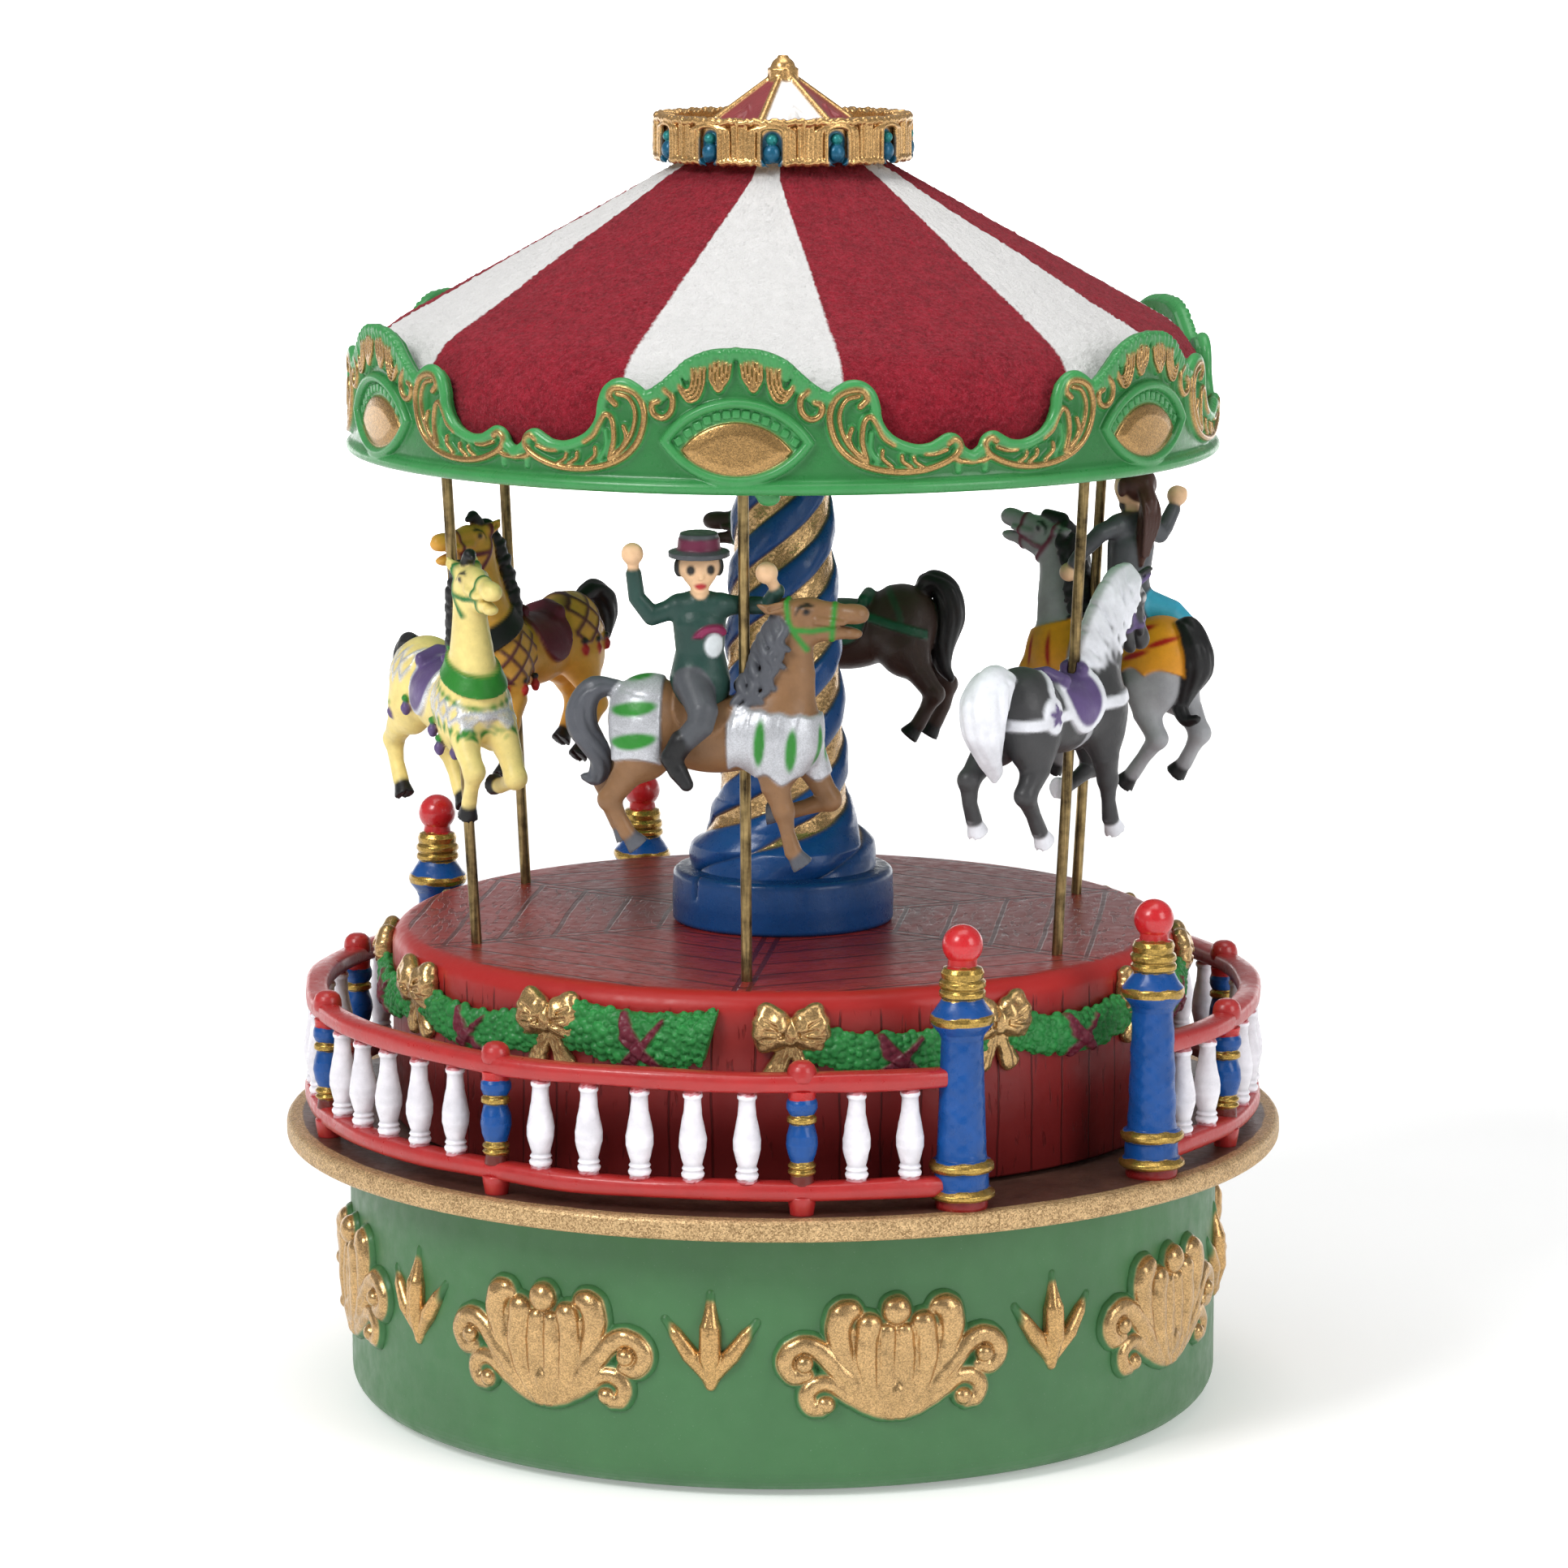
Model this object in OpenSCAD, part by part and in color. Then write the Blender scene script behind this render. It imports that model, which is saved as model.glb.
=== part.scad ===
// Carousel music box. Millimetres, +Z up, the felt ring's underside is z = 0.
// The front is -Y. Angles round the axis are counted from the front, anticlockwise from above.

/* [Base] */
// Radius of the green base drum
base_r = 49.8; // [49.5:0.1:50.2]
// Height of the top of the base drum
base_h = 29.8; // [29.6:0.1:30.2]
// Radius of the bottom edge of the base drum
base_round = 3; // [2.5:0.5:3.5]
// Wall of the base drum
base_wall = 2.2; // [2:0.1:2.3]
// Radius of the ledge plate
ledge_r = 57; // [56.5:0.1:58]
// Thickness of the ledge plate
ledge_t = 2.4; // [2.2:0.1:2.6]
// Radius of the shell ornaments' outer face
ornament_r = 50.7; // [50.6:0.1:51]

/* [Turning deck] */
// Radius of the red deck drum
deck_r = 44.7; // [44.4:0.1:45]
// Height of the deck's top
deck_top = 54.3; // [54:0.1:54.6]
// Gap between the deck drum and the ledge plate
deck_gap = 0.4; // [0.3:0.05:0.6]
// Number of garland bows and swags
swags = 12; // [12:1:12]

/* [Fence] */
// Radius of the fence's centre line
fence_r = 53.5; // [53.3:0.1:53.7]
// Angle between two neighbouring balusters
fence_step = 6.25; // [6.2:0.05:6.3]
// Height of the fence's top rail
fence_top = 47.6; // [47.4:0.1:48]
// Height of the red balls on the gate posts
gate_top = 63; // [62.5:0.1:63.5]

/* [Column and poles] */
// Radius of the column's round foot
foot_r = 12.6; // [12:0.1:13]
// Radius of the twisted column at its lower end
column_low_r = 7.4; // [7:0.1:7.8]
// Radius of the twisted column at its upper end
column_high_r = 4.9; // [4.6:0.1:5.2]
// Rise of one turn of the column's twist
column_lead = 27; // [24:0.5:30]
// Radius of a brass pole
pole_r = 0.6; // [0.55:0.01:0.7]
// Distance of the poles from the axis at the deck
pole_low_r = 37.6; // [37.4:0.1:37.8]
// Distance of the poles from the axis at the canopy
pole_high_r = 40.8; // [40.6:0.1:41]
// Angle of the first pole from the front
pole_phase = -6; // [-10:0.5:0]
// How far the grey horse is turned on its pole, towards the middle
grey_turn = 26; // [15:1:30]

/* [Canopy] */
// Radius of the green valance
valance_r = 48.8; // [48.6:0.1:49.2]
// Height of the valance's lower edge
valance_low = 108.8; // [108.6:0.1:109]
// Height of the valance's peaks
valance_high = 123.8; // [123:0.1:124.5]
// Radius of the crown ring
crown_r = 14.5; // [14.3:0.1:14.8]
// Height of the finial's tip
total_h = 152.7; // [152.7:0.1:153]

/* [Movement] */
// Teeth of the face gear on the spring barrel
face_teeth = 53; // [53:1:53]
// Teeth of the pinion on the tune cylinder
pinion_teeth = 10; // [10:1:10]
// Teeth of the great wheel on the tune cylinder
great_teeth = 28; // [28:1:28]
// Teeth of the idler's pinion
idler_teeth = 8; // [8:1:8]
// Teeth of the worm wheel
worm_wheel_teeth = 20; // [20:1:20]
// Module of the great wheel and the idler's pinion
spur_module = 0.5; // [0.5:0.1:0.5]
// Module of the worm wheel
worm_module = 0.4; // [0.4:0.1:0.4]
// Starts of the worm's thread
worm_starts = 2; // [2:1:2]
// Radius of the winding arbor and the drive shaft
shaft_r = 2; // [2:0.1:2]
// Running clearance of a shaft in its hole
run = 0.05; // [0.03:0.01:0.06]
// Teeth of the comb
comb_teeth = 18; // [18:1:18]

/* [Hidden] */
$fn = 64;
felt_t = 0.8;
rim_low = 0.1;
rim_in = 45.8;
lip_t = 2;
lip_r = 38;
ledge_top = base_h + ledge_t;
deck_low = ledge_top + deck_gap;
well_r = 14.5;
well_wall = 1.7;
cover_low = felt_t + lip_t;
cover_t = 1.6;
bed_low = 10.5;
bed_t = 1.5;
bed_top = bed_low + bed_t;
inner_r = base_r - base_wall;
screw_r = 0.9;
screw_head_r = 1.8;
cover_screw_r = 42.6;
barrel_r = 10.2;
barrel_wall = 0.8;
barrel_low = 12.6;
barrel_top = 26;
face_low = 16.9;
face_root = 18.4;
face_tip = 19.75;
face_in = 12;
face_out = 13.6;
drive_z = 21.6;
pinion_root = 1.65;
pinion_tip = 3;
arbor_r = 0.6;
cylinder_in = 17;
cylinder_out = 34.6;
cylinder_r = 6.5;
pin_h = 0.65;
great_x = 38.2;
wheel_w = 2;
idler_y = -(great_teeth + idler_teeth) * spur_module / 2;
worm_x = 36;
worm_r = 1.2;
worm_y = idler_y - worm_wheel_teeth * worm_module / 2 - worm_r;
worm_lead = PI * worm_module * worm_starts;
bracket_top = 25.2;
gear_bracket_x = 41.2;
comb_y = 7.35;
comb_back_y = 26;
comb_t = 0.8;
collar_r = 3.5;
collar_low = 33.3;
collar_top = 34.5;
hub_r = 7;
nut_seat = 51;
deck_wall = 2;
deck_t = 2.2;
bow_step = 29.55;
bow_phase = 1.1;
seam_end = 351;
bow_half = 3.75;
screw_angles = [30, 150, 270];
foot_top = 60.4;
tier_r = 9.95;
tier_top = 64.6;
shaft_foot_r = 7.95;
shaft_low = 66.5;
lip_high = valance_low + 0.9;
ceiling_t = 1.3;
lean = atan((pole_high_r - pole_low_r) / (valance_low - deck_top));
roof_top_r = 10.6;
roof_top = 141;
shoulder_r = 43.7;
shoulder_z = 122.8;
eave_r = 47.2;
eave_z = 118;
roof_felt_t = 0.6;
shell_t = 1.4;
band_high = 113;
fence_rail_in = 52.1;
fence_rail_out = 54.8;
rail_low = 33.7;
rail_h = 2.1;
gate_angles = [20.9, 48.9, -129.1, 198.9];
halves = [[48.9, 1], [20.9, -1]];
small_posts = [3, 9, 15, 21];
intervals = 24;
gold = [0.75, 0.58, 0.32];
brass = [0.65, 0.52, 0.3];
steel = [0.7, 0.7, 0.72];
blue = [0.1, 0.3, 0.62];
green = [0.25, 0.55, 0.32];

// Places its children at an angle from the front, with local +X pointing outwards.
module at_angle(a) rotate([0, 0, a - 90]) children();

// Places its children on pole k, with local +Z along the leaning pole from the deck.
module at_pole(k) {
  at_angle(pole_phase + 60 * k)
    translate([pole_low_r, 0, deck_top]) rotate([0, lean, 0]) children();
}

// Points on a round stretch of an outline.
function arc(c, r, a0, a1, n) =
  [for (i = [0 : n]) c + r * [cos(a0 + (a1 - a0) * i / n), sin(a0 + (a1 - a0) * i / n)]];

module tube(r_out, r_in, z0, z1) {
  translate([0, 0, z0]) difference() {
    cylinder(r = r_out, h = z1 - z0);
    translate([0, 0, -1]) cylinder(r = r_in, h = z1 - z0 + 2);
  }
}

module rod(r, z0, z1) translate([0, 0, z0]) cylinder(r = r, h = z1 - z0);

// A rod along +X at height z and depth y.
module x_rod(r, x0, x1, y, z) {
  translate([x0, y, z]) rotate([0, 90, 0]) cylinder(r = r, h = x1 - x0);
}

// A flat outline, whose X is the distance round a drum and whose Y is the height, pushed
// through the drum's skin at radius r.
module through(r, depth) {
  translate([r - depth, 0, 0]) rotate([90, 0, 90]) linear_extrude(height = 2 * depth) children();
}

// The part of a drum's skin that lies inside one such outline.
module skin(r_in, r_out, z0, z1) {
  intersection() {
    tube(r_out, r_in, z0, z1);
    through(r_in, 8) children();
  }
}

// Straight-sided gear teeth round a disc, with one tooth at angle zero.
module gear_outline(teeth, root, tip, w_root, w_tip) {
  circle(r = root);
  for (i = [0 : teeth - 1]) rotate(i * 360 / teeth)
    polygon([[root - 0.3, -w_root / 2], [tip, -w_tip / 2], [tip, w_tip / 2], [root - 0.3, w_root / 2]]);
}

module x_gear(x0, w, y, z, spin, bore) {
  translate([x0, y, z]) rotate([90, 0, 90]) rotate(spin)
    linear_extrude(height = w) difference() {
      children();
      circle(r = bore);
    }
}

// ---------------------------------------------------------------- base

module base_shell() {
  color(green) difference() {
    rotate_extrude($fn = 128) polygon(concat(
      [[lip_r, felt_t], [rim_in, felt_t], [rim_in, rim_low]],
      arc([base_r - base_round, rim_low + base_round], base_round, -90, 0, 8),
      [[base_r, base_h], [inner_r, base_h], [inner_r, cover_low], [lip_r, cover_low]]));
    for (a = screw_angles) rotate(a) translate([cover_screw_r, 0, 0]) {
      rod(screw_r, -1, cover_low + 1);
      rod(screw_head_r + 0.1, felt_t - 1, felt_t + 1);
    }
  }
}

module base_cover() {
  color([0.2, 0.2, 0.2]) difference() {
    union() {
      tube(inner_r - 0.15, well_r, cover_low, cover_low + cover_t);
      tube(well_r + well_wall, well_r, cover_low, bed_low);
      rod(well_r + 1, bed_low - 1.5, bed_low);
      for (p = bed_pillars()) translate(p) rod(2.4, cover_low + cover_t - 0.5, bed_low);
      for (a = screw_angles) rotate(a) translate([cover_screw_r, 0, 0])
        rod(2.2, cover_low + cover_t - 0.5, 9);
    }
    rod(shaft_r + run, 0, 20);
    for (p = bed_pillars()) translate(p) rod(screw_r, 5, 20);
    for (a = screw_angles) rotate(a) translate([cover_screw_r, 0, 0]) rod(screw_r, 0, 8.2);
  }
}

module cover_screws() {
  color(steel) for (a = screw_angles) rotate(a) translate([cover_screw_r, 0, 0]) {
    rod(screw_r, felt_t + 1, 8);
    rod(screw_head_r, felt_t, felt_t + 1);
  }
}

module felt_ring() color([0.12, 0.3, 0.2]) tube(45.5, 40.5, 0, felt_t);

module ledge_plate() {
  color(gold) difference() {
    union() {
      translate([0, 0, base_h]) rotate_extrude($fn = 128) polygon(concat(
        [[0, 0]], arc([ledge_r - 0.7, 0.7], 0.7, -90, 0, 4),
        arc([ledge_r - 0.7, ledge_t - 0.7], 0.7, 0, 90, 4), [[0, ledge_t]]));
      tube(inner_r - 0.2, inner_r - 2, base_h - 2, base_h + 0.5);
    }
    rod(4, 0, 60);
  }
}

module shaft_bush() {
  color(brass) difference() {
    union() {
      rod(4, 27.1, ledge_top);
      rod(5.5, ledge_top, ledge_top + 0.8);
    }
    rod(shaft_r + run, 0, 60);
  }
}

// Scalloped shell between two scrolls.
module palmette_outline() {
  for (i = [-3 : 3]) rotate(i * 24) translate([0, 7.4 - 0.5 * abs(i)]) scale([1, 2.2]) circle(r = 2, $fn = 24);
  circle(r = 4.6, $fn = 24);
  for (s = [-1, 1]) {
    translate([s * 8.6, -1.2]) circle(r = 3, $fn = 24);
    translate([s * 4.4, -3.6]) circle(r = 2, $fn = 24);
  }
}

module base_palmettes() {
  color(gold) for (k = [0 : 7]) at_angle(14 + 45 * k)
    skin(base_r, ornament_r, 2, 28) translate([0, 11.6]) palmette_outline();
}

module leaf_outline(l, w) {
  intersection_for (s = [-1, 1])
    translate([s * (l * l / 4 - w * w / 4) / w, l / 2]) circle(r = (l * l + w * w) / 4 / w, $fn = 48);
}

module base_sprigs() {
  color(gold) for (k = [0 : 7]) at_angle(-9 + 45 * k)
    skin(base_r, ornament_r, 8, 26) translate([0, 15.3]) {
      for (a = [-58, 0, 58]) rotate(a) leaf_outline(7.2, 3.4);
      translate([0, -1.2]) circle(r = 1.9, $fn = 24);
    }
}

// ---------------------------------------------------------------- fence

function fence_angle(h, i) = halves[h][0] + halves[h][1] * fence_step * i;

module fence_station(h, i) at_angle(fence_angle(h, i)) translate([fence_r, 0, 0]) children();

module rail(z0) {
  translate([0, 0, z0]) rotate_extrude(angle = intervals * fence_step, $fn = 128)
    polygon(concat([[fence_rail_in, 0]], arc([fence_rail_out - 0.6, 0.6], 0.6, -90, 0, 3),
      arc([fence_rail_out - 0.6, rail_h - 0.6], 0.6, 0, 90, 3), [[fence_rail_in, rail_h]]));
}

module fence_rails(h) {
  start = min(fence_angle(h, 0), fence_angle(h, intervals));
  color([0.75, 0.2, 0.2]) difference() {
    rotate([0, 0, start - 90]) {
      rail(rail_low);
      rail(fence_top - rail_h);
    }
    for (i = [0, intervals]) fence_station(h, i) {
      rod(3.72, rail_low - 1, rail_low + rail_h + 1);
      rod(2.75, fence_top - rail_h - 1, fence_top + 1);
    }
    for (i = small_posts) fence_station(h, i) rod(0.9, rail_low - 1, fence_top + 1);
  }
}

module fence_rails_left() fence_rails(1);
module fence_rails_right() fence_rails(0);

module baluster(low, high) {
  l = high - low;
  translate([0, 0, low]) rotate_extrude($fn = 24) polygon(concat(
    [[0, 0], [1.3, 0], [1.3, 0.9], [0.9, 1.4]],
    arc([0.3, l * 0.38], 1.2, -60, 60, 5),
    [[0.75, l * 0.62], [0.75, l * 0.75], [1.15, l * 0.82], [1.3, l - 0.9], [1.3, l], [0, l]]));
}

module fence_balusters(h) {
  color([0.92, 0.9, 0.93]) for (i = [1 : intervals - 1])
    if (len([for (p = small_posts) if (p == i) 1]) == 0)
      fence_station(h, i) baluster(rail_low + rail_h, fence_top - rail_h);
}

module fence_balusters_left() fence_balusters(1);
module fence_balusters_right() fence_balusters(0);

module small_post() {
  low = rail_low + rail_h;
  high = fence_top - rail_h;
  rotate_extrude($fn = 32) polygon([
    [0, ledge_top], [1.2, ledge_top], [1.2, rail_low], [0.9, rail_low], [0.9, low],
    [1.5, low], [1.65, low + 0.8], [1.5, low + 1.2], [1.25, low + 2], [1.35, low + 6],
    [1.6, high - 1.6], [1.7, high - 0.8], [1.5, high], [0.9, high], [0.9, fence_top],
    [1.2, fence_top], [0.9, fence_top + 0.6], [0, fence_top + 0.7]]);
}

module fence_posts(h) color(blue) for (i = small_posts) fence_station(h, i) small_post();

module fence_posts_left() fence_posts(1);
module fence_posts_right() fence_posts(0);

module gate_post() {
  rotate_extrude($fn = 48) polygon(concat(
    [[0, ledge_top], [3.15, ledge_top], [3.15, 33.5], [3.6, 33.6], [3.7, 34.2], [3.6, 35], [3.1, 35.1],
     [3.1, 35.4], [3.6, 35.5], [3.7, 36.3], [3.6, 37.1], [2.75, 37.4], [2.5, 45], [2.5, 51.7],
     [3.4, 52.4]],
    arc([2.95, 53.2], 0.7, -60, 60, 4),
    [[2.45, 54], [2.45, 55.2]],
    arc([2, 55.9], 0.65, -80, 80, 4),
    arc([1.9, 57.1], 0.6, -80, 80, 4),
    arc([1.8, 58.3], 0.55, -80, 80, 4),
    [[1.5, 59], [0, 59]]));
}

module gate_posts() color(blue) for (a = gate_angles) at_angle(a) translate([fence_r, 0, 0]) gate_post();

module gate_balls() {
  ball_r = 2.2;
  ball_z = gate_top - ball_r;
  color("red") for (a = gate_angles) at_angle(a) translate([fence_r, 0, 0])
    rotate_extrude($fn = 48) polygon(concat(
      [[0, 59], [1.45, 59]], arc([0, ball_z], ball_r, -50, 90, 10)));
}

// ---------------------------------------------------------------- movement, fixed pieces

function bed_pillars() = [[-11, -20, 0], [-11, 20, 0], [25, -24, 0], [22, 30, 0]];

module bed_outline() {
  intersection() {
    circle(r = inner_r - 1.2, $fn = 96);
    translate([-14, -27]) square([60, 61]);
  }
}

module bedplate() {
  color(brass) difference() {
    translate([0, 0, bed_low]) linear_extrude(height = bed_t) bed_outline();
    rod(shaft_r + run, 0, 20);
    for (p = bed_pillars()) translate(p) rod(screw_r, 5, 20);
    translate([worm_x, worm_y, 0]) rod(arbor_r + run, 0, 20);
  }
}

module movement_screws() {
  color(steel) for (p = bed_pillars()) translate(p) {
    rod(screw_r, 5.2, bed_top);
    rod(screw_head_r, bed_top, bed_top + 1.1);
  }
}

module bracket(x0, w, y0, y1) {
  translate([x0, y0, bed_top]) cube([w, y1 - y0, bracket_top - bed_top]);
}

module movement_brackets() {
  color(steel) difference() {
    union() {
      bracket(14.7, 1.3, -3, 3);
      bracket(gear_bracket_x, 1.3, -11.4, 3);
      bracket(31.6, 1.3, -10.9, -7.6);
    }
    x_rod(arbor_r + run, 10, 50, 0, drive_z);
    x_rod(arbor_r + run, 30, 50, idler_y, drive_z);
  }
}

module governor_frame() {
  arm_low = 26.9;
  color(steel) difference() {
    translate([worm_x - 2, worm_y - 6.6, 0]) union() {
      translate([0, 0, bed_top]) cube([4, 1.6, arm_low + 1.4 - bed_top]);
      translate([0, 0, arm_low]) cube([4, 8.6, 1.4]);
    }
    translate([worm_x, worm_y, 0]) rod(arbor_r + run, 20, 40);
  }
}

module comb_screw_places() for (x = [21, 30.6]) translate([x, 22, 0]) children();

module comb() {
  pitch = (cylinder_out - cylinder_in) / comb_teeth;
  color(steel) translate([0, 0, drive_z - comb_t / 2]) difference() {
    union() {
      translate([cylinder_in, 17, 0]) cube([cylinder_out - cylinder_in, comb_back_y - 17, comb_t]);
      for (i = [0 : comb_teeth - 1]) translate([cylinder_in + (i + 0.12) * pitch, comb_y, 0])
        cube([pitch * 0.76, 17.5 - comb_y, comb_t]);
    }
    comb_screw_places() rod(1.1, -1, 3);
  }
}

module comb_block() {
  color(brass) difference() {
    translate([cylinder_in, 18.4, bed_top])
      cube([cylinder_out - cylinder_in, comb_back_y - 18.4, drive_z - comb_t / 2 - bed_top]);
    comb_screw_places() rod(1.1, 15, 30);
  }
}

module comb_screws() {
  top = drive_z + comb_t / 2;
  color(steel) comb_screw_places() {
    rod(1.1, 15.4, top);
    rod(2.1, top, top + 1.2);
  }
}

// ---------------------------------------------------------------- key

module winding_key() {
  mid = 4.9;
  color(brass) difference() {
    union() {
      rod(2.9, 1.6, 8.4);
      rotate([90, 0, 0]) linear_extrude(height = 1.6, center = true) for (s = [-1, 1])
        hull() {
          translate([s * 1.5, mid]) circle(r = 2.4);
          translate([s * 9, mid]) circle(r = 3.3);
        }
    }
    rod(1.5, 3, 20);
    for (s = [-1, 1]) translate([s * 9, 3, mid]) rotate([90, 0, 0]) cylinder(r = 1.5, h = 6);
  }
}

module winding_arbor() {
  color(steel) {
    rod(1.5, 3, 8.5);
    rod(shaft_r, 8.4, 24);
  }
}

// ---------------------------------------------------------------- gear train

module tune_cylinder() {
  pitch = (cylinder_out - cylinder_in) / comb_teeth;
  color(brass) difference() {
    union() {
      x_rod(cylinder_r, cylinder_in, cylinder_out, 0, drive_z);
      for (i = [0 : comb_teeth - 1]) for (j = [0 : 2])
        translate([cylinder_in + (i + 0.5) * pitch, 0, drive_z])
          rotate([i * 77 + j * 131 + 20, 0, 0])
            translate([-0.15, -0.15, cylinder_r - 0.3]) cube([0.3, 0.3, 0.3 + pin_h]);
    }
    x_rod(arbor_r, 10, 50, 0, drive_z);
  }
}

module cylinder_arbor() color(steel) x_rod(arbor_r, 11, gear_bracket_x + 1.3, 0, drive_z);

module cylinder_pinion() {
  color(steel) x_gear(face_in, face_out - face_in, 0, drive_z, -90, arbor_r)
    gear_outline(pinion_teeth, pinion_root, pinion_tip, 0.55, 0.3);
}

module great_wheel() {
  r = great_teeth * spur_module / 2;
  color(brass) x_gear(great_x, wheel_w, 0, drive_z, 0, arbor_r)
    gear_outline(great_teeth, r - 0.62, r + 0.42, 0.78, 0.34);
}

module idler_arbor() color(steel) x_rod(arbor_r, 31.6, gear_bracket_x + 1.3, idler_y, drive_z);

module idler_pinion() {
  r = idler_teeth * spur_module / 2;
  color(steel) x_gear(great_x + 0.1, wheel_w - 0.2, idler_y, drive_z, 180 / idler_teeth, arbor_r)
    gear_outline(idler_teeth, r - 0.62, r + 0.42, 0.72, 0.3);
}

module worm_wheel() {
  r = worm_wheel_teeth * worm_module / 2;
  w = 0.8;
  color(brass) x_gear(worm_x - w / 2, w, idler_y, drive_z, 180 / worm_wheel_teeth, arbor_r)
    gear_outline(worm_wheel_teeth, r - 0.55, r + 0.32, 0.6, 0.3);
}

module worm() {
  low = 17.8;
  high = 25.4;
  h = high - low;
  color(steel) translate([worm_x, worm_y, 0]) {
    rod(arbor_r, bed_low + 0.2, 28.1);
    rod(worm_r - 0.35, low, high);
    translate([0, 0, low]) rotate(worm_phase())
      linear_extrude(height = h, twist = -360 * h / worm_lead, slices = 48, $fn = 8)
        for (k = [0 : worm_starts - 1]) rotate(360 * k / worm_starts)
          polygon([[0.5, -0.4], [worm_r + 0.3, -0.3], [worm_r + 0.3, 0.3], [0.5, 0.4]]);
  }
}

// Turns the thread so that a thread faces the wheel's gap at the height of its axis.
function worm_phase() = 90 - 360 * (drive_z - 17.8) / worm_lead;

module fly_vane() {
  color([0.8, 0.8, 0.82]) translate([worm_x, worm_y, 0]) difference() {
    union() {
      rod(1.3, 12.9, 16.8);
      translate([-4, -0.25, 12.9]) cube([8, 0.5, 3.9]);
    }
    rod(arbor_r, 10, 20);
  }
}

// ---------------------------------------------------------------- spring barrel and drive

module spring_barrel() {
  color(brass) difference() {
    rod(barrel_r, barrel_low, barrel_top);
    rod(barrel_r - barrel_wall, barrel_low + 1.2, barrel_top + 1);
    rod(shaft_r + run, 0, 20);
  }
}

module barrel_lid() {
  color(brass) difference() {
    rod(barrel_r - barrel_wall, barrel_top - 1.2, barrel_top);
    rod(shaft_r, 20, 30);
  }
}

module barrel_gear() {
  color([0.9, 0.9, 0.86]) {
    tube(14, barrel_r, face_low, face_root);
    translate([0, 0, face_root - 0.3]) linear_extrude(height = face_tip - face_root + 0.3)
      for (i = [0 : face_teeth - 1]) rotate((i + 0.5) * 360 / face_teeth)
        polygon([[face_in, -0.27], [face_out, -0.27], [face_out, 0.27], [face_in, 0.27]]);
  }
}

// Clock spring: a flat strip wound in a spiral.
module mainspring() {
  turns = 4;
  steps = 16 * turns;
  r0 = 3;
  r1 = barrel_r - barrel_wall - 0.4;
  t = 0.4;
  color([0.45, 0.48, 0.55]) translate([0, 0, barrel_low + 1.6]) linear_extrude(height = 9)
    polygon(concat(
      [for (i = [0 : steps]) (r0 + (r1 - t - r0) * i / steps)
        * [cos(360 * turns * i / steps), sin(360 * turns * i / steps)]],
      [for (i = [steps : -1 : 0]) (r0 + t + (r1 - t - r0) * i / steps)
        * [cos(360 * turns * i / steps), sin(360 * turns * i / steps)]]));
}

module drive_shaft() {
  color(steel) {
    rod(shaft_r, barrel_top - 1.2, 53);
    rod(4.5, barrel_top, barrel_top + 0.8);
    rod(collar_r, collar_low, collar_top);
  }
}

module shaft_nut() {
  color(steel) difference() {
    translate([0, 0, nut_seat]) cylinder(r = 4, h = 2.6, $fn = 6);
    rod(shaft_r, 40, 60);
  }
}

// ---------------------------------------------------------------- deck

module deck_drum() {
  round_r = 2;
  color([0.58, 0.16, 0.15]) difference() {
    union() {
      rotate_extrude($fn = 128) polygon(concat(
        [[deck_r - deck_wall, deck_low], [deck_r, deck_low]],
        arc([deck_r - round_r, deck_top - round_r], round_r, 0, 90, 6),
        [[0, deck_top], [0, deck_top - deck_t], [deck_r - deck_wall, deck_top - deck_t]]));
      rod(hub_r, collar_top, deck_top - 1);
    }
    rod(shaft_r, 20, 60);
    rod(5, nut_seat, 60);
    for (k = [0 : 5]) at_pole(k) rod(pole_r, -deck_t, 3);
  }
}

// A round-sided strand through a list of points, with a ring of sides at each point.
module strand(points, r, sides) {
  n = len(points);
  function way(i) = let (d = points[min(i + 1, n - 1)] - points[max(i - 1, 0)]) d / norm(d);
  function side_way(i) = let (c = cross([0, 0, 1], way(i))) c / norm(c);
  rings = [for (i = [0 : n - 1]) for (j = [0 : sides - 1])
    points[i] + r[i] * (cos(360 * j / sides) * side_way(i)
      + sin(360 * j / sides) * cross(way(i), side_way(i)))];
  faces = concat(
    [[for (j = [0 : sides - 1]) j]],
    [for (i = [0 : n - 2]) for (j = [0 : sides - 1])
      [i * sides + j, (i + 1) * sides + j, (i + 1) * sides + (j + 1) % sides, i * sides + (j + 1) % sides]],
    [[for (j = [sides - 1 : -1 : 0]) (n - 1) * sides + j]]);
  polyhedron(points = rings, faces = faces, convexity = 4);
}

module garland_swags() {
  r = deck_r + 1.9;
  steps = 10;
  color([0.15, 0.45, 0.22]) difference() {
    union() for (k = [0 : swags - 1]) {
      start = bow_phase + k * bow_step + bow_half;
      span = k == swags - 1 ? seam_end - start : bow_step - 2 * bow_half;
      mid = start + span / 2;
      strand([for (i = [0 : steps]) let (t = i / steps - 0.5, a = mid + span * t - 90)
        [r * cos(a), r * sin(a), 47.4 + 3.8 * pow(abs(2 * t), 2)]],
        [for (i = [0 : steps]) 1.1 + 0.75 * cos(180 * (i / steps - 0.5))], 6);
    }
    all_bows(0.06);
  }
}

module bow_outline() {
  for (s = [-1, 1]) {
    translate([s * 2.4, 1.6]) scale([1.2, 1]) circle(r = 1.7, $fn = 24);
    polygon([[0, 1.2], [s * 1.6, 0.4], [s * 3.2, -4.6], [s * 1.9, -4.2], [s * 1, -5]]);
  }
  translate([0, 1.2]) circle(r = 1.3, $fn = 24);
}

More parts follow.
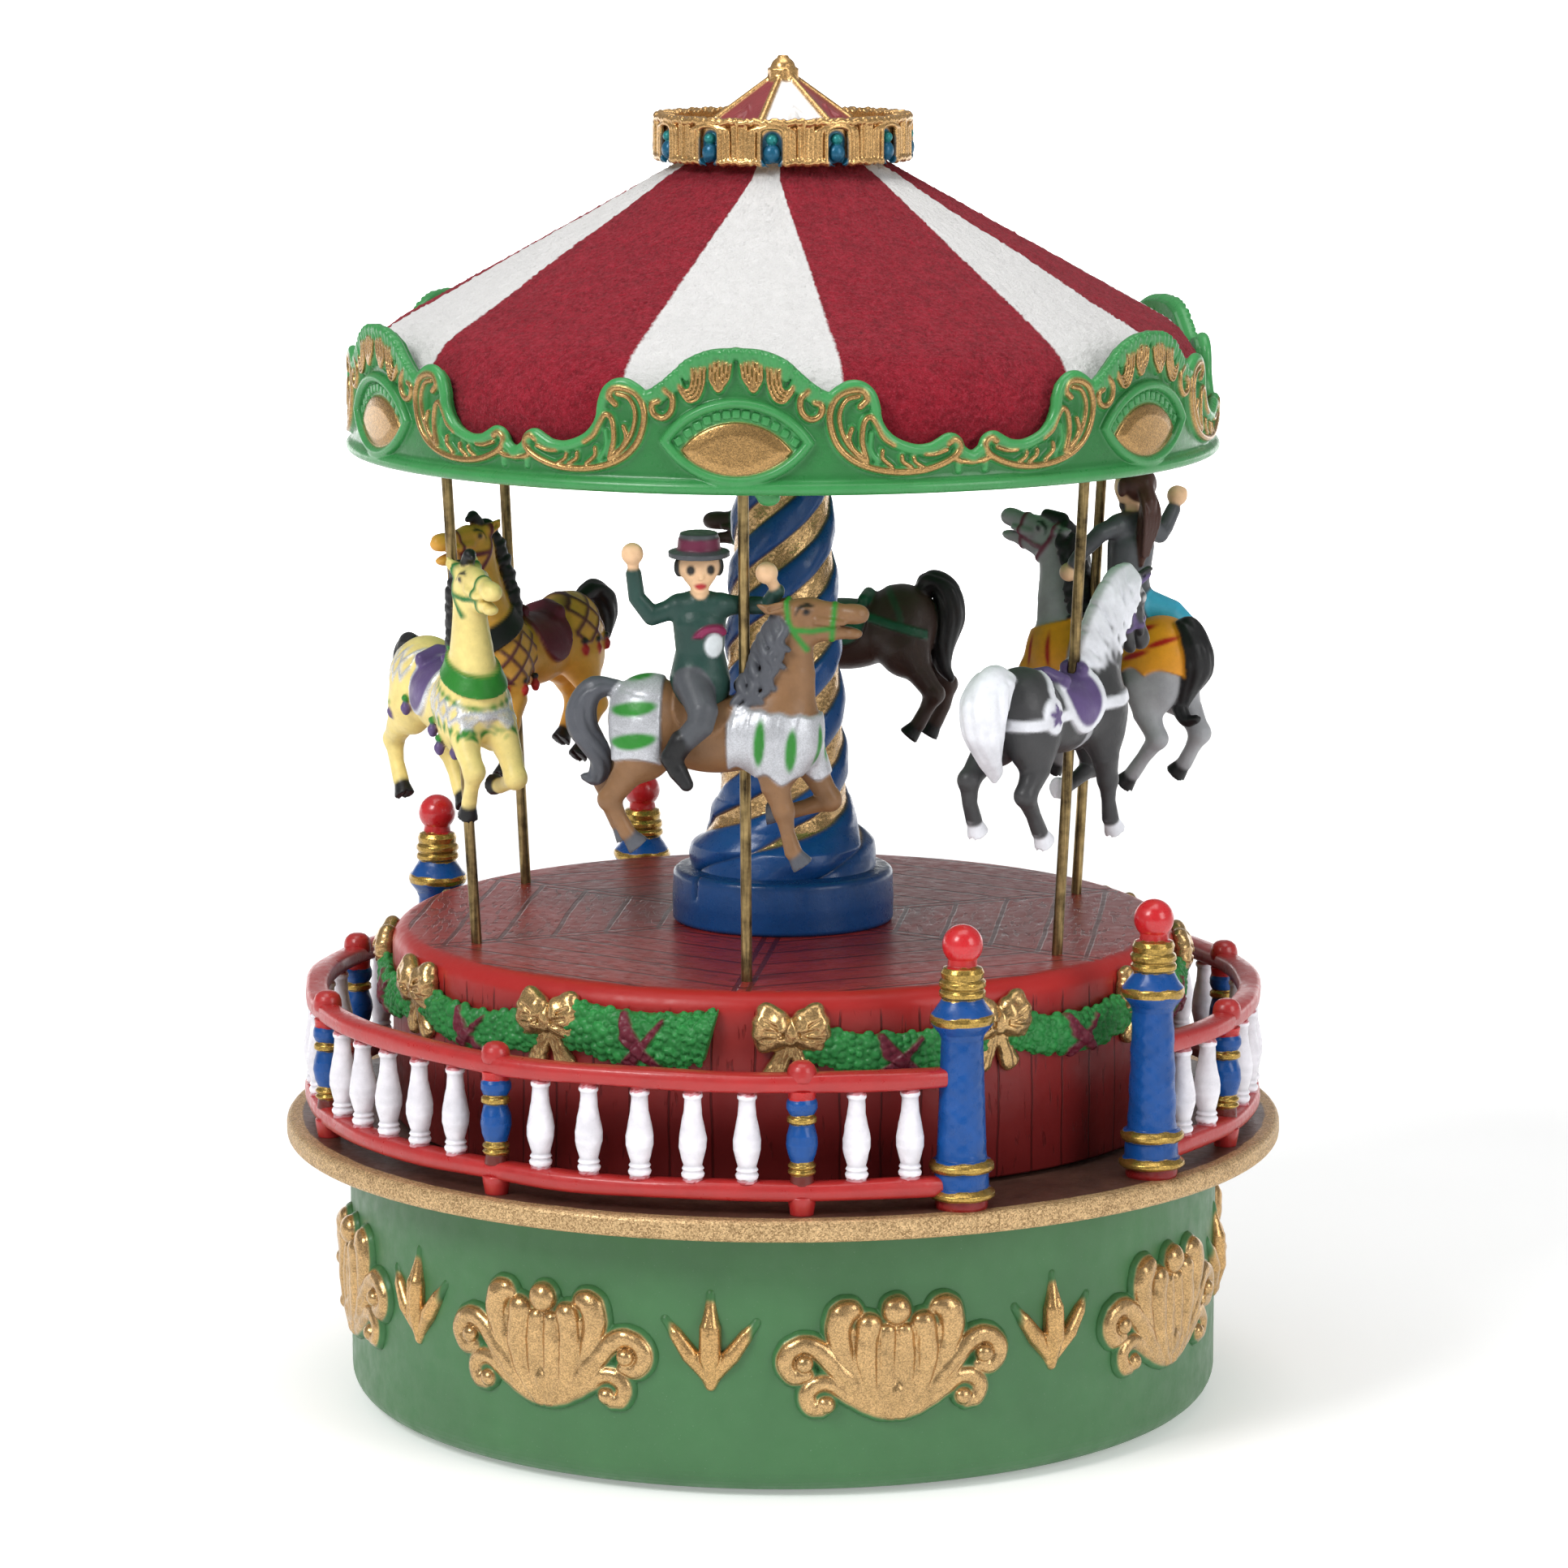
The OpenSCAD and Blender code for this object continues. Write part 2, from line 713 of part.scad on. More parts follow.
// The ring of bows, each grown by d.
module all_bows(d) {
  for (k = [0 : swags - 1]) at_angle(bow_phase + k * bow_step)
    skin(deck_r - d, deck_r + 1.5 + d, 44, 54) offset(delta = d) translate([0, 49.8]) bow_outline();
}

module garland_bows() {
  color(gold) all_bows(0);
}

// ---------------------------------------------------------------- column and poles

module column_base() {
  color(blue) difference() {
    rotate_extrude() polygon(concat(
      [[0, deck_top]], [[foot_r, deck_top]],
      arc([foot_r - 0.5, foot_top - 0.5], 0.5, 0, 90, 3),
      arc([tier_r - 1.2, tier_top - 1.2], 1.2, 0, 90, 4),
      [[shaft_foot_r, tier_top], [shaft_foot_r, shaft_low], [0, shaft_low]]));
    rod(4.7, 50, 55.5);
  }
}

module column_shaft() {
  h = lip_high - shaft_low;
  color(blue) translate([0, 0, shaft_low])
    linear_extrude(height = h, twist = -360 * h / column_lead, scale = column_high_r / column_low_r,
      slices = 36, $fn = 12) {
      circle(r = column_low_r * 0.8, $fn = 16);
      for (k = [0 : 3]) rotate(90 * k)
        translate([column_low_r * 0.45, 0]) circle(r = column_low_r * 0.55, $fn = 12);
    }
}

module horse_poles() {
  color(brass) for (k = [0 : 5]) at_pole(k) rod(pole_r, -deck_t, (lip_high + 0.9 - deck_top) / cos(lean));
}

// ---------------------------------------------------------------- horses

// A limb of balls, each [x, y, z, radius], joined in a row. +Y is forward.
module limb(p) {
  for (i = [0 : len(p) - 2]) hull() {
    translate([p[i][0], p[i][1], p[i][2]]) sphere(r = p[i][3], $fn = 8);
    translate([p[i + 1][0], p[i + 1][1], p[i + 1][2]]) sphere(r = p[i + 1][3], $fn = 8);
  }
}

// A jumping horse on the pole. Its origin is on the pole at the middle of its body.
module horse(head_down, tail_len) {
  difference() {
    union() {
      limb([[0, 3.6, 0, 4.4], [0, -3, -0.6, 4.3], [0, -10, 0.8, 4.4]]);
      if (head_down) {
        limb([[0, 3.6, 2.5, 3.6], [0, 7, 9, 2.4], [0, 9.4, 13, 1.9]]);
        limb([[0, 9.4, 13, 2], [0, 12.6, 7.6, 1.5]]);
      } else {
        limb([[0, 3.8, 2.5, 3.6], [0, 5, 9, 2.3], [0, 5.2, 12.5, 2]]);
        limb([[0, 5.6, 12.6, 2.2], [0, 12, 11.2, 1.5]]);
      }
      limb([[2.2, 2.6, -2.5, 1.9], [2.3, 4.6, -9, 1.1], [2.3, 5.8, -13, 0.9], [2.3, 7, -14.8, 1]]);
      limb([[-2.2, 6, -2.5, 1.8], [-2.3, 9, -7.6, 1.1], [-2.3, 4.4, -9.4, 0.9], [-2.3, 3, -9.8, 0.9]]);
      limb([[2.3, -10, -1.5, 2.6], [2.3, -13.4, -6.2, 1.1], [2.3, -12, -10.4, 0.8], [2.3, -10.8, -12, 1]]);
      limb([[-2.3, -9, -1.5, 2.6], [-2.3, -11, -7, 1.1], [-2.3, -8.4, -11.5, 0.8], [-2.3, -7, -13.4, 1]]);
      limb([[0, -13.6, 3.4, 1.2], [0, -16.4, 2.6, 1.5], [0, -17.6, -1, 1.6], [0, -17 + tail_len, -5.6, 0.9]]);
      limb([[0, -1.6, 3, 3.2], [0, -4.4, 2.8, 3.3]]);
    }
    rod(pole_r + 0.03, -30, 40);
  }
}

module horse_on_pole(k, head_down, tail_len, tint, turn = 0) {
  color(tint) at_pole(k) rotate([0, 0, turn]) translate([0, 0, 27.8]) horse(head_down, tail_len);
}

module horse_tan() horse_on_pole(0, false, 1, [0.62, 0.45, 0.25]);
module horse_pale() horse_on_pole(5, false, 1, [0.9, 0.85, 0.55]);
module horse_golden() horse_on_pole(4, false, 0, [0.85, 0.65, 0.3]);
module horse_brown() horse_on_pole(3, false, 0.5, [0.25, 0.15, 0.12]);
module horse_grey() horse_on_pole(2, false, 1, [0.65, 0.65, 0.66], grey_turn);
module horse_charcoal() horse_on_pole(1, true, 1, [0.3, 0.3, 0.3]);

// A seated rider, cut to sit on the horse's back. The arms differ from rider to rider.
module rider(arms, hat) {
  difference() {
    union() {
      limb([[0, -4.8, 8, 2.6], [0.3, -4.6, 15, 2.4], [0.6, -4.4, 19.2, 1.6], [0.7, -4.3, 21.4, 2]]);
      if (hat) translate([0.6, -4.3, 22]) {
        cylinder(r = 3.2, h = 0.7, $fn = 12);
        cylinder(r = 2, h = 2.4, $fn = 12);
      }
      for (s = [-1, 1]) limb([[s * 2.2, -4.4, 7, 1.8], [s * 4.6, -2.6, 3.4, 1.5], [s * 4.9, -4.8, -1.2, 1.2],
        [s * 5, -3.4, -2.8, 0.9]]);
      limb([[0.6, -6.4, 15.4, 1.3], arms[0], arms[1]]);
      limb([[0.4, -2.9, 15.4, 1.3], arms[2], arms[3]]);
    }
    rod(pole_r + 0.03, -30, 40);
    horse(false, 1);
  }
}

module rider_hat() {
  color([0.13, 0.3, 0.26]) at_pole(0) translate([0, 0, 27.8]) rider(
    [[0.9, -9.8, 13, 1.1], [1.3, -11.8, 19.4, 1.3], [-1.7, 2, 13.4, 1.1], [0.2, 2.5, 17.3, 1.3]], true);
}

module rider_ponytail() {
  color([0.5, 0.5, 0.52]) at_pole(2) rotate([0, 0, grey_turn]) translate([0, 0, 27.8]) rider(
    [[5.2, -5, 12.4, 1.1], [8.2, -5, 17.4, 1.3], [-4.8, -3.8, 13.2, 1.1], [-6, -0.6, 10.2, 1.2]], false);
}

// ---------------------------------------------------------------- canopy

module canopy_ceiling() {
  color(green) difference() {
    rod(valance_r - 1.5, lip_high, lip_high + ceiling_t);
    for (k = [0 : 5]) at_pole(k) rod(pole_r, 50, 58);
  }
}

// The roof's outline, moved in by t.
function roof_line(t) = [
  [eave_r - t, lip_high + ceiling_t], [eave_r - t, eave_z - t * 0.3], [shoulder_r - t * 0.6, shoulder_z - t],
  [roof_top_r, roof_top - t * 1.1]];

module canopy_shell() {
  outer = roof_line(roof_felt_t);
  inner = roof_line(roof_felt_t + shell_t);
  color([0.85, 0.85, 0.85]) rotate_extrude($fn = 96) polygon(concat(
    outer, [[0, roof_top - 0.66], [0, roof_top - 0.66 - shell_t]], [for (i = [3 : -1 : 0]) inner[i]]));
}

module roof_felt() {
  outer = roof_line(0);
  inner = roof_line(roof_felt_t);
  color([0.65, 0.12, 0.2]) rotate_extrude($fn = 96)
    polygon(concat(outer, [for (i = [3 : -1 : 0]) inner[i]]));
}

// One sixth of the valance's crest, as the distance round the drum and the height.
module crest_outline() {
  h = valance_high;
  low = band_high - 1;
  polygon([
    [-23, low], [23, low], [22.4, 113.3], [21, 113.5], [18, 116.5], [14.5, 119.2], [11.4, 119.4],
    [8.4, 117.4], [6.4, 120.6], [2.6, h - 0.6], [0, h], [-2.6, h - 0.6], [-6.4, 120.6], [-8.4, 117.4],
    [-11.4, 119.4], [-14.5, 119.2], [-18, 116.5], [-21, 113.5], [-22.4, 113.3]]);
}

module valance() {
  color([0.28, 0.65, 0.34]) difference() {
    intersection() {
      rod(valance_r, valance_low, valance_high + 1);
      union() {
        rod(valance_r + 5, valance_low - 1, band_high);
        for (k = [0 : 5]) at_angle(pole_phase + 60 * k) through(valance_r, 8.2) crest_outline();
      }
    }
    rod(valance_r - 1.4, lip_high, valance_high + 2);
    rod(valance_r - 3.2, valance_low - 1, valance_high + 2);
  }
}

module crown_ring() {
  color(gold) rotate_extrude($fn = 96) polygon([
    [0, roof_top], [crown_r - 1.2, roof_top], [crown_r - 0.4, roof_top + 0.5], [crown_r - 0.7, roof_top + 1.1],
    [crown_r - 0.7, 144.2], [crown_r, 144.8], [crown_r, 145.5], [crown_r - 0.3, 146.05], [crown_r - 2, 146.05],
    [crown_r - 2, 145], [6.4, 145], [6.4, 146.3], [0, 146.3]]);
}

module cupola_finial() {
  tip = total_h - 0.65;
  color([0.7, 0.15, 0.15]) rotate_extrude($fn = 48) polygon(concat(
    [[0, 146.3], [6.4, 146.3], [4.6, 147.7], [2.6, 149.2], [1.8, 149.9]],
    [[1.77, 151.1], [1.37, 151.3]],
    arc([0, tip - 0.6], 1.3, 10, 60, 3),
    arc([0, tip], 0.65, -30, 90, 5)));
}

base_shell();
base_cover();
cover_screws();
felt_ring();
ledge_plate();
shaft_bush();
base_palmettes();
base_sprigs();
fence_rails_left();
fence_rails_right();
fence_balusters_left();
fence_balusters_right();
fence_posts_left();
fence_posts_right();
gate_posts();
gate_balls();
bedplate();
movement_screws();
movement_brackets();
governor_frame();
comb();
comb_block();
comb_screws();
winding_key();
winding_arbor();
tune_cylinder();
cylinder_arbor();
cylinder_pinion();
great_wheel();
idler_arbor();
idler_pinion();
worm_wheel();
worm();
fly_vane();
spring_barrel();
barrel_lid();
barrel_gear();
mainspring();
drive_shaft();
shaft_nut();
deck_drum();
garland_swags();
garland_bows();
column_base();
column_shaft();
horse_poles();
horse_tan();
horse_pale();
horse_golden();
horse_brown();
horse_grey();
horse_charcoal();
rider_hat();
rider_ponytail();
canopy_ceiling();
canopy_shell();
roof_felt();
valance();
crown_ring();
cupola_finial();
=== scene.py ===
"""Looks of the carousel music box. Shapes are in millimetres and become metres in mesh_piece()."""
import math

import bmesh
import bpy
import numpy as np
from mathutils import Matrix, Vector


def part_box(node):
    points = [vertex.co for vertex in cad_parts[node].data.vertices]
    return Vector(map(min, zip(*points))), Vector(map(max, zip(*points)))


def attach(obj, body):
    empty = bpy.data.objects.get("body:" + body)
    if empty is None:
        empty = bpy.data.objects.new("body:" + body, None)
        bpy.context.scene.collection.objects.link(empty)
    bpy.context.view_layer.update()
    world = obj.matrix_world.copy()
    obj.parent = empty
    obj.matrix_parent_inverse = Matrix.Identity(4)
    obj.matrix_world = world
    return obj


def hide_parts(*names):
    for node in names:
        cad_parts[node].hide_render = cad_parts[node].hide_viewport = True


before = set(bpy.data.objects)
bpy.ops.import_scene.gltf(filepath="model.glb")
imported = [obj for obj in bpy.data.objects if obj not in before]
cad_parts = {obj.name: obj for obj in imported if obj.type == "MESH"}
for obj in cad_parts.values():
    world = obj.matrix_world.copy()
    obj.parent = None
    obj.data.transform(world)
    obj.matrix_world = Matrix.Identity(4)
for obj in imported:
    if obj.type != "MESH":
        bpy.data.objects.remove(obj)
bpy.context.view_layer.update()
MM = 0.001
TAU = 2 * math.pi

# ------------------------------------------------------------------ sizes, from the frame


def top(node):
    """Height of a node's top, in millimetres."""
    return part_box(node)[1].z / MM


def low(node):
    """Height of its lowest point."""
    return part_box(node)[0].z / MM


def radius(node):
    """Its reach from the axis."""
    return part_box(node)[1].x / MM


BASE_R = radius("base_shell")
LEDGE_TOP = top("ledge_plate")
DECK_R = radius("deck_drum")
DECK_TOP = top("deck_drum")
DECK_LOW = low("deck_drum")
VALANCE_R = 48.8
VALANCE_LOW = low("valance")
CROWN_LOW = low("crown_ring")
CROWN_R = radius("crown_ring")
CROWN_TOP = top("crown_ring")
TIP = top("cupola_finial")
FENCE_R = 53.5
RAIL_LOW = low("fence_rails_left")
RAIL_TOP = top("fence_rails_left")
POLE_PHASE = -6
POLE_LOW_R = 37.6
POLE_HIGH_R = 40.8
LEAN = math.atan((POLE_HIGH_R - POLE_LOW_R) / (VALANCE_LOW - DECK_TOP))
HORSE_UP = 27.8

# ------------------------------------------------------------------ colours

GREEN = (0.048, 0.158, 0.055)
CANOPY_GREEN = (0.048, 0.275, 0.078)
SKIN = (0.75, 0.48, 0.28)

# ------------------------------------------------------------------ materials


def nodes_of(name):
    """A new material, its node tree and its shader."""
    material = bpy.data.materials.new(name)
    material.use_nodes = True
    tree = material.node_tree
    shader = tree.nodes["Principled BSDF"]
    return material, tree, shader


def link(tree, a, b):
    tree.links.new(a, b)


def coordinates(tree):
    return tree.nodes.new("ShaderNodeTexCoord").outputs["Object"]


def noise(tree, scale, detail=3.0, rough=0.6, stretch=(1, 1, 1)):
    """Noise whose scale is in features per metre; stretch squeezes it along an axis."""
    node = tree.nodes.new("ShaderNodeTexNoise")
    node.inputs["Scale"].default_value = scale
    node.inputs["Detail"].default_value = detail
    node.inputs["Roughness"].default_value = rough
    mapping = tree.nodes.new("ShaderNodeMapping")
    mapping.inputs["Scale"].default_value = stretch
    link(tree, coordinates(tree), mapping.inputs["Vector"])
    link(tree, mapping.outputs["Vector"], node.inputs["Vector"])
    return node.outputs["Fac"]


def ramp(tree, fac, stops):
    """A ramp from (place, colour or grey) stops."""
    node = tree.nodes.new("ShaderNodeValToRGB")
    elements = node.color_ramp.elements
    while len(elements) < len(stops):
        elements.new(0.5)
    for element, (place, colour) in zip(elements, stops):
        element.position = place
        element.color = (*colour, 1) if hasattr(colour, "__len__") else (colour, colour, colour, 1)
    link(tree, fac, node.inputs["Fac"])
    return node.outputs["Color"]


def mix(tree, fac, a, b, how="MIX"):
    """Mixes two colours; fac, a and b are sockets or values."""
    node = tree.nodes.new("ShaderNodeMix")
    node.data_type = "RGBA"
    node.blend_type = how
    for socket, value in ((node.inputs[0], fac), (node.inputs[6], a), (node.inputs[7], b)):
        if hasattr(value, "is_output"):
            link(tree, value, socket)
        elif hasattr(value, "__len__"):
            socket.default_value = (*value[:3], 1)
        else:
            socket.default_value = value
    return node.outputs[2]


def math_node(tree, how, a, b=0.0):
    """Arithmetic on sockets or values."""
    node = tree.nodes.new("ShaderNodeMath")
    node.operation = how
    for socket, value in ((node.inputs[0], a), (node.inputs[1], b)):
        if hasattr(value, "is_output"):
            link(tree, value, socket)
        else:
            socket.default_value = value
    return node.outputs[0]


def times(tree, a, b):
    return math_node(tree, "MULTIPLY", a, b)


def plus(tree, a, b):
    return math_node(tree, "ADD", a, b)


def minus(tree, a, b):
    return math_node(tree, "SUBTRACT", a, b)


def larger(tree, a, b):
    return math_node(tree, "MAXIMUM", a, b)


def bump(tree, shader, height, strength, distance):
    """Adds a bump on top of those the shader has already."""
    node = tree.nodes.new("ShaderNodeBump")
    node.inputs["Strength"].default_value = strength
    node.inputs["Distance"].default_value = distance
    link(tree, height, node.inputs["Height"])
    if shader.inputs["Normal"].is_linked:
        link(tree, shader.inputs["Normal"].links[0].from_socket, node.inputs["Normal"])
    link(tree, node.outputs["Normal"], shader.inputs["Normal"])


def shade(colour, k):
    return tuple(min(1.0, c * k) for c in colour)


def hand_paint(name, colour, rough, vary, coat):
    """Brushed model paint: slow tone changes, brush marks, and tiny specks."""
    material, tree, shader = nodes_of(name)
    slow = noise(tree, 260, 4)
    tone = ramp(tree, slow, [(0.25, shade(colour, 1 - vary)), (0.75, shade(colour, 1 + vary))])
    speck = ramp(tree, noise(tree, 3200, 2, 0.7), [(0.66, 0.0), (0.78, 1.0)])
    link(tree, mix(tree, times(tree, speck, 0.25), tone, shade(colour, 0.55)),
         shader.inputs["Base Color"])
    link(tree, ramp(tree, noise(tree, 900, 3), [(0.3, rough - 0.1), (0.7, rough + 0.12)]),
         shader.inputs["Roughness"])
    shader.inputs["Coat Weight"].default_value = coat
    shader.inputs["Coat Roughness"].default_value = 0.12
    bump(tree, shader, noise(tree, 1500, 4, 0.6), 0.35, 0.00012)
    return material


def glitter(name, dark, light, metal=0.75, rough=0.38, cell=7600):
    """Gold paint full of small flakes, each with its own tone and tilt."""
    material, tree, shader = nodes_of(name)
    flakes = tree.nodes.new("ShaderNodeTexVoronoi")
    flakes.inputs["Scale"].default_value = cell
    link(tree, coordinates(tree), flakes.inputs["Vector"])
    grey = tree.nodes.new("ShaderNodeSeparateColor")
    link(tree, flakes.outputs["Color"], grey.inputs["Color"])
    slow = noise(tree, 500, 4)
    tone = plus(tree, times(tree, grey.outputs["Red"], 0.6), times(tree, slow, 0.4))
    middle = tuple((a + b) / 2 for a, b in zip(dark, light))
    link(tree, ramp(tree, tone, [(0.15, dark), (0.5, middle), (0.85, light)]),
         shader.inputs["Base Color"])
    shader.inputs["Metallic"].default_value = metal
    link(tree, ramp(tree, grey.outputs["Green"], [(0.1, rough - 0.12), (0.9, rough + 0.15)]),
         shader.inputs["Roughness"])
    bump(tree, shader, grey.outputs["Blue"], 0.5, 0.00005)
    bump(tree, shader, noise(tree, 1200, 4), 0.4, 0.0001)
    return material


def painted(name, rough=0.42, coat=0.06, vary=0.16, gold_metal=0.8):
    """Paint whose colour is kept on the mesh: the paint attribute's alpha says where it is gold."""
    material, tree, shader = nodes_of(name)
    source = tree.nodes.new("ShaderNodeAttribute")
    source.attribute_name = "paint"
    slow = noise(tree, 330, 4)
    light = ramp(tree, slow, [(0.28, 1 - vary), (0.72, 1 + vary)])
    colour = mix(tree, 1.0, source.outputs["Color"], light, "MULTIPLY")
    speck = ramp(tree, noise(tree, 2900, 2, 0.7), [(0.64, 0.0), (0.8, 1.0)])
    colour = mix(tree, times(tree, speck, 0.3), colour,
                 mix(tree, 1.0, colour, (0.5, 0.5, 0.5), "MULTIPLY"))
    flakes = tree.nodes.new("ShaderNodeTexVoronoi")
    flakes.inputs["Scale"].default_value = 8500
    link(tree, coordinates(tree), flakes.inputs["Vector"])
    flake = tree.nodes.new("ShaderNodeSeparateColor")
    link(tree, flakes.outputs["Color"], flake.inputs["Color"])
    gold = source.outputs["Alpha"]
    sparkle = ramp(tree, flake.outputs["Red"], [(0.1, 0.72), (0.9, 1.3)])
    colour = mix(tree, gold, colour, mix(tree, 1.0, colour, sparkle, "MULTIPLY"))
    link(tree, colour, shader.inputs["Base Color"])
    link(tree, times(tree, gold, gold_metal), shader.inputs["Metallic"])
    plain = ramp(tree, noise(tree, 900, 3), [(0.3, rough - 0.08), (0.7, rough + 0.12)])
    link(tree, mix(tree, gold, plain, (0.27, 0.27, 0.27)), shader.inputs["Roughness"])
    shader.inputs["Coat Weight"].default_value = coat
    shader.inputs["Coat Roughness"].default_value = 0.15
    shader.inputs["Specular IOR Level"].default_value = 0.3
    bump(tree, shader, noise(tree, 1700, 4, 0.65), 0.35, 0.00012)
    return material


def metal(name, dark, light, rough=0.3, streaks=(1, 1, 0.04), scale=2500):
    """Drawn or turned metal with streaks and a patchy patina."""
    material, tree, shader = nodes_of(name)
    streak = noise(tree, scale, 4, 0.6, streaks)
    patch = noise(tree, 420, 5, 0.65)
    tone = plus(tree, times(tree, streak, 0.5), times(tree, patch, 0.5))
    link(tree, ramp(tree, tone, [(0.36, dark), (0.62, light)]), shader.inputs["Base Color"])
    shader.inputs["Metallic"].default_value = 1.0
    link(tree, ramp(tree, tone, [(0.35, rough + 0.22), (0.65, rough)]), shader.inputs["Roughness"])
    bump(tree, shader, streak, 0.3, 0.00005)
    return material


def flock(name, colour, light, dark):
    """Short dense fibres: a mottled tone with pale and dark fibre ends, and sheen."""
    material, tree, shader = nodes_of(name)
    tone = ramp(tree, noise(tree, 700, 5, 0.7), [(0.3, shade(colour, 0.82)),
                                                 (0.7, shade(colour, 1.15))])
    fibre = noise(tree, 5200, 3, 0.8)
    tone = mix(tree, ramp(tree, fibre, [(0.55, 0.0), (0.75, 0.75)]), tone, light)
    tone = mix(tree, ramp(tree, fibre, [(0.28, 0.7), (0.43, 0.0)]), tone, dark)
    link(tree, tone, shader.inputs["Base Color"])
    shader.inputs["Roughness"].default_value = 0.95
    shader.inputs["Sheen Weight"].default_value = 0.45
    shader.inputs["Sheen Roughness"].default_value = 0.5
    shader.inputs["Specular IOR Level"].default_value = 0.15
    bump(tree, shader, fibre, 0.9, 0.00025)
    bump(tree, shader, noise(tree, 1500, 5, 0.7), 0.6, 0.0003)
    return material


def moulded(name, colour, rough):
    """Moulded plastic with a faint flow pattern and fine dust."""
    material, tree, shader = nodes_of(name)
    tone = ramp(tree, noise(tree, 90, 5, 0.6), [(0.3, shade(colour, 0.9)), (0.7, shade(colour, 1.1))])
    dust = ramp(tree, noise(tree, 4500, 2, 0.8), [(0.68, 0.0), (0.8, 0.22)])
    link(tree, mix(tree, dust, tone, (0.6, 0.62, 0.6)), shader.inputs["Base Color"])
    link(tree, ramp(tree, noise(tree, 420, 4), [(0.3, rough - 0.06), (0.7, rough + 0.14)]),
         shader.inputs["Roughness"])
    bump(tree, shader, noise(tree, 750, 4, 0.6), 0.25, 0.0001)
    return material


def place_parts(tree):
    """Height of a point, its distance from the axis and its angle round it, in metres and radians."""
    split = tree.nodes.new("ShaderNodeSeparateXYZ")
    link(tree, coordinates(tree), split.inputs[0])
    x, y, z = split.outputs
    r = math_node(tree, "SQRT", plus(tree, times(tree, x, x), times(tree, y, y)))
    angle = math_node(tree, "ARCTAN2", x, times(tree, y, -1))
    return z, r, angle


def step_up(tree, value, low_v, high_v):
    """0 at low_v to 1 at high_v, held outside."""
    node = tree.nodes.new("ShaderNodeMapRange")
    node.inputs["From Min"].default_value = low_v
    node.inputs["From Max"].default_value = high_v
    link(tree, value, node.inputs["Value"])
    return node.outputs["Result"]


def line_mask(tree, value, period, half, soft):
    """1 on thin lines every `period`, 0 elsewhere."""
    part = math_node(tree, "FRACT", math_node(tree, "DIVIDE", value, period))
    off = times(tree, math_node(tree, "ABSOLUTE", minus(tree, part, 0.5)), period)
    return step_up(tree, off, half + soft, half)


def combine(tree, x, y, z):
    node = tree.nodes.new("ShaderNodeCombineXYZ")
    for socket, value in zip(node.inputs, (x, y, z)):
        if hasattr(value, "is_output"):
            link(tree, value, socket)
        else:
            socket.default_value = value
    return node.outputs[0]


def noise_at(tree, vector, scale, detail=3.0, rough=0.6):
    node = tree.nodes.new("ShaderNodeTexNoise")
    node.inputs["Scale"].default_value = scale
    node.inputs["Detail"].default_value = detail
    node.inputs["Roughness"].default_value = rough
    link(tree, vector, node.inputs["Vector"])
    return node.outputs["Fac"]


BOARD = 0.0056


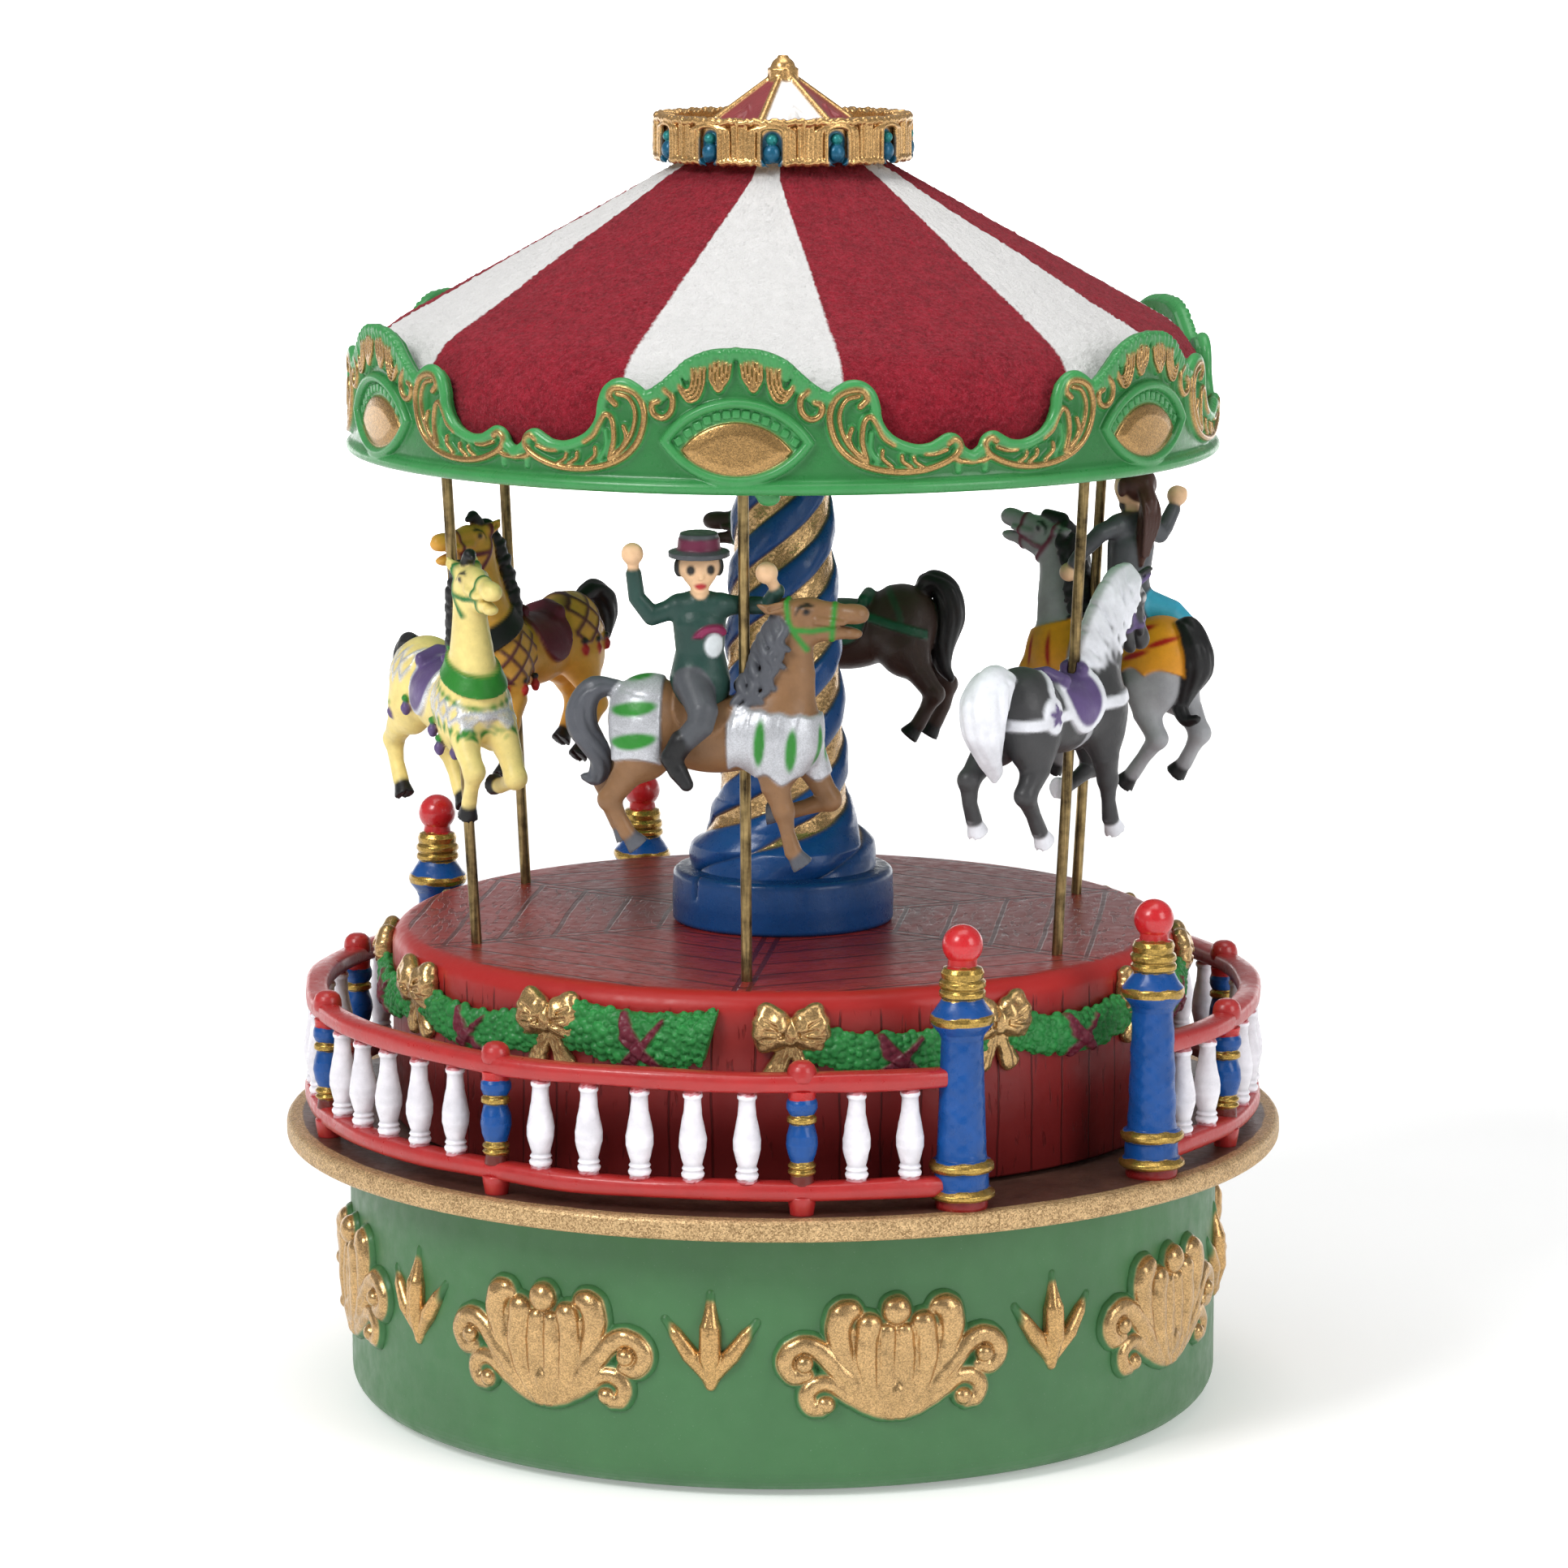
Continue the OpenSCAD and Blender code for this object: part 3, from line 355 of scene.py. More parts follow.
def deck_paint(name):
    """Red over wood: six sectors of boards laid across, grain dashes, and upright boards on the side."""
    material, tree, shader = nodes_of(name)
    z, r, angle = place_parts(tree)
    turn = math_node(tree, "DIVIDE", minus(tree, angle, math.radians(POLE_PHASE)), math.radians(60))
    sector = math_node(tree, "FLOOR", turn)
    local = times(tree, minus(tree, minus(tree, turn, sector), 0.5), math.radians(60))
    across = times(tree, r, math_node(tree, "COSINE", local))
    along = times(tree, r, math_node(tree, "SINE", local))
    on_top = step_up(tree, r, 0.0431, 0.0427)
    wander = times(tree, noise(tree, 60, 2), 0.0009)
    boards = line_mask(tree, plus(tree, across, wander), BOARD, 0.00022, 0.00012)
    edge = times(tree, r, math_node(tree, "SINE",
                                    minus(tree, math.radians(30), math_node(tree, "ABSOLUTE", local))))
    joint = math_node(tree, "ABSOLUTE", minus(tree, plus(tree, edge, times(tree, wander, 0.4)),
                                              0.00095))
    joint = step_up(tree, joint, 0.00036, 0.00022)
    board_number = math_node(tree, "FLOOR", math_node(tree, "DIVIDE", across, BOARD))
    seed = plus(tree, times(tree, sector, 3.7), times(tree, board_number, 1.3))
    grain = noise_at(tree, combine(tree, times(tree, across, 1500), times(tree, along, 330), seed), 1.0,
                     2.0, 0.5)
    dashes = step_up(tree, grain, 0.545, 0.59)
    patch = step_up(tree, noise(tree, 140, 3), 0.44, 0.60)
    dashes = times(tree, dashes, plus(tree, times(tree, patch, 0.65), 0.35))
    lines = larger(tree, boards, joint)
    top_mark = times(tree, larger(tree, times(tree, dashes, 0.7), lines), on_top)
    # the side: upright board lines at uneven spacing and short curved scratches
    round_way = times(tree, angle, 0.0447)
    lean = times(tree, noise_at(tree, combine(tree, times(tree, round_way, 90), times(tree, z, 60),
                                              0.0), 1.0, 2.0), 0.0016)
    side = line_mask(tree, plus(tree, round_way, lean), 0.0046, 0.00006, 0.0001)
    scratch = noise_at(tree, combine(tree, times(tree, round_way, 1500), times(tree, z, 230), 4.0), 1.0,
                       3.0, 0.55)
    scratch = times(tree, step_up(tree, scratch, 0.62, 0.67), 0.6)
    below = times(tree, step_up(tree, z, 0.0526, 0.0515), step_up(tree, r, 0.0435, 0.0441))
    side_mark = times(tree, larger(tree, side, scratch), below)
    mark = larger(tree, top_mark, side_mark)
    slow = ramp(tree, noise(tree, 130, 4), [(0.3, (0.25, 0.018, 0.017)), (0.7, (0.33, 0.028, 0.024))])
    # Painted highlight: the top of the rounded edge is painted a brighter red.
    painted_highlight_edge = times(tree, step_up(tree, r, 0.0424, 0.0434), step_up(tree, z, 0.0505, 0.0528))
    colour = mix(tree, painted_highlight_edge, slow, (0.40, 0.020, 0.018))
    # Painted shade: the side is painted darker towards its bottom.
    painted_shade_low = times(tree, step_up(tree, z, 0.0505, 0.0390), step_up(tree, r, 0.0435, 0.0441))
    colour = mix(tree, times(tree, painted_shade_low, 0.75), colour, (0.135, 0.010, 0.011))
    colour = mix(tree, times(tree, mark, 0.8), colour, (0.060, 0.005, 0.005))
    link(tree, colour, shader.inputs["Base Color"])
    link(tree, ramp(tree, noise(tree, 700, 3), [(0.3, 0.30), (0.7, 0.46)]), shader.inputs["Roughness"])
    shader.inputs["Specular IOR Level"].default_value = 0.3
    bump(tree, shader, minus(tree, 1.0, mark), 0.7, 0.00016)
    bump(tree, shader, noise(tree, 620, 4, 0.6), 0.28, 0.00012)
    return material


# The roof's white stripes, cut by hand: each one's two edges at the eaves and at the crown, in degrees.
STRIPES = [((-85.5, -56.0), (-93, -67)), ((-21.6, 7.9), (-14.5, -1.5)), ((41.6, 64.6), (50, 68.6)),
           ((93, 121), (98, 116)), ((147, 174), (152, 169)), ((-152, -124), (-147, -129))]
EAVES_R, STRIPE_TOP_R = 0.0455, 0.0138


def striped_flock(name, red, white):
    """Flocking in red and white stripes, mottled, with lighter and darker fibre ends."""
    material, tree, shader = nodes_of(name)
    _, r, angle = place_parts(tree)
    wob = times(tree, minus(tree, noise(tree, 1300, 3, 0.8), 0.5), 0.016)
    angle = plus(tree, angle, wob)
    up = step_up(tree, math_node(tree, "DIVIDE", 1.0, r), 1 / EAVES_R, 1 / STRIPE_TOP_R)
    is_white = None
    for (start, end), (top_start, top_end) in STRIPES:
        edges = []
        for eave, crown_end in ((start, top_start), (end, top_end)):
            edge = plus(tree, times(tree, up, math.radians(crown_end - eave)), math.radians(eave))
            edges.append(minus(tree, angle, edge))
        here = times(tree, step_up(tree, edges[0], -0.004, 0.004),
                     step_up(tree, edges[1], 0.004, -0.004))
        is_white = here if is_white is None else larger(tree, is_white, here)
    mottled = noise(tree, 520, 5, 0.72)
    tuft = noise(tree, 2100, 4, 0.8)
    fibre = noise(tree, 4300, 3, 0.8)
    reds = ramp(tree, mottled, [(0.3, shade(red, 0.72)), (0.7, shade(red, 1.25))])
    reds = mix(tree, ramp(tree, tuft, [(0.5, 0.0), (0.72, 0.6)]), reds, (0.46, 0.045, 0.075))
    reds = mix(tree, ramp(tree, tuft, [(0.3, 0.7), (0.48, 0.0)]), reds, (0.10, 0.002, 0.006))
    reds = mix(tree, ramp(tree, fibre, [(0.6, 0.0), (0.78, 0.5)]), reds, (0.62, 0.16, 0.19))
    reds = mix(tree, ramp(tree, fibre, [(0.27, 0.75), (0.42, 0.0)]), reds, (0.07, 0.002, 0.005))
    whites = ramp(tree, mottled, [(0.3, shade(white, 0.95)), (0.7, shade(white, 1.03))])
    whites = mix(tree, ramp(tree, tuft, [(0.3, 0.3), (0.46, 0.0)]), whites, shade(white, 0.8))
    link(tree, mix(tree, is_white, reds, whites), shader.inputs["Base Color"])
    shader.inputs["Roughness"].default_value = 0.95
    shader.inputs["Sheen Weight"].default_value = 0.08
    shader.inputs["Sheen Roughness"].default_value = 0.5
    shader.inputs["Specular IOR Level"].default_value = 0.12
    bump(tree, shader, fibre, 0.8, 0.0002)
    bump(tree, shader, tuft, 0.8, 0.0003)
    return material


def ledge_paint(name):
    """Gold glitter on the plate's rim and underside, dark brown on its top inside the rim, where the fence
    stands.
    """
    material = glitter(name, (0.22, 0.125, 0.045), (0.78, 0.54, 0.28), 0.5, 0.5, 6800)
    tree = material.node_tree
    shader = tree.nodes["Principled BSDF"]
    z, r, _ = place_parts(tree)
    r = plus(tree, r, times(tree, minus(tree, noise(tree, 240, 4), 0.5), 0.0008))
    rim = step_up(tree, r, 0.05515, 0.05535)
    top_side = step_up(tree, z, (LEDGE_TOP - 0.12) * MM, (LEDGE_TOP - 0.05) * MM)
    brown = times(tree, minus(tree, 1.0, rim), top_side)
    gold = shader.inputs["Base Color"].links[0].from_socket
    dark = ramp(tree, noise(tree, 420, 4), [(0.3, (0.060, 0.026, 0.018)), (0.7, (0.105, 0.048, 0.032))])
    link(tree, mix(tree, brown, gold, dark), shader.inputs["Base Color"])
    link(tree, times(tree, minus(tree, 1.0, brown), 0.5), shader.inputs["Metallic"])
    rough = shader.inputs["Roughness"].links[0].from_socket
    link(tree, mix(tree, brown, rough, ramp(tree, noise(tree, 900, 3), [(0.3, 0.3), (0.7, 0.45)])),
         shader.inputs["Roughness"])
    return material


M = {
    "paint_gloss": painted("glossy model paint", rough=0.3, coat=0.16, vary=0.14, gold_metal=0.8),
    "crown_gold": glitter("crown gold", (0.26, 0.14, 0.05), (0.85, 0.58, 0.30), 0.75, 0.4),
    "deck": deck_paint("deck boards"),
    "flock": striped_flock("striped flocking", (0.27, 0.010, 0.022), (0.80, 0.79, 0.78)),
    "ledge": ledge_paint("ledge paint"),
    "comb": metal("ground comb steel", (0.30, 0.31, 0.33), (0.66, 0.67, 0.69), 0.24, (0.08, 1, 1),
                  3000),
    "plate": metal("rolled steel plate", (0.34, 0.34, 0.35), (0.58, 0.58, 0.6), 0.34, (1, 0.06, 1),
                   1800),
    "zinc": metal("die cast zinc", (0.22, 0.23, 0.24), (0.45, 0.46, 0.48), 0.42, (1, 1, 1), 900),
    "aluminium": metal("turned aluminium", (0.45, 0.46, 0.47), (0.74, 0.75, 0.76), 0.28, (1, 1, 0.1),
                       2200),
    "canopy_plain": moulded("canopy green plastic", (0.04, 0.30, 0.07), 0.32),
    "green_cloth": flock("base felt", (0.02, 0.09, 0.045), (0.07, 0.2, 0.11), (0.005, 0.03, 0.015)),
    "paint": painted("model paint"),
    "canopy": painted("canopy plastic", rough=0.3, coat=0.25, vary=0.08, gold_metal=0.75),
    "base": moulded("green base plastic", GREEN, rough=0.4),
    "rail": hand_paint("fence red", (0.42, 0.02, 0.02), 0.35, 0.12, 0.2),
    "ball": hand_paint("ball red", (0.55, 0.012, 0.018), 0.3, 0.08, 0.4),
    "pole": metal("aged brass pole", (0.045, 0.032, 0.018), (0.42, 0.30, 0.13), 0.3),
    "brass": metal("turned brass", (0.36, 0.24, 0.09), (0.72, 0.55, 0.27), 0.25, (1, 1, 1)),
    "steel": metal("turned steel", (0.25, 0.26, 0.28), (0.62, 0.63, 0.65), 0.28, (1, 1, 1)),
    "spring": metal("blued spring steel", (0.05, 0.06, 0.11), (0.22, 0.24, 0.3), 0.25, (1, 1, 1)),
    "nylon": moulded("nylon", (0.75, 0.73, 0.65), 0.5),
    "black": moulded("black plastic", (0.015, 0.015, 0.016), 0.45),
    "white_plastic": moulded("white plastic", (0.62, 0.62, 0.60), 0.5),
}

# ------------------------------------------------------------------ mesh helpers


def mesh_piece(name, verts, faces, material, colours=None):
    """An object from points in millimetres. colours is one RGBA a point."""
    mesh = bpy.data.meshes.new(name)
    verts = np.asarray(verts, float) * MM
    mesh.from_pydata(verts.tolist(), [], [list(map(int, f)) for f in faces])
    mesh.polygons.foreach_set("use_smooth", [True] * len(mesh.polygons))
    if colours is not None:
        layer = mesh.color_attributes.new("paint", "FLOAT_COLOR", "POINT")
        layer.data.foreach_set("color", np.asarray(colours, np.float32).ravel())
    mesh.update()
    piece = bpy.data.objects.new(name, mesh)
    bpy.context.scene.collection.objects.link(piece)
    mesh.materials.append(material)
    return piece


def grid_faces(rows, columns):
    """Quads of a sheet of points in rows, each row closed on itself."""
    i, j = np.meshgrid(np.arange(rows - 1), np.arange(columns), indexing="ij")
    k = (j + 1) % columns
    quads = np.stack([i * columns + j, i * columns + k, (i + 1) * columns + k, (i + 1) * columns + j],
                     -1)
    return quads.reshape(-1, 4)


def loop_faces(rows, columns):
    """The same with the last row joined to the first."""
    j = np.arange(columns)
    k, n = (j + 1) % columns, (rows - 1) * columns
    return np.vstack([grid_faces(rows, columns), np.stack([j + n, k + n, k, j], -1)])


def arc(cx, cz, r, a0, a1, n=6):
    """Points of an arc, in degrees."""
    return [(cx + r * math.cos(math.radians(a)), cz + r * math.sin(math.radians(a)))
            for a in np.linspace(a0, a1, n + 1)]


def crown_spline(points, n=8):
    """A smooth line through a few points (Catmull-Rom)."""
    p = np.asarray(points, float)
    p = np.vstack([2 * p[0] - p[1], p, 2 * p[-1] - p[-2]])
    out = []
    for i in range(1, len(p) - 2):
        for t in np.arange(n) / n:
            a, b, c, d = p[i - 1 : i + 3]
            out.append(0.5 * (2 * b + (c - a) * t + (2 * a - 5 * b + 4 * c - d) * t**2
                              + (3 * b - a - 3 * c + d) * t**3))
    out.append(p[-2])
    return np.array(out)


def lathe_points(outline, steps):
    """Rows of points of a turned shape from its (radius, height) outline, bottom up on the outside."""
    outline = np.asarray(outline, float)
    a = np.arange(steps) / steps * TAU
    ring = np.stack([np.cos(a), np.sin(a)], -1)
    rows = [np.column_stack([r * ring, np.full(steps, z)]) for r, z in outline]
    return np.concatenate(rows)


def turned(name, outline, material, steps):
    """A turned shape whose outline starts and ends on the axis."""
    piece = mesh_piece(name, lathe_points(outline, steps), grid_faces(len(outline), steps), material)
    tidy(piece)
    return piece


def tidy(piece, distance=1e-6):
    """Welds points that meet and drops faces with no area."""
    work = bmesh.new()
    work.from_mesh(piece.data)
    bmesh.ops.remove_doubles(work, verts=work.verts, dist=distance)
    bmesh.ops.dissolve_degenerate(work, edges=work.edges, dist=distance)
    bmesh.ops.recalc_face_normals(work, faces=work.faces)
    work.to_mesh(piece.data)
    work.free()


def polar(a, r):
    """Place on the deck at angle a from the front, anticlockwise from above."""
    return r * math.sin(math.radians(a)), -r * math.cos(math.radians(a))


def wrap(points, r, a):
    """Bends (round, height, out) points round a drum of radius r, centred at angle a."""
    p = np.asarray(points, float)
    angle = np.radians(a) + p[:, 0] / r
    out = r + p[:, 2]
    return np.column_stack([out * np.sin(angle), -out * np.cos(angle), p[:, 1]])


def finish_piece(piece, body, slot, *nodes):
    """Says which body carries a piece and which CAD nodes it stands for, and hides those nodes; slot is
    not used.
    """
    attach(piece, body)
    if nodes:
        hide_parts(*nodes)
    return piece


# ------------------------------------------------------------------ carving: a distance field on a grid


def rgba(colour):
    """A colour with its gold mask, which is 0 where none is given."""
    return np.array((*colour, 0) if len(colour) == 3 else colour, np.float32)


class Carving:
    """A solid built up from round shapes on a grid, in millimetres, with a colour at each point."""

    def __init__(self, low_corner, high_corner, step, colour):
        self.step = step
        self.low = np.array(low_corner, float)
        count = np.ceil((np.array(high_corner) - self.low) / step).astype(int) + 1
        self.axes = [self.low[i] + step * np.arange(count[i]) for i in range(3)]
        self.d = np.full(count, 6.0, np.float32)
        self.c = np.zeros((*count, 4), np.float32)
        self.c[...] = rgba(colour)

    def window(self, low_corner, high_corner):
        """The part of the grid inside a box, and its X, Y and Z."""
        cut = []
        for i in range(3):
            a = int(np.clip(np.floor((low_corner[i] - self.low[i]) / self.step), 0, len(self.axes[i])))
            b = int(np.clip(np.ceil((high_corner[i] - self.low[i]) / self.step) + 1, 0,
                            len(self.axes[i])))
            cut.append(slice(a, b))
        x = self.axes[0][cut[0]][:, None, None]
        y = self.axes[1][cut[1]][None, :, None]
        z = self.axes[2][cut[2]][None, None, :]
        return tuple(cut), x, y, z

    def whole(self):
        return self.window([a[0] for a in self.axes], [a[-1] for a in self.axes])

    def tint(self, w, colour):
        """Mixes in a colour by a weight on the whole grid."""
        w = np.broadcast_to(w, self.d.shape)[..., None]
        self.c[:] = self.c * (1 - w) + rgba(colour) * w

    def merge(self, cut, d, colour, k=0.0, soft=0.12):
        """Adds a shape, given as a distance; k rounds the joint, soft blurs the colour's edge."""
        old = self.d[cut]
        d = np.broadcast_to(d, old.shape)
        if colour is not None:
            w = np.clip(0.5 - (d - old) / (2 * soft), 0, 1)[..., None]
            self.c[cut] = self.c[cut] * (1 - w) + rgba(colour) * w
        if k > 0:
            h = np.maximum(k - np.abs(d - old), 0) / k
            self.d[cut] = np.minimum(d, old) - h * h * k / 4
        else:
            self.d[cut] = np.minimum(d, old)

    def cut_out(self, cut, d, k=0.1):
        """Takes a shape away."""
        old = self.d[cut]
        d = np.broadcast_to(-d, old.shape)
        h = np.maximum(k - np.abs(d - old), 0) / k
        self.d[cut] = np.maximum(d, old) + h * h * k / 4

    @staticmethod
    def limb_distance(x, y, z, points, flat=(1, 1, 1)):
        best = None
        f = np.array(flat, float)
        for p, q in zip(points[:-1], points[1:]):
            a, b = np.array(p[:3]), np.array(q[:3])
            ab = (b - a) / f
            px, py, pz = (x - a[0]) / f[0], (y - a[1]) / f[1], (z - a[2]) / f[2]
            t = np.clip((px * ab[0] + py * ab[1] + pz * ab[2]) / max(ab @ ab, 1e-9), 0, 1)
            d = np.sqrt((px - t * ab[0]) ** 2 + (py - t * ab[1]) ** 2 + (pz - t * ab[2]) ** 2) - (p[3]
                + t * (q[3] - p[3]))
            best = d if best is None else np.minimum(best, d)
        return best

    def limb(self, points, colour=None, k=0.0, flat=(1, 1, 1), soft=0.12, cut=False, pad=1.2):
        p = np.array([q[:3] for q in points], float)
        r = max(q[3] for q in points) * max(flat) + pad + k
        window, x, y, z = self.window(p.min(0) - r, p.max(0) + r)
        d = self.limb_distance(x, y, z, points, flat) * min(flat)
        if cut:
            self.cut_out(window, d, max(k, 0.05))
        else:
            self.merge(window, d, colour, k, soft)

    def line(self, points, r, colour=None, k=0.0):
        """A smooth strand through a few points. r is the radius at each end."""
        path = crown_spline(points, 6)
        self.limb([(*p, q) for p, q in zip(path, np.linspace(*r, len(path)))], colour, k, pad=0.8)

    def ball(self, centre, r, colour=None, k=0.0, turn=0.0, axis="x"):
        """An ellipsoid; r is (rx, ry, rz). turn tilts it about one axis, in degrees."""
        r = np.array(r if hasattr(r, "__len__") else (r, r, r), float)
        reach = r.max() + 1.2 + k
        centre = np.array(centre, float)
        window, x, y, z = self.window(centre - reach, centre + reach)
        px, py, pz = x - centre[0], y - centre[1], z - centre[2]
        s, c = math.sin(math.radians(turn)), math.cos(math.radians(turn))
        if axis == "x":
            py, pz = c * py + s * pz, -s * py + c * pz
        elif axis == "y":
            px, pz = c * px - s * pz, s * px + c * pz
        else:
            px, py = c * px + s * py, -s * px + c * py
        k0 = np.sqrt((px / r[0]) ** 2 + (py / r[1]) ** 2 + (pz / r[2]) ** 2)
        k1 = np.sqrt((px / r[0] ** 2) ** 2 + (py / r[1] ** 2) ** 2 + (pz / r[2] ** 2) ** 2)
        self.merge(window, k0 * (k0 - 1) / np.maximum(k1, 1e-6), colour, k)

    def surface(self):
        """Points, quads and colours of the zero surface (surface nets)."""
        d = self.d
        inside = d < 0
        n = np.array(d.shape)
        corners = [(i, j, k) for i in (0, 1) for j in (0, 1) for k in (0, 1)]
        count = sum(inside[i : n[0] - 1 + i, j : n[1] - 1 + j, k : n[2] - 1 + k].astype(np.int8) for i,
                    j, k in corners)
        active = (count > 0) & (count < 8)
        cell = np.argwhere(active)
        number = np.full(active.shape, -1, np.int64)
        number[active] = np.arange(len(cell))
        value = {c: d[cell[:, 0] + c[0], cell[:, 1] + c[1], cell[:, 2] + c[2]] for c in corners}
        total, hits = np.zeros((len(cell), 3)), np.zeros(len(cell))
        for a in corners:
            for axis in range(3):
                if a[axis] == 0:
                    b = tuple(1 if i == axis else a[i] for i in range(3))
                    va, vb = value[a], value[b]
                    crosses = (va < 0) != (vb < 0)
                    t = np.where(crosses, va / np.where(crosses, va - vb, 1), 0)
                    spot = np.tile(np.array(a, float), (len(cell), 1))
                    spot[:, axis] += t
                    total += spot * crosses[:, None]
                    hits += crosses
        inner = total / hits[:, None]
        points = self.low + (cell + inner) * self.step
        colours = np.zeros((len(cell), 4))
        for c in corners:
            w = np.prod([inner[:, i] if c[i] else 1 - inner[:, i] for i in range(3)], axis=0)
            colours += self.c[cell[:, 0] + c[0], cell[:, 1] + c[1], cell[:, 2] + c[2]] * w[:, None]
        quads = []
        for axis in range(3):
            u, v = [(1, 2), (2, 0), (0, 1)][axis]
            shape = n.copy()
            shape[axis] -= 1
            a = inside[tuple(slice(0, s) for s in shape)]
            b = inside[tuple(slice(1 if i == axis else 0, (1 if i == axis else 0) + shape[i])
                             for i in range(3))]
            edge = np.argwhere(a != b)
            edge = edge[(edge[:, u] > 0) & (edge[:, v] > 0) & (edge[:, u] < n[u] - 1)
                        & (edge[:, v] < n[v] - 1)]
            forward = a[tuple(edge.T)]

            def around(du, dv):
                e = edge.copy()
                e[:, u] -= du
                e[:, v] -= dv
                return number[tuple(e.T)]

            quad = np.stack([around(1, 1), around(0, 1), around(0, 0), around(1, 0)], -1)
            quad[~forward] = quad[~forward][:, ::-1]
            quads.append(quad)
        return points, np.vstack(quads), colours


def path_distance(a, b, points, widths=None):
    """Distance in a plane from a line of points, less its half-width, which may change along it."""
    best = None
    widths = [0] * len(points) if widths is None else widths
    for p, q, wp, wq in zip(points[:-1], points[1:], widths[:-1], widths[1:]):
        u, v = q[0] - p[0], q[1] - p[1]
        t = np.clip(((a - p[0]) * u + (b - p[1]) * v) / max(u * u + v * v, 1e-9), 0, 1)
        d = np.sqrt((a - p[0] - t * u) ** 2 + (b - p[1] - t * v) ** 2) - (wp + t * (wq - wp))
        best = d if best is None else np.minimum(best, d)
    return best


def oval_distance(a, b, centre, half, turn=0.0):
    """Rough distance from an oval in a plane."""
    s, c = math.sin(math.radians(turn)), math.cos(math.radians(turn))
    p, q = a - centre[0], b - centre[1]
    p, q = (c * p + s * q) / half[0], (-s * p + c * q) / half[1]
    return (np.sqrt(p * p + q * q) - 1) * min(half)


# ------------------------------------------------------------------ horses
# +X is outwards, +Y forwards, and the pole is the Z axis.

BODY = dict(low_corner=(-6.2, -20.5, -17), high_corner=(6.2, 15.5, 18.5))
HORSE_STEP = 0.2


def paint(c, region, colour, near=None, soft=0.1):
    """Colours whatever lies in a region; near is a field whose surface the paint keeps to."""
    _, x, y, z = c.whole()
    w = np.clip(0.5 - region(x, y, z) / (2 * soft), 0, 1)
    if near is not None:
        w = w * (np.abs(near) < 0.75)
    c.tint(w, colour)


def raise_coat(c, skin, region, thick, colour, soft=0.1):
    """A raised layer on a stored skin, coloured as a whole."""
    _, x, y, z = c.whole()
    r = region(x, y, z)
    edge = np.maximum(skin - thick, r + 0.35 * np.maximum(skin, 0))
    h = np.maximum(0.15 - np.abs(edge - c.d), 0) / 0.15
    c.d[:] = np.minimum(edge, c.d) - h * h * 0.15 / 4
    c.tint(np.clip(0.5 - r / (2 * soft), 0, 1) * (np.abs(skin) < thick + 0.4), colour)


HOOF_LONG, HOOF_R0, HOOF_R1 = 1.9, 0.8, 1.3


def hoof(c, ankle, way, colour):
    """A hoof from the ankle along way, an angle in degrees below straight ahead."""
    a = math.radians(way)
    along = (0, math.cos(a), -math.sin(a))
    window, x, y, z = c.window([p - 3.4 for p in ankle], [p + 3.4 for p in ankle])
    px, py, pz = x - ankle[0], y - ankle[1], z - ankle[2]
    t = py * along[1] + pz * along[2]
    side = py * along[2] - pz * along[1]
    q = np.sqrt((px / 0.9) ** 2 + side**2)
    width = HOOF_R0 + (HOOF_R1 - HOOF_R0) * np.clip(t / HOOF_LONG, 0, 1)
    d = np.maximum((q - width) * 0.9, np.maximum(-t - 0.2, t - HOOF_LONG))
    d = np.maximum(d, -(np.sqrt(px**2 + (t - HOOF_LONG) ** 2) - 0.22))
    c.merge(window, d, colour, 0.15)


def leg(c, points, colour, hoof_way, hoof_colour):
    """A leg from the body to the fetlock, with its hoof."""
    c.limb(points, colour, k=0.9)
    knee, ankle = points[-3], points[-1]
    c.ball(knee[:3], knee[3] * 1.12, None, k=0.5)
    hoof(c, ankle[:3], hoof_way, hoof_colour)


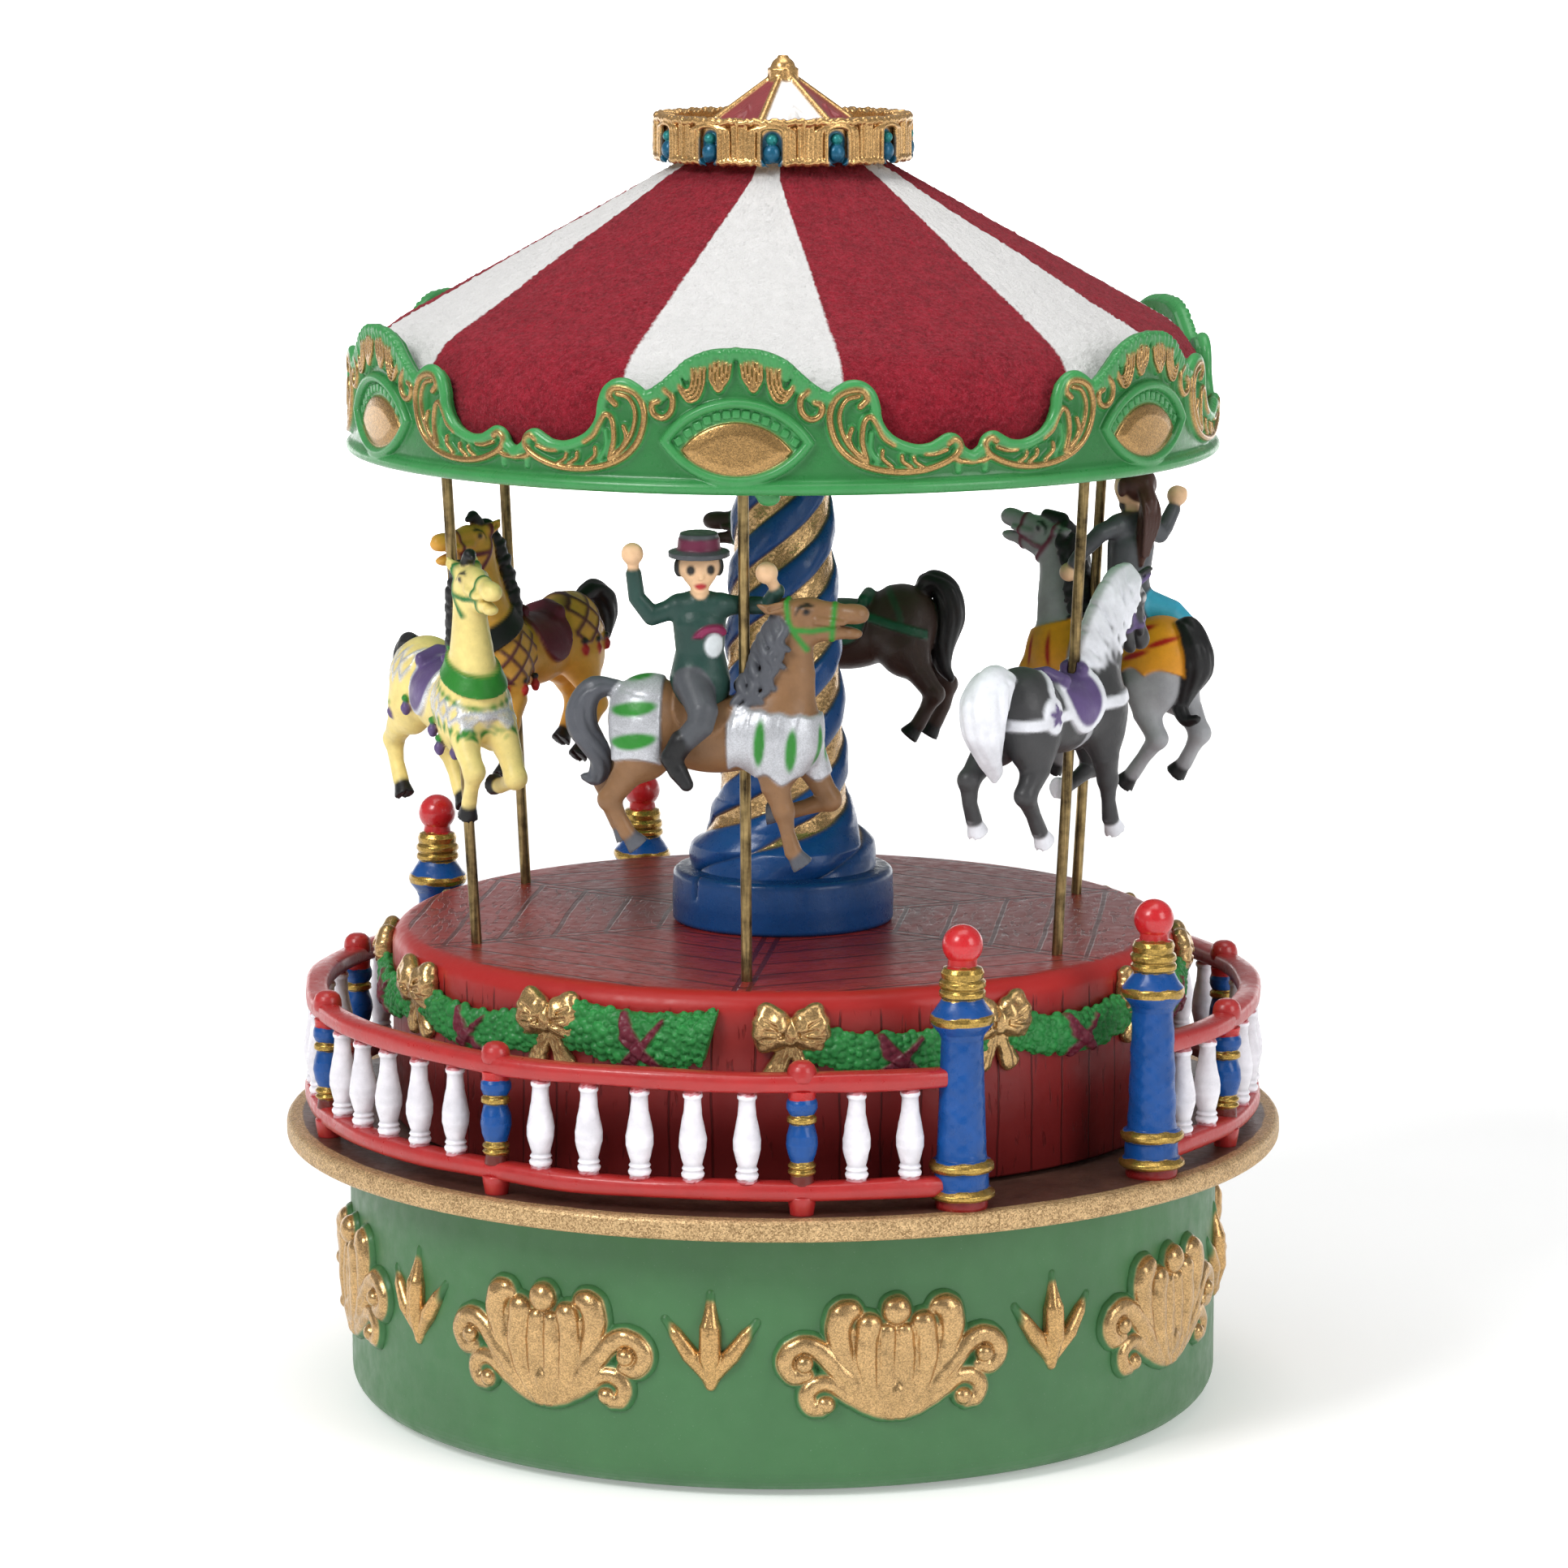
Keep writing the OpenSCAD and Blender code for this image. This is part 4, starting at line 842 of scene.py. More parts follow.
def head(c, at, pitch, coat, bridle, eye=(0.01, 0.01, 0.01), ears=0.0, turn=0.0):
    """A horse's head with its cheek at `at` (y, z), pitched up in degrees and turned sideways a little."""
    s, k = math.sin(math.radians(pitch)), math.cos(math.radians(pitch))

    def spot(x, y, z, r=None):
        x = x + turn * y / 7
        p = (x, at[0] + k * y - s * z, at[1] + s * y + k * z)
        return p if r is None else (*p, r)

    c.ball(spot(0, 0, 0), (1.65, 2.15, 2.35), coat, k=0.9, turn=pitch)
    c.ball(spot(0, 0.9, 1.3), (1.4, 1.9, 1.35), coat, k=0.7, turn=pitch)
    c.limb([spot(0, 1.8, 1.3, 1.25), spot(0, 5.4, 1.0, 0.95)], coat, k=0.7, flat=(0.9, 1, 1))
    c.ball(spot(0, 6.4, 0.85), (1.2, 1.35, 1.1), coat, k=0.6, turn=pitch)
    c.limb([spot(0, 1.0, -0.9, 1.35), spot(0, 5.4, -1.0, 0.75)], coat, k=0.7, flat=(0.85, 1, 1))
    c.ball(spot(0, 6.0, -1.25), (0.85, 0.95, 0.55), coat, k=0.4, turn=pitch)
    for e in (-1, 1):
        c.ball(spot(e * 1.15, 1.0, 1.55), (0.6, 0.75, 0.55), coat, k=0.35, turn=pitch)
        c.limb([spot(e * 0.95, -1.0, 1.9, 0.72), spot(e * 1.45, -2.1 + ears, 2.6 + ears, 0.55),
                spot(e * 1.5, -2.6 + 1.6 * ears, 3.1 + ears, 0.22)], coat, k=0.3)
        c.limb([spot(e * 1.75, -1.9 + ears, 2.7 + ears, 0.28), spot(e * 1.6, -1.2, 2.2, 0.2)], cut=True,
               k=0.1)
        c.limb([spot(e * 1.05, 7.2, 1.3, 0.3), spot(e * 0.7, 7.7, 1.2, 0.25)], cut=True, k=0.15)
        c.limb([spot(e * 1.15, 2.2, 0.4, 0.5), spot(e * 1.05, 5.0, 0.1, 0.35)], coat, k=0.5)

    def in_head(y, z):
        p, q = y - at[0], z - at[1]
        return k * p + s * q, -s * p + k * q

    def wedge(x, y, z):
        a, b = in_head(y, z)
        return path_distance(a, b, [(4.7, -0.25), (6.2, -0.4), (8.2, -0.6)], [0.08, 0.22, 0.55])

    window, x, y, z = c.whole()
    skin = c.d.copy()
    mouth = np.broadcast_to(wedge(x, y, z), c.d.shape)
    c.cut_out(window, mouth, 0.2)
    a, b = in_head(y, z)
    head_side = np.maximum(np.maximum(-2.6 - a, a - 8.4), np.abs(b) - 4.2)

    def strap(points, w):
        return lambda x, y, z: np.maximum(path_distance(*in_head(y, z), points, [w] * len(points)),
                                          head_side)

    skin_here = np.where(head_side < 0, skin, 9)
    for points, w in (([(-1.0, 2.9), (-0.9, 0.6), (-0.4, -0.6), (1.0, -2.7)], 0.3),
                      ([(4.2, 2.6), (4.0, 0.6), (3.6, -2.2)], 0.28),
                      ([(-0.4, -0.4), (1.6, -0.7), (3.8, -0.45)], 0.3)):
        raise_coat(c, skin_here, strap(points, w), 0.13, bridle)

    def eye_spot(x, y, z):
        a, b = in_head(y, z)
        return np.maximum(oval_distance(a, b, (1.15, 1.45), (0.42, 0.34), 15),
                          0.5 - np.abs(x - turn / 7))

    def brow(x, y, z):
        a, b = in_head(y, z)
        return np.maximum(path_distance(a, b, [(-0.1, 1.1), (0.3, 1.9), (1.2, 2.2), (1.9, 2.0)],
                                        [0.08, 0.16, 0.18, 0.06]), 0.5 - np.abs(x - turn / 7))

    paint(c, eye_spot, eye, skin, 0.07)
    paint(c, brow, eye, skin, 0.07)
    # Painted shade: the mouth's cut is painted a darker copy of the coat.
    paint(c, wedge, shade(coat[:3], 0.35), None, 0.12)
    return spot


def torso(c, coat):
    c.ball((0, 3.2, 0.0), (4.1, 4.6, 4.6), coat, k=0)
    c.ball((0, -3.2, -0.5), (3.9, 7.0, 4.1), coat, k=1.5)
    c.ball((0, -10.2, 1.1), (4.1, 4.6, 4.7), coat, k=1.5)
    for e in (-1, 1):
        c.ball((e * 1.9, -10.4, -1.0), (2.4, 3.4, 4.4), coat, k=1.0, turn=-14)
        c.ball((e * 1.9, 3.8, -1.6), (2.3, 2.8, 4.0), coat, k=1.0, turn=14)
    c.ball((0, 5.6, -0.4), (3.2, 2.6, 3.6), coat, k=0.9)


# ways of holding a leg: (forwards, height, radius) points and the hoof's angle
LEGS = {
    "straight": ([(3.4, -3.4, 2.1), (3.5, -5.4, 1.6), (4.4, -8.2, 1.05), (4.8, -10.6, 0.78),
                  (5.4, -12.7, 0.95)], 55),
    "bent": ([(6.2, -2.6, 2.0), (7.6, -5.6, 1.4), (8.9, -8.0, 1.15), (6.3, -8.9, 0.85),
              (3.9, -9.6, 0.85)], 178),
    "raised": ([(6.0, -2.2, 2.0), (7.8, -4.6, 1.4), (9.4, -6.6, 1.1), (8.2, -8.6, 0.8),
                (7.2, -10.4, 0.85)], 115),
    "back": ([(-11.0, -2.0, 2.5), (-12.6, -4.6, 1.6), (-14.4, -7.2, 1.15), (-13.4, -9.2, 0.85),
              (-12.5, -10.9, 0.9)], 50),
    "under": ([(-9.6, -2.0, 2.5), (-10.4, -5.0, 1.6), (-12.2, -7.8, 1.1), (-10.4, -10.2, 0.82),
               (-9.0, -12.2, 0.9)], 50),
    "stretched": ([(-10.8, -2.0, 2.5), (-13.0, -4.4, 1.6), (-15.6, -6.4, 1.1), (-15.2, -9.0, 0.82),
                   (-14.2, -11.0, 0.9)], 60),
}


def legs(c, near_front, far_front, near_hind, far_hind, coat, hoof_colour):
    """Four legs, each in one of the ways of LEGS."""
    for name, side in ((near_front, 2.5), (far_front, -2.5), (near_hind, 2.6), (far_hind, -2.6)):
        points, way = LEGS[name]
        leg(c, [(side * (0.8 if i == 0 else 1), y, z, r) for i, (y, z, r) in enumerate(points)],
            coat, way, hoof_colour)


def neck(c, points, coat, flat):
    """A neck through (forwards, height, radius) points."""
    c.limb([(0, *p) for p in points], coat, k=1.1, flat=(flat, 1, 1))


def strands(c, starts, ends, r, colour, sway, wide, n):
    """Locks of a mane: each starts on the crest line and hangs over a side of the neck."""
    a, b = crown_spline(starts, 6), crown_spline(ends, 6)
    for side in (-1, 1):
        for i in range(n):
            t = i / (n - 1)
            p, q = a[int(t * (len(a) - 1))], b[int(t * (len(b) - 1))]
            bend = sway * math.sin(i * 2.3 + side)
            mid = (p + q) / 2
            c.line([(side * 0.2, p[0], p[1]), (side * wide * 0.72, mid[0] + bend, mid[1] + 0.5),
                    (side * wide, (mid[0] + q[0]) / 2 - bend, (mid[1] + q[1]) / 2),
                    (side * wide * (1.04 + 0.05 * (i % 3)), q[0] + bend, q[1])], (r, r * 0.45), colour,
                    k=0.12)


STRAND_OUT = 0.62


def tail(c, points, radii, colour, n=7):
    """A tail: a core and strands round it, from (y, z) points."""
    path = crown_spline([(0, *p) for p in points], 5)
    rs = np.interp(np.linspace(0, 1, len(path)), np.linspace(0, 1, len(radii)), radii)
    c.limb([(*p, r * 0.9) for p, r in zip(path, rs)], colour, k=0.3, flat=(0.85, 1, 1))
    for i in range(n):
        a = TAU * i / n
        line = [(p[0] + math.cos(a + 0.08 * j) * r * STRAND_OUT,
                 p[1] + math.sin(a + 0.08 * j) * r * STRAND_OUT, p[2] + 0.25 * r * math.sin(a),
                 r * 0.42)
                for j, (p, r) in enumerate(zip(path, rs))]
        c.limb(line, colour, k=0.1)


BEADS = 13


def braid(c, points, r, colour, side=1):
    """A rolled mane of beads along a line of (x, y, z) points."""
    path = crown_spline(points, 8)
    for i in range(BEADS):
        p = path[int(i / (BEADS - 1) * (len(path) - 1))]
        c.ball(p, (r * 0.9, r * (1 + 0.25 * (i % 2)), r * 0.72), colour, k=0.12, turn=20 * (-1) ** i)
        c.ball(p + [side * 0.3, 0.35 * (-1) ** i, -0.3], r * 0.55, colour, k=0.1)


def saddle(c, skin, colour, border, flap, turn, thick=0.4, edge=0.5):
    """A saddle: a flap over each side with a raised border, and a seat with its cantle."""
    y0, z0, a, b = flap

    def flap_at(grow):
        return lambda x, y, z: np.maximum(oval_distance(y, z, (y0, z0 + 0.6), (a + grow, b + grow),
                                                        turn), -2.9 - z)

    raise_coat(c, skin, flap_at(edge), thick, border)
    paint(c, flap_at(-0.12), colour, skin, 0.12)
    c.limb([(-2.2, y0 - 2.6, 4.0, 0.7), (0, y0 - 3.0, 4.6, 0.75), (2.2, y0 - 2.6, 4.0, 0.7)], colour,
           k=0.8)
    c.limb([(-1.2, y0 + 2.4, 4.6, 0.5), (0, y0 + 2.6, 5.0, 0.5), (1.2, y0 + 2.4, 4.6, 0.5)], colour,
           k=0.8)


def drop(c, x, y, z, colour, size=0.62):
    """A tassel: a small teardrop hanging on a side."""
    c.limb([(x, y, z + 0.7, size * 0.45), (x, y, z, size), (x, y, z - 0.35, size * 0.8)], colour, k=0.1)


POLE_BORE = 0.64


def clear_pole(c):
    """Leaves room for the brass pole."""
    window, x, y, z = c.window((-2, -2, -18), (2, 2, 19))
    c.cut_out(window, np.sqrt(x**2 + y**2) - POLE_BORE + 0 * z, 0.02)


GREY_TURN = 26


def horse_piece(name, c, k):
    """Meshes a carving and puts it on pole k; the grey horse and its rider face a little inwards."""
    clear_pole(c)
    points, quads, colours = c.surface()
    piece = mesh_piece(name, points, quads, M["paint"], colours)
    angle = math.radians(POLE_PHASE + 60 * k - 90)
    piece.matrix_world = (Matrix.Rotation(angle, 4, "Z")
                          @ Matrix.Translation((POLE_LOW_R * MM, 0, DECK_TOP * MM))
                          @ Matrix.Rotation(LEAN, 4, "Y") @ Matrix.Rotation(math.radians(GREY_TURN
                              if k == 2 else 0), 4, "Z")
                          @ Matrix.Translation((0, 0, HORSE_UP * MM)))
    return piece


TAN = (0.235, 0.122, 0.055)
GREY_HAIR = (0.085, 0.09, 0.105)
SILVER = (0.50, 0.51, 0.54, 0.4)
LEAF = (0.028, 0.22, 0.028)


def bare_horse(coat, hoof_colour, neck_points, neck_flat, ways, cheek, pitch, bridle, **head_looks):
    """A horse without its mane, tail and tack, and its skin as it was before the head."""
    c = Carving(BODY["low_corner"], BODY["high_corner"], HORSE_STEP, (0.5, 0.5, 0.5))
    torso(c, coat)
    neck(c, neck_points, coat, neck_flat)
    legs(c, *ways, coat, hoof_colour)
    skin = c.d.copy()
    head(c, cheek, pitch, coat, bridle, **head_looks)
    return c, skin


def horse_tan():
    c, skin = bare_horse(
        TAN, GREY_HAIR, [(4.0, 2.6, 3.7), (4.6, 6.2, 3.05), (5.0, 9.0, 2.45), (5.5, 11.4, 2.1)], 0.72,
        ("straight", "bent", "back", "stretched"), (5.8, 11.9), 2, LEAF, ears=-0.9, turn=0.5)
    strands(c, [(3.6, 12.6), (2.0, 10.2), (0.9, 7.6), (-0.2, 5.4)],
            [(4.6, 9.4), (3.6, 6.6), (2.2, 3.9), (-0.6, 2.6)], 0.74, GREY_HAIR, 0.5, wide=2.3, n=12)
    tail(c, [(-13.8, 4.6), (-16.2, 4.4), (-17.6, 2.6), (-17.6, 0.2), (-16.4, -1.8), (-15.6, -3.6),
             (-16.2, -5.4), (-17.4, -5.4)],
         [0.9, 1.5, 1.7, 1.65, 1.5, 1.2, 1.0, 0.5], GREY_HAIR)

    def chest(x, y, z):
        bottom = -4.0 + 0.45 * np.cos((y + 0.6) * TAU / 3.3) - 0.16 * y
        return np.maximum(np.maximum(-1.6 - y, bottom - z), z - (3.2 - 0.14 * y + 0.12 * np.cos(y * 3)))

    def rump(x, y, z):
        return np.maximum(np.maximum(y + 8.6, -14.6 - y), -2.4 - 0.3 * (y + 11.5) ** 2 * 0.3 - z)

    raise_coat(c, skin, chest, 0.36, SILVER)
    raise_coat(c, skin, rump, 0.32, SILVER)
    _, x, y, z = c.whole()
    folds = np.minimum(np.abs((y + 0.45 * x + 0.2) % 1.7 - 0.85), 0.22) - 0.22
    c.d[:] -= 0.55 * folds * (np.abs(c.d) < 0.9) * (chest(x, y, z) < 0) * (np.abs(skin) < 0.8)
    hems = np.minimum(np.abs((z + 0.15 * y + 0.4) % 2.1 - 1.05), 0.2) - 0.2
    c.d[:] -= 0.45 * hems * (np.abs(c.d) < 0.9) * (rump(x, y, z) < 0) * (np.abs(skin) < 0.8)
    for y0, w, h, z0 in ((2.0, 0.62, 2.5, -0.5), (5.4, 0.6, 2.3, -1.3)):
        paint(c, lambda x, y, z: oval_distance(y, z, (y0, z0), (w, h), -4), LEAF, skin, 0.1)
    for x0 in (-1.5, 1.5):
        paint(c, lambda x, y, z: np.maximum(oval_distance(x, z, (x0, -1.2), (0.5, 2.2)), 6.6 - y), LEAF,
              skin, 0.1)
    for z0, h in ((6.2, 0.55), (3.0, 0.75), (-0.4, 0.85)):
        paint(c, lambda x, y, z: oval_distance(y, z, (-11.6, z0 + 0.05 * (y + 11)), (2.6, h), 6), LEAF,
              skin, 0.1)
    raise_coat(c, skin, lambda x, y, z: np.maximum(oval_distance(y, z, (-4.2, 3.6), (3.3, 3.6), -10),
                                                   -3 - z), 0.3, shade(TAN, 0.85))
    return horse_piece("horse_tan_figure", c, 0)


PALE = (0.84, 0.68, 0.25)
GOLDEN = (0.72, 0.36, 0.055)
CHARCOAL = (0.05, 0.05, 0.052)
DAPPLE = (0.34, 0.345, 0.36)
BROWN = (0.052, 0.030, 0.024)
BLACK = (0.012, 0.012, 0.013)
CHALK = (0.78, 0.79, 0.84)
PURPLE = (0.115, 0.075, 0.20)
MAROON = (0.13, 0.014, 0.03)
ORANGE = (0.80, 0.33, 0.018)
TEAL = (0.012, 0.05, 0.09)
BRUSHED_SILVER = (0.62, 0.63, 0.67, 0.55)
TASSEL_RED = (0.45, 0.02, 0.02)


def zigzag(c, skin, height, wave, step, width, colour, where):
    """A zigzag line round the body: two crossing waves make diamonds."""
    for sign in (-1, 1):
        def line(x, y, z):
            rise = (2 * np.abs(((y + 0.35 * np.abs(x)) / step) % 1 - 0.5) - 0.5) * 2
            return np.maximum(np.abs(z - height(y) - sign * wave * rise) * 0.6 - width, where(x, y, z))

        raise_coat(c, skin, line, 0.14, colour)


def horse_pale():
    c, skin = bare_horse(
        PALE, BLACK, [(4.0, 2.6, 3.6), (4.4, 6.2, 2.9), (4.5, 9.6, 2.35), (4.8, 12.6, 2.1)], 0.8,
        ("raised", "bent", "stretched", "under"), (5.2, 13.0), -4, (0.02, 0.17, 0.04),
        eye=(0.05, 0.045, 0.04))
    braid(c, [(0.5, 3.2, 15.4), (0.9, 2.0, 12.4), (0.9, 1.5, 9.6), (0.9, 1.0, 6.8), (0.6, 0.2, 4.6)],
          0.95, BLACK)
    c.limb([(0, 4.8, 15.9, 0.8), (0, 5.6, 16.8, 0.75), (0, 6.6, 16.6, 0.35)], BLACK, k=0.2)
    tail(c, [(-13.8, 4.6), (-16.0, 4.2), (-17.2, 2.0), (-17.0, -1.0), (-16.6, -4.0), (-17.2, -6.0)],
         [0.9, 1.4, 1.5, 1.35, 1.0, 0.5], BLACK)
    raise_coat(c, skin, lambda x, y, z: np.maximum(np.abs(z - 3.6 + 0.42 * (y - 5)) - 1.15, 0.4 - y),
               0.42, LEAF)
    lace = lambda y: 0.2 - 0.25 * (y - 4)
    front = lambda x, y, z: 0.2 - y
    back = lambda x, y, z: np.maximum(y + 7.4, -14.5 - y)
    zigzag(c, skin, lace, 1.25, 2.6, 0.26, BRUSHED_SILVER, front)
    zigzag(c, skin, lambda y: 3.0 + 0.1 * (y + 10), 1.6, 2.8, 0.28, BRUSHED_SILVER, back)
    edge = lambda x, y, z: np.maximum(np.abs(z - lace(y) + 1.9 + 0.3 * np.sin(9 * y)) - 0.35, 0.4 - y)
    paint(c, lambda x, y, z: edge(x, y, z) + 0.32 * np.sin(5.3 * y + 2 * x) + 0.1, LEAF, skin, 0.2)
    paint(c, lambda x, y, z: np.abs(z - 1.4 + 0.42 * (y - 5)) - 0.16 + 0.15 * np.sin(7 * y + 3 * x),
          LEAF, skin, 0.2)
    for y, z, x in ((-10.8, -2.4, 4.3), (-7.4, -1.6, 3.9), (0.9, -2.9, 3.9), (3.2, -4.6, 4.1),
                    (5.6, -4.9, 3.2)):
        for side in (-1, 1):
            drop(c, side * x, y, z, PURPLE)
            c.ball((side * x, y, z + 1.1), (0.4, 0.6, 0.4), LEAF, k=0.15)
    saddle(c, skin, PURPLE, BRUSHED_SILVER, (-3.4, 1.6, 2.7, 3.7), -8)
    return horse_piece("horse_pale_figure", c, 5)


def horse_golden():
    c, skin = bare_horse(
        GOLDEN, BLACK, [(4.0, 2.6, 3.6), (4.8, 6.4, 2.9), (5.2, 9.4, 2.4), (5.6, 12.0, 2.1)], 0.8,
        ("raised", "straight", "back", "under"), (6.0, 12.6), 3, MAROON, eye=(0.02, 0.018, 0.016))
    braid(c, [(0.2, 3.6, 15.0), (-0.4, 2.6, 12.6), (-0.8, 1.8, 9.6), (-1.2, 1.4, 6.8),
              (-1.4, 1.2, 4.4)], 1.15, BLACK, -1)
    c.limb([(0, 5.4, 15.4, 0.8), (0, 6.2, 16.3, 0.7), (0, 7.2, 16.0, 0.35)], BLACK, k=0.2)
    tail(c, [(-13.6, 4.8), (-15.6, 5.4), (-17.2, 4.2), (-17.8, 2.0), (-17.4, -0.4)],
         [1.0, 1.5, 1.8, 1.5, 0.9], BLACK)
    raise_coat(c, skin, lambda x, y, z: np.maximum(np.abs(z - 3.4 + 0.5 * (y - 4)) - 1.35, 0.2 - y),
               0.4, BLACK)

    def lattice(x, y, z):
        u, v = (y + z) / 2.9 + 0.2, (y - z) / 2.9
        return np.minimum(np.abs(u - np.round(u)), np.abs(v - np.round(v))) * 2.05 - 0.24

    chest = lambda x, y, z: np.maximum(np.maximum(0.2 - y, z - 1.9 + 0.5 * (y - 4)), -3.6 - z)
    rump = lambda x, y, z: np.maximum(np.maximum(y + 7.4, -15 - y), -0.2 - z)
    for part in (chest, rump):
        raise_coat(c, skin, lambda x, y, z: np.maximum(lattice(x, y, z), part(x, y, z)), 0.16,
                   (0.10, 0.02, 0.035))
    for y, z, x in ((1.2, -3.9, 4.0), (3.4, -4.2, 4.1), (5.8, -4.0, 3.2), (-8.4, -0.9, 4.1),
                    (-10.6, -0.9, 4.3), (-12.8, -0.6, 3.9)):
        for side in (-1, 1):
            drop(c, side * x, y, z, TASSEL_RED, 0.55)
            c.ball((side * x, y, z + 1.0), (0.4, 0.5, 0.4), BLACK, k=0.15)
    saddle(c, skin, MAROON, MAROON, (-3.6, 1.8, 3.1, 4.2), -6, 0.5, 0.1)
    return horse_piece("horse_golden_figure", c, 4)


def star(a, b, centre, size):
    """Rough distance from a five-pointed star in a plane."""
    p, q = a - centre[0], b - centre[1]
    turn = np.arctan2(q, p) - math.pi / 2
    fold = np.abs((turn / (TAU / 5) + 0.5) % 1 - 0.5) * 2
    return np.sqrt(p * p + q * q) - size * (1 - 0.5 * fold)


def horse_charcoal():
    c, skin = bare_horse(
        CHARCOAL, CHALK, [(3.8, 2.2, 3.7), (5.2, 6.4, 3.0), (7.0, 9.8, 2.5), (8.4, 12.0, 2.1)], 0.78,
        ("straight", "bent", "under", "stretched"), (9.4, 11.6), -62, PURPLE, eye=(0.6, 0.6, 0.6),
        ears=0.9)
    strands(c, [(9.6, 14.6), (7.2, 14.2), (4.6, 12.0), (2.4, 8.8), (0.6, 5.4)],
            [(9.0, 11.4), (7.4, 9.0), (5.8, 6.4), (4.4, 4.0), (2.8, 2.6)], 0.66, CHALK, 0.45, wide=1.95,
            n=20)
    tail(c, [(-13.8, 4.8), (-15.8, 4.6), (-17.2, 2.4), (-17.3, -0.6), (-16.2, -3.2), (-15.0, -4.9),
             (-14.6, -6.2)], [1.3, 2.3, 2.65, 2.3, 1.6, 1.1, 0.35], CHALK, 9)
    strap = lambda x, y, z: np.maximum(np.maximum(np.abs(z - 0.9 - 0.06 * y) - 0.62, -14.6 - y), y - 12)
    raise_coat(c, skin, strap, 0.22, CHALK)
    raise_coat(c, skin, lambda x, y, z: np.maximum(path_distance(y, z,
        [(-7.2, 6.6), (-9.6, 3.6), (-9.8, 1.2)], [0.5] * 3), 1 - np.abs(x)), 0.22, CHALK)
    raise_coat(c, skin, lambda x, y, z: oval_distance(y, z, (-9.8, 1.0), (2.0, 2.0)), 0.26, CHALK)
    raise_coat(c, skin, lambda x, y, z: np.maximum(path_distance(y, z,
        [(-2.6, 2.0), (-1.2, -2.6), (-2.2, -6.0)], [0.6] * 3), 0 * x), 0.22, CHALK)
    raise_coat(c, skin, lambda x, y, z: star(y, z, (-9.8, 1.0), 1.35), 0.5, PURPLE, 0.06)
    saddle(c, skin, PURPLE, CHALK, (-2.4, 1.8, 3.0, 3.6), -14, 0.35, 0.75)
    return horse_piece("horse_charcoal_figure", c, 1)


def horse_grey():
    c, skin = bare_horse(
        DAPPLE, BLACK, [(4.0, 2.6, 3.6), (4.9, 6.4, 2.9), (5.4, 9.6, 2.4), (6.0, 12.2, 2.1)], 0.8,
        ("straight", "bent", "back", "under"), (6.8, 12.8), 14, (0.16, 0.02, 0.05), ears=-0.4)
    strands(c, [(4.6, 15.0), (2.8, 12.2), (1.4, 9.2), (0.2, 6.0)],
            [(3.8, 12.4), (2.8, 9.6), (2.4, 7.0), (1.6, 4.6)], 0.7, BLACK, 0.25, wide=2.0, n=13)
    c.limb([(0, 5.4, 15.6, 0.9), (0, 7.6, 16.0, 0.7)], BLACK, k=0.2)
    tail(c, [(-12.6, 4.8), (-13.8, 4.9), (-14.9, 3.0), (-15.0, 0.6), (-13.8, -2.0), (-13.2, -4.0),
             (-14.2, -5.6), (-15.6, -5.3)], [0.9, 1.7, 2.1, 2.0, 1.5, 1.0, 0.85, 0.6], BLACK, 9)

    def chest(x, y, z):
        return np.maximum(0.6 - y, np.maximum(-2.6 + 0.7 * np.abs(np.sin(y * 1.15)) - z,
                                              z - 3.8 + 0.3 * (y - 4)))

    def rump(x, y, z):
        return np.maximum(np.maximum(y + 6.6, -15.2 - y - 0.5 * np.abs(np.sin(z * 1.3))),
                          -0.6 + 0.8 * np.abs(np.sin(y * 0.85)) - z)

    for part in (chest, rump):
        raise_coat(c, skin, part, 0.32, ORANGE)
    lens = (0.42, 0.01, 0.008)
    for y0, z0, w, h, turn in ((3.0, 0.8, 0.32, 2.0, -12), (6.0, 0.4, 0.32, 1.8, -8),
                               (-9.2, 4.4, 1.9, 0.42, -24), (-9.4, 1.6, 2.0, 0.4, -20),
                               (-12.4, 3.4, 1.6, 0.36, -26)):
        paint(c, lambda x, y, z: oval_distance(y, z, (y0, z0), (w, h), turn), lens, skin, 0.1)
    for x0 in (-1.3, 1.3):
        paint(c, lambda x, y, z: np.maximum(oval_distance(x, z, (x0, 0.8), (0.34, 1.9)), 6.8 - y), lens,
              skin, 0.1)
    saddle(c, skin, TEAL, (0.03, 0.022, 0.02), (-3.2, 1.8, 2.9, 3.9), -8, 0.45, 0.25)
    return horse_piece("horse_grey_figure", c, 2)


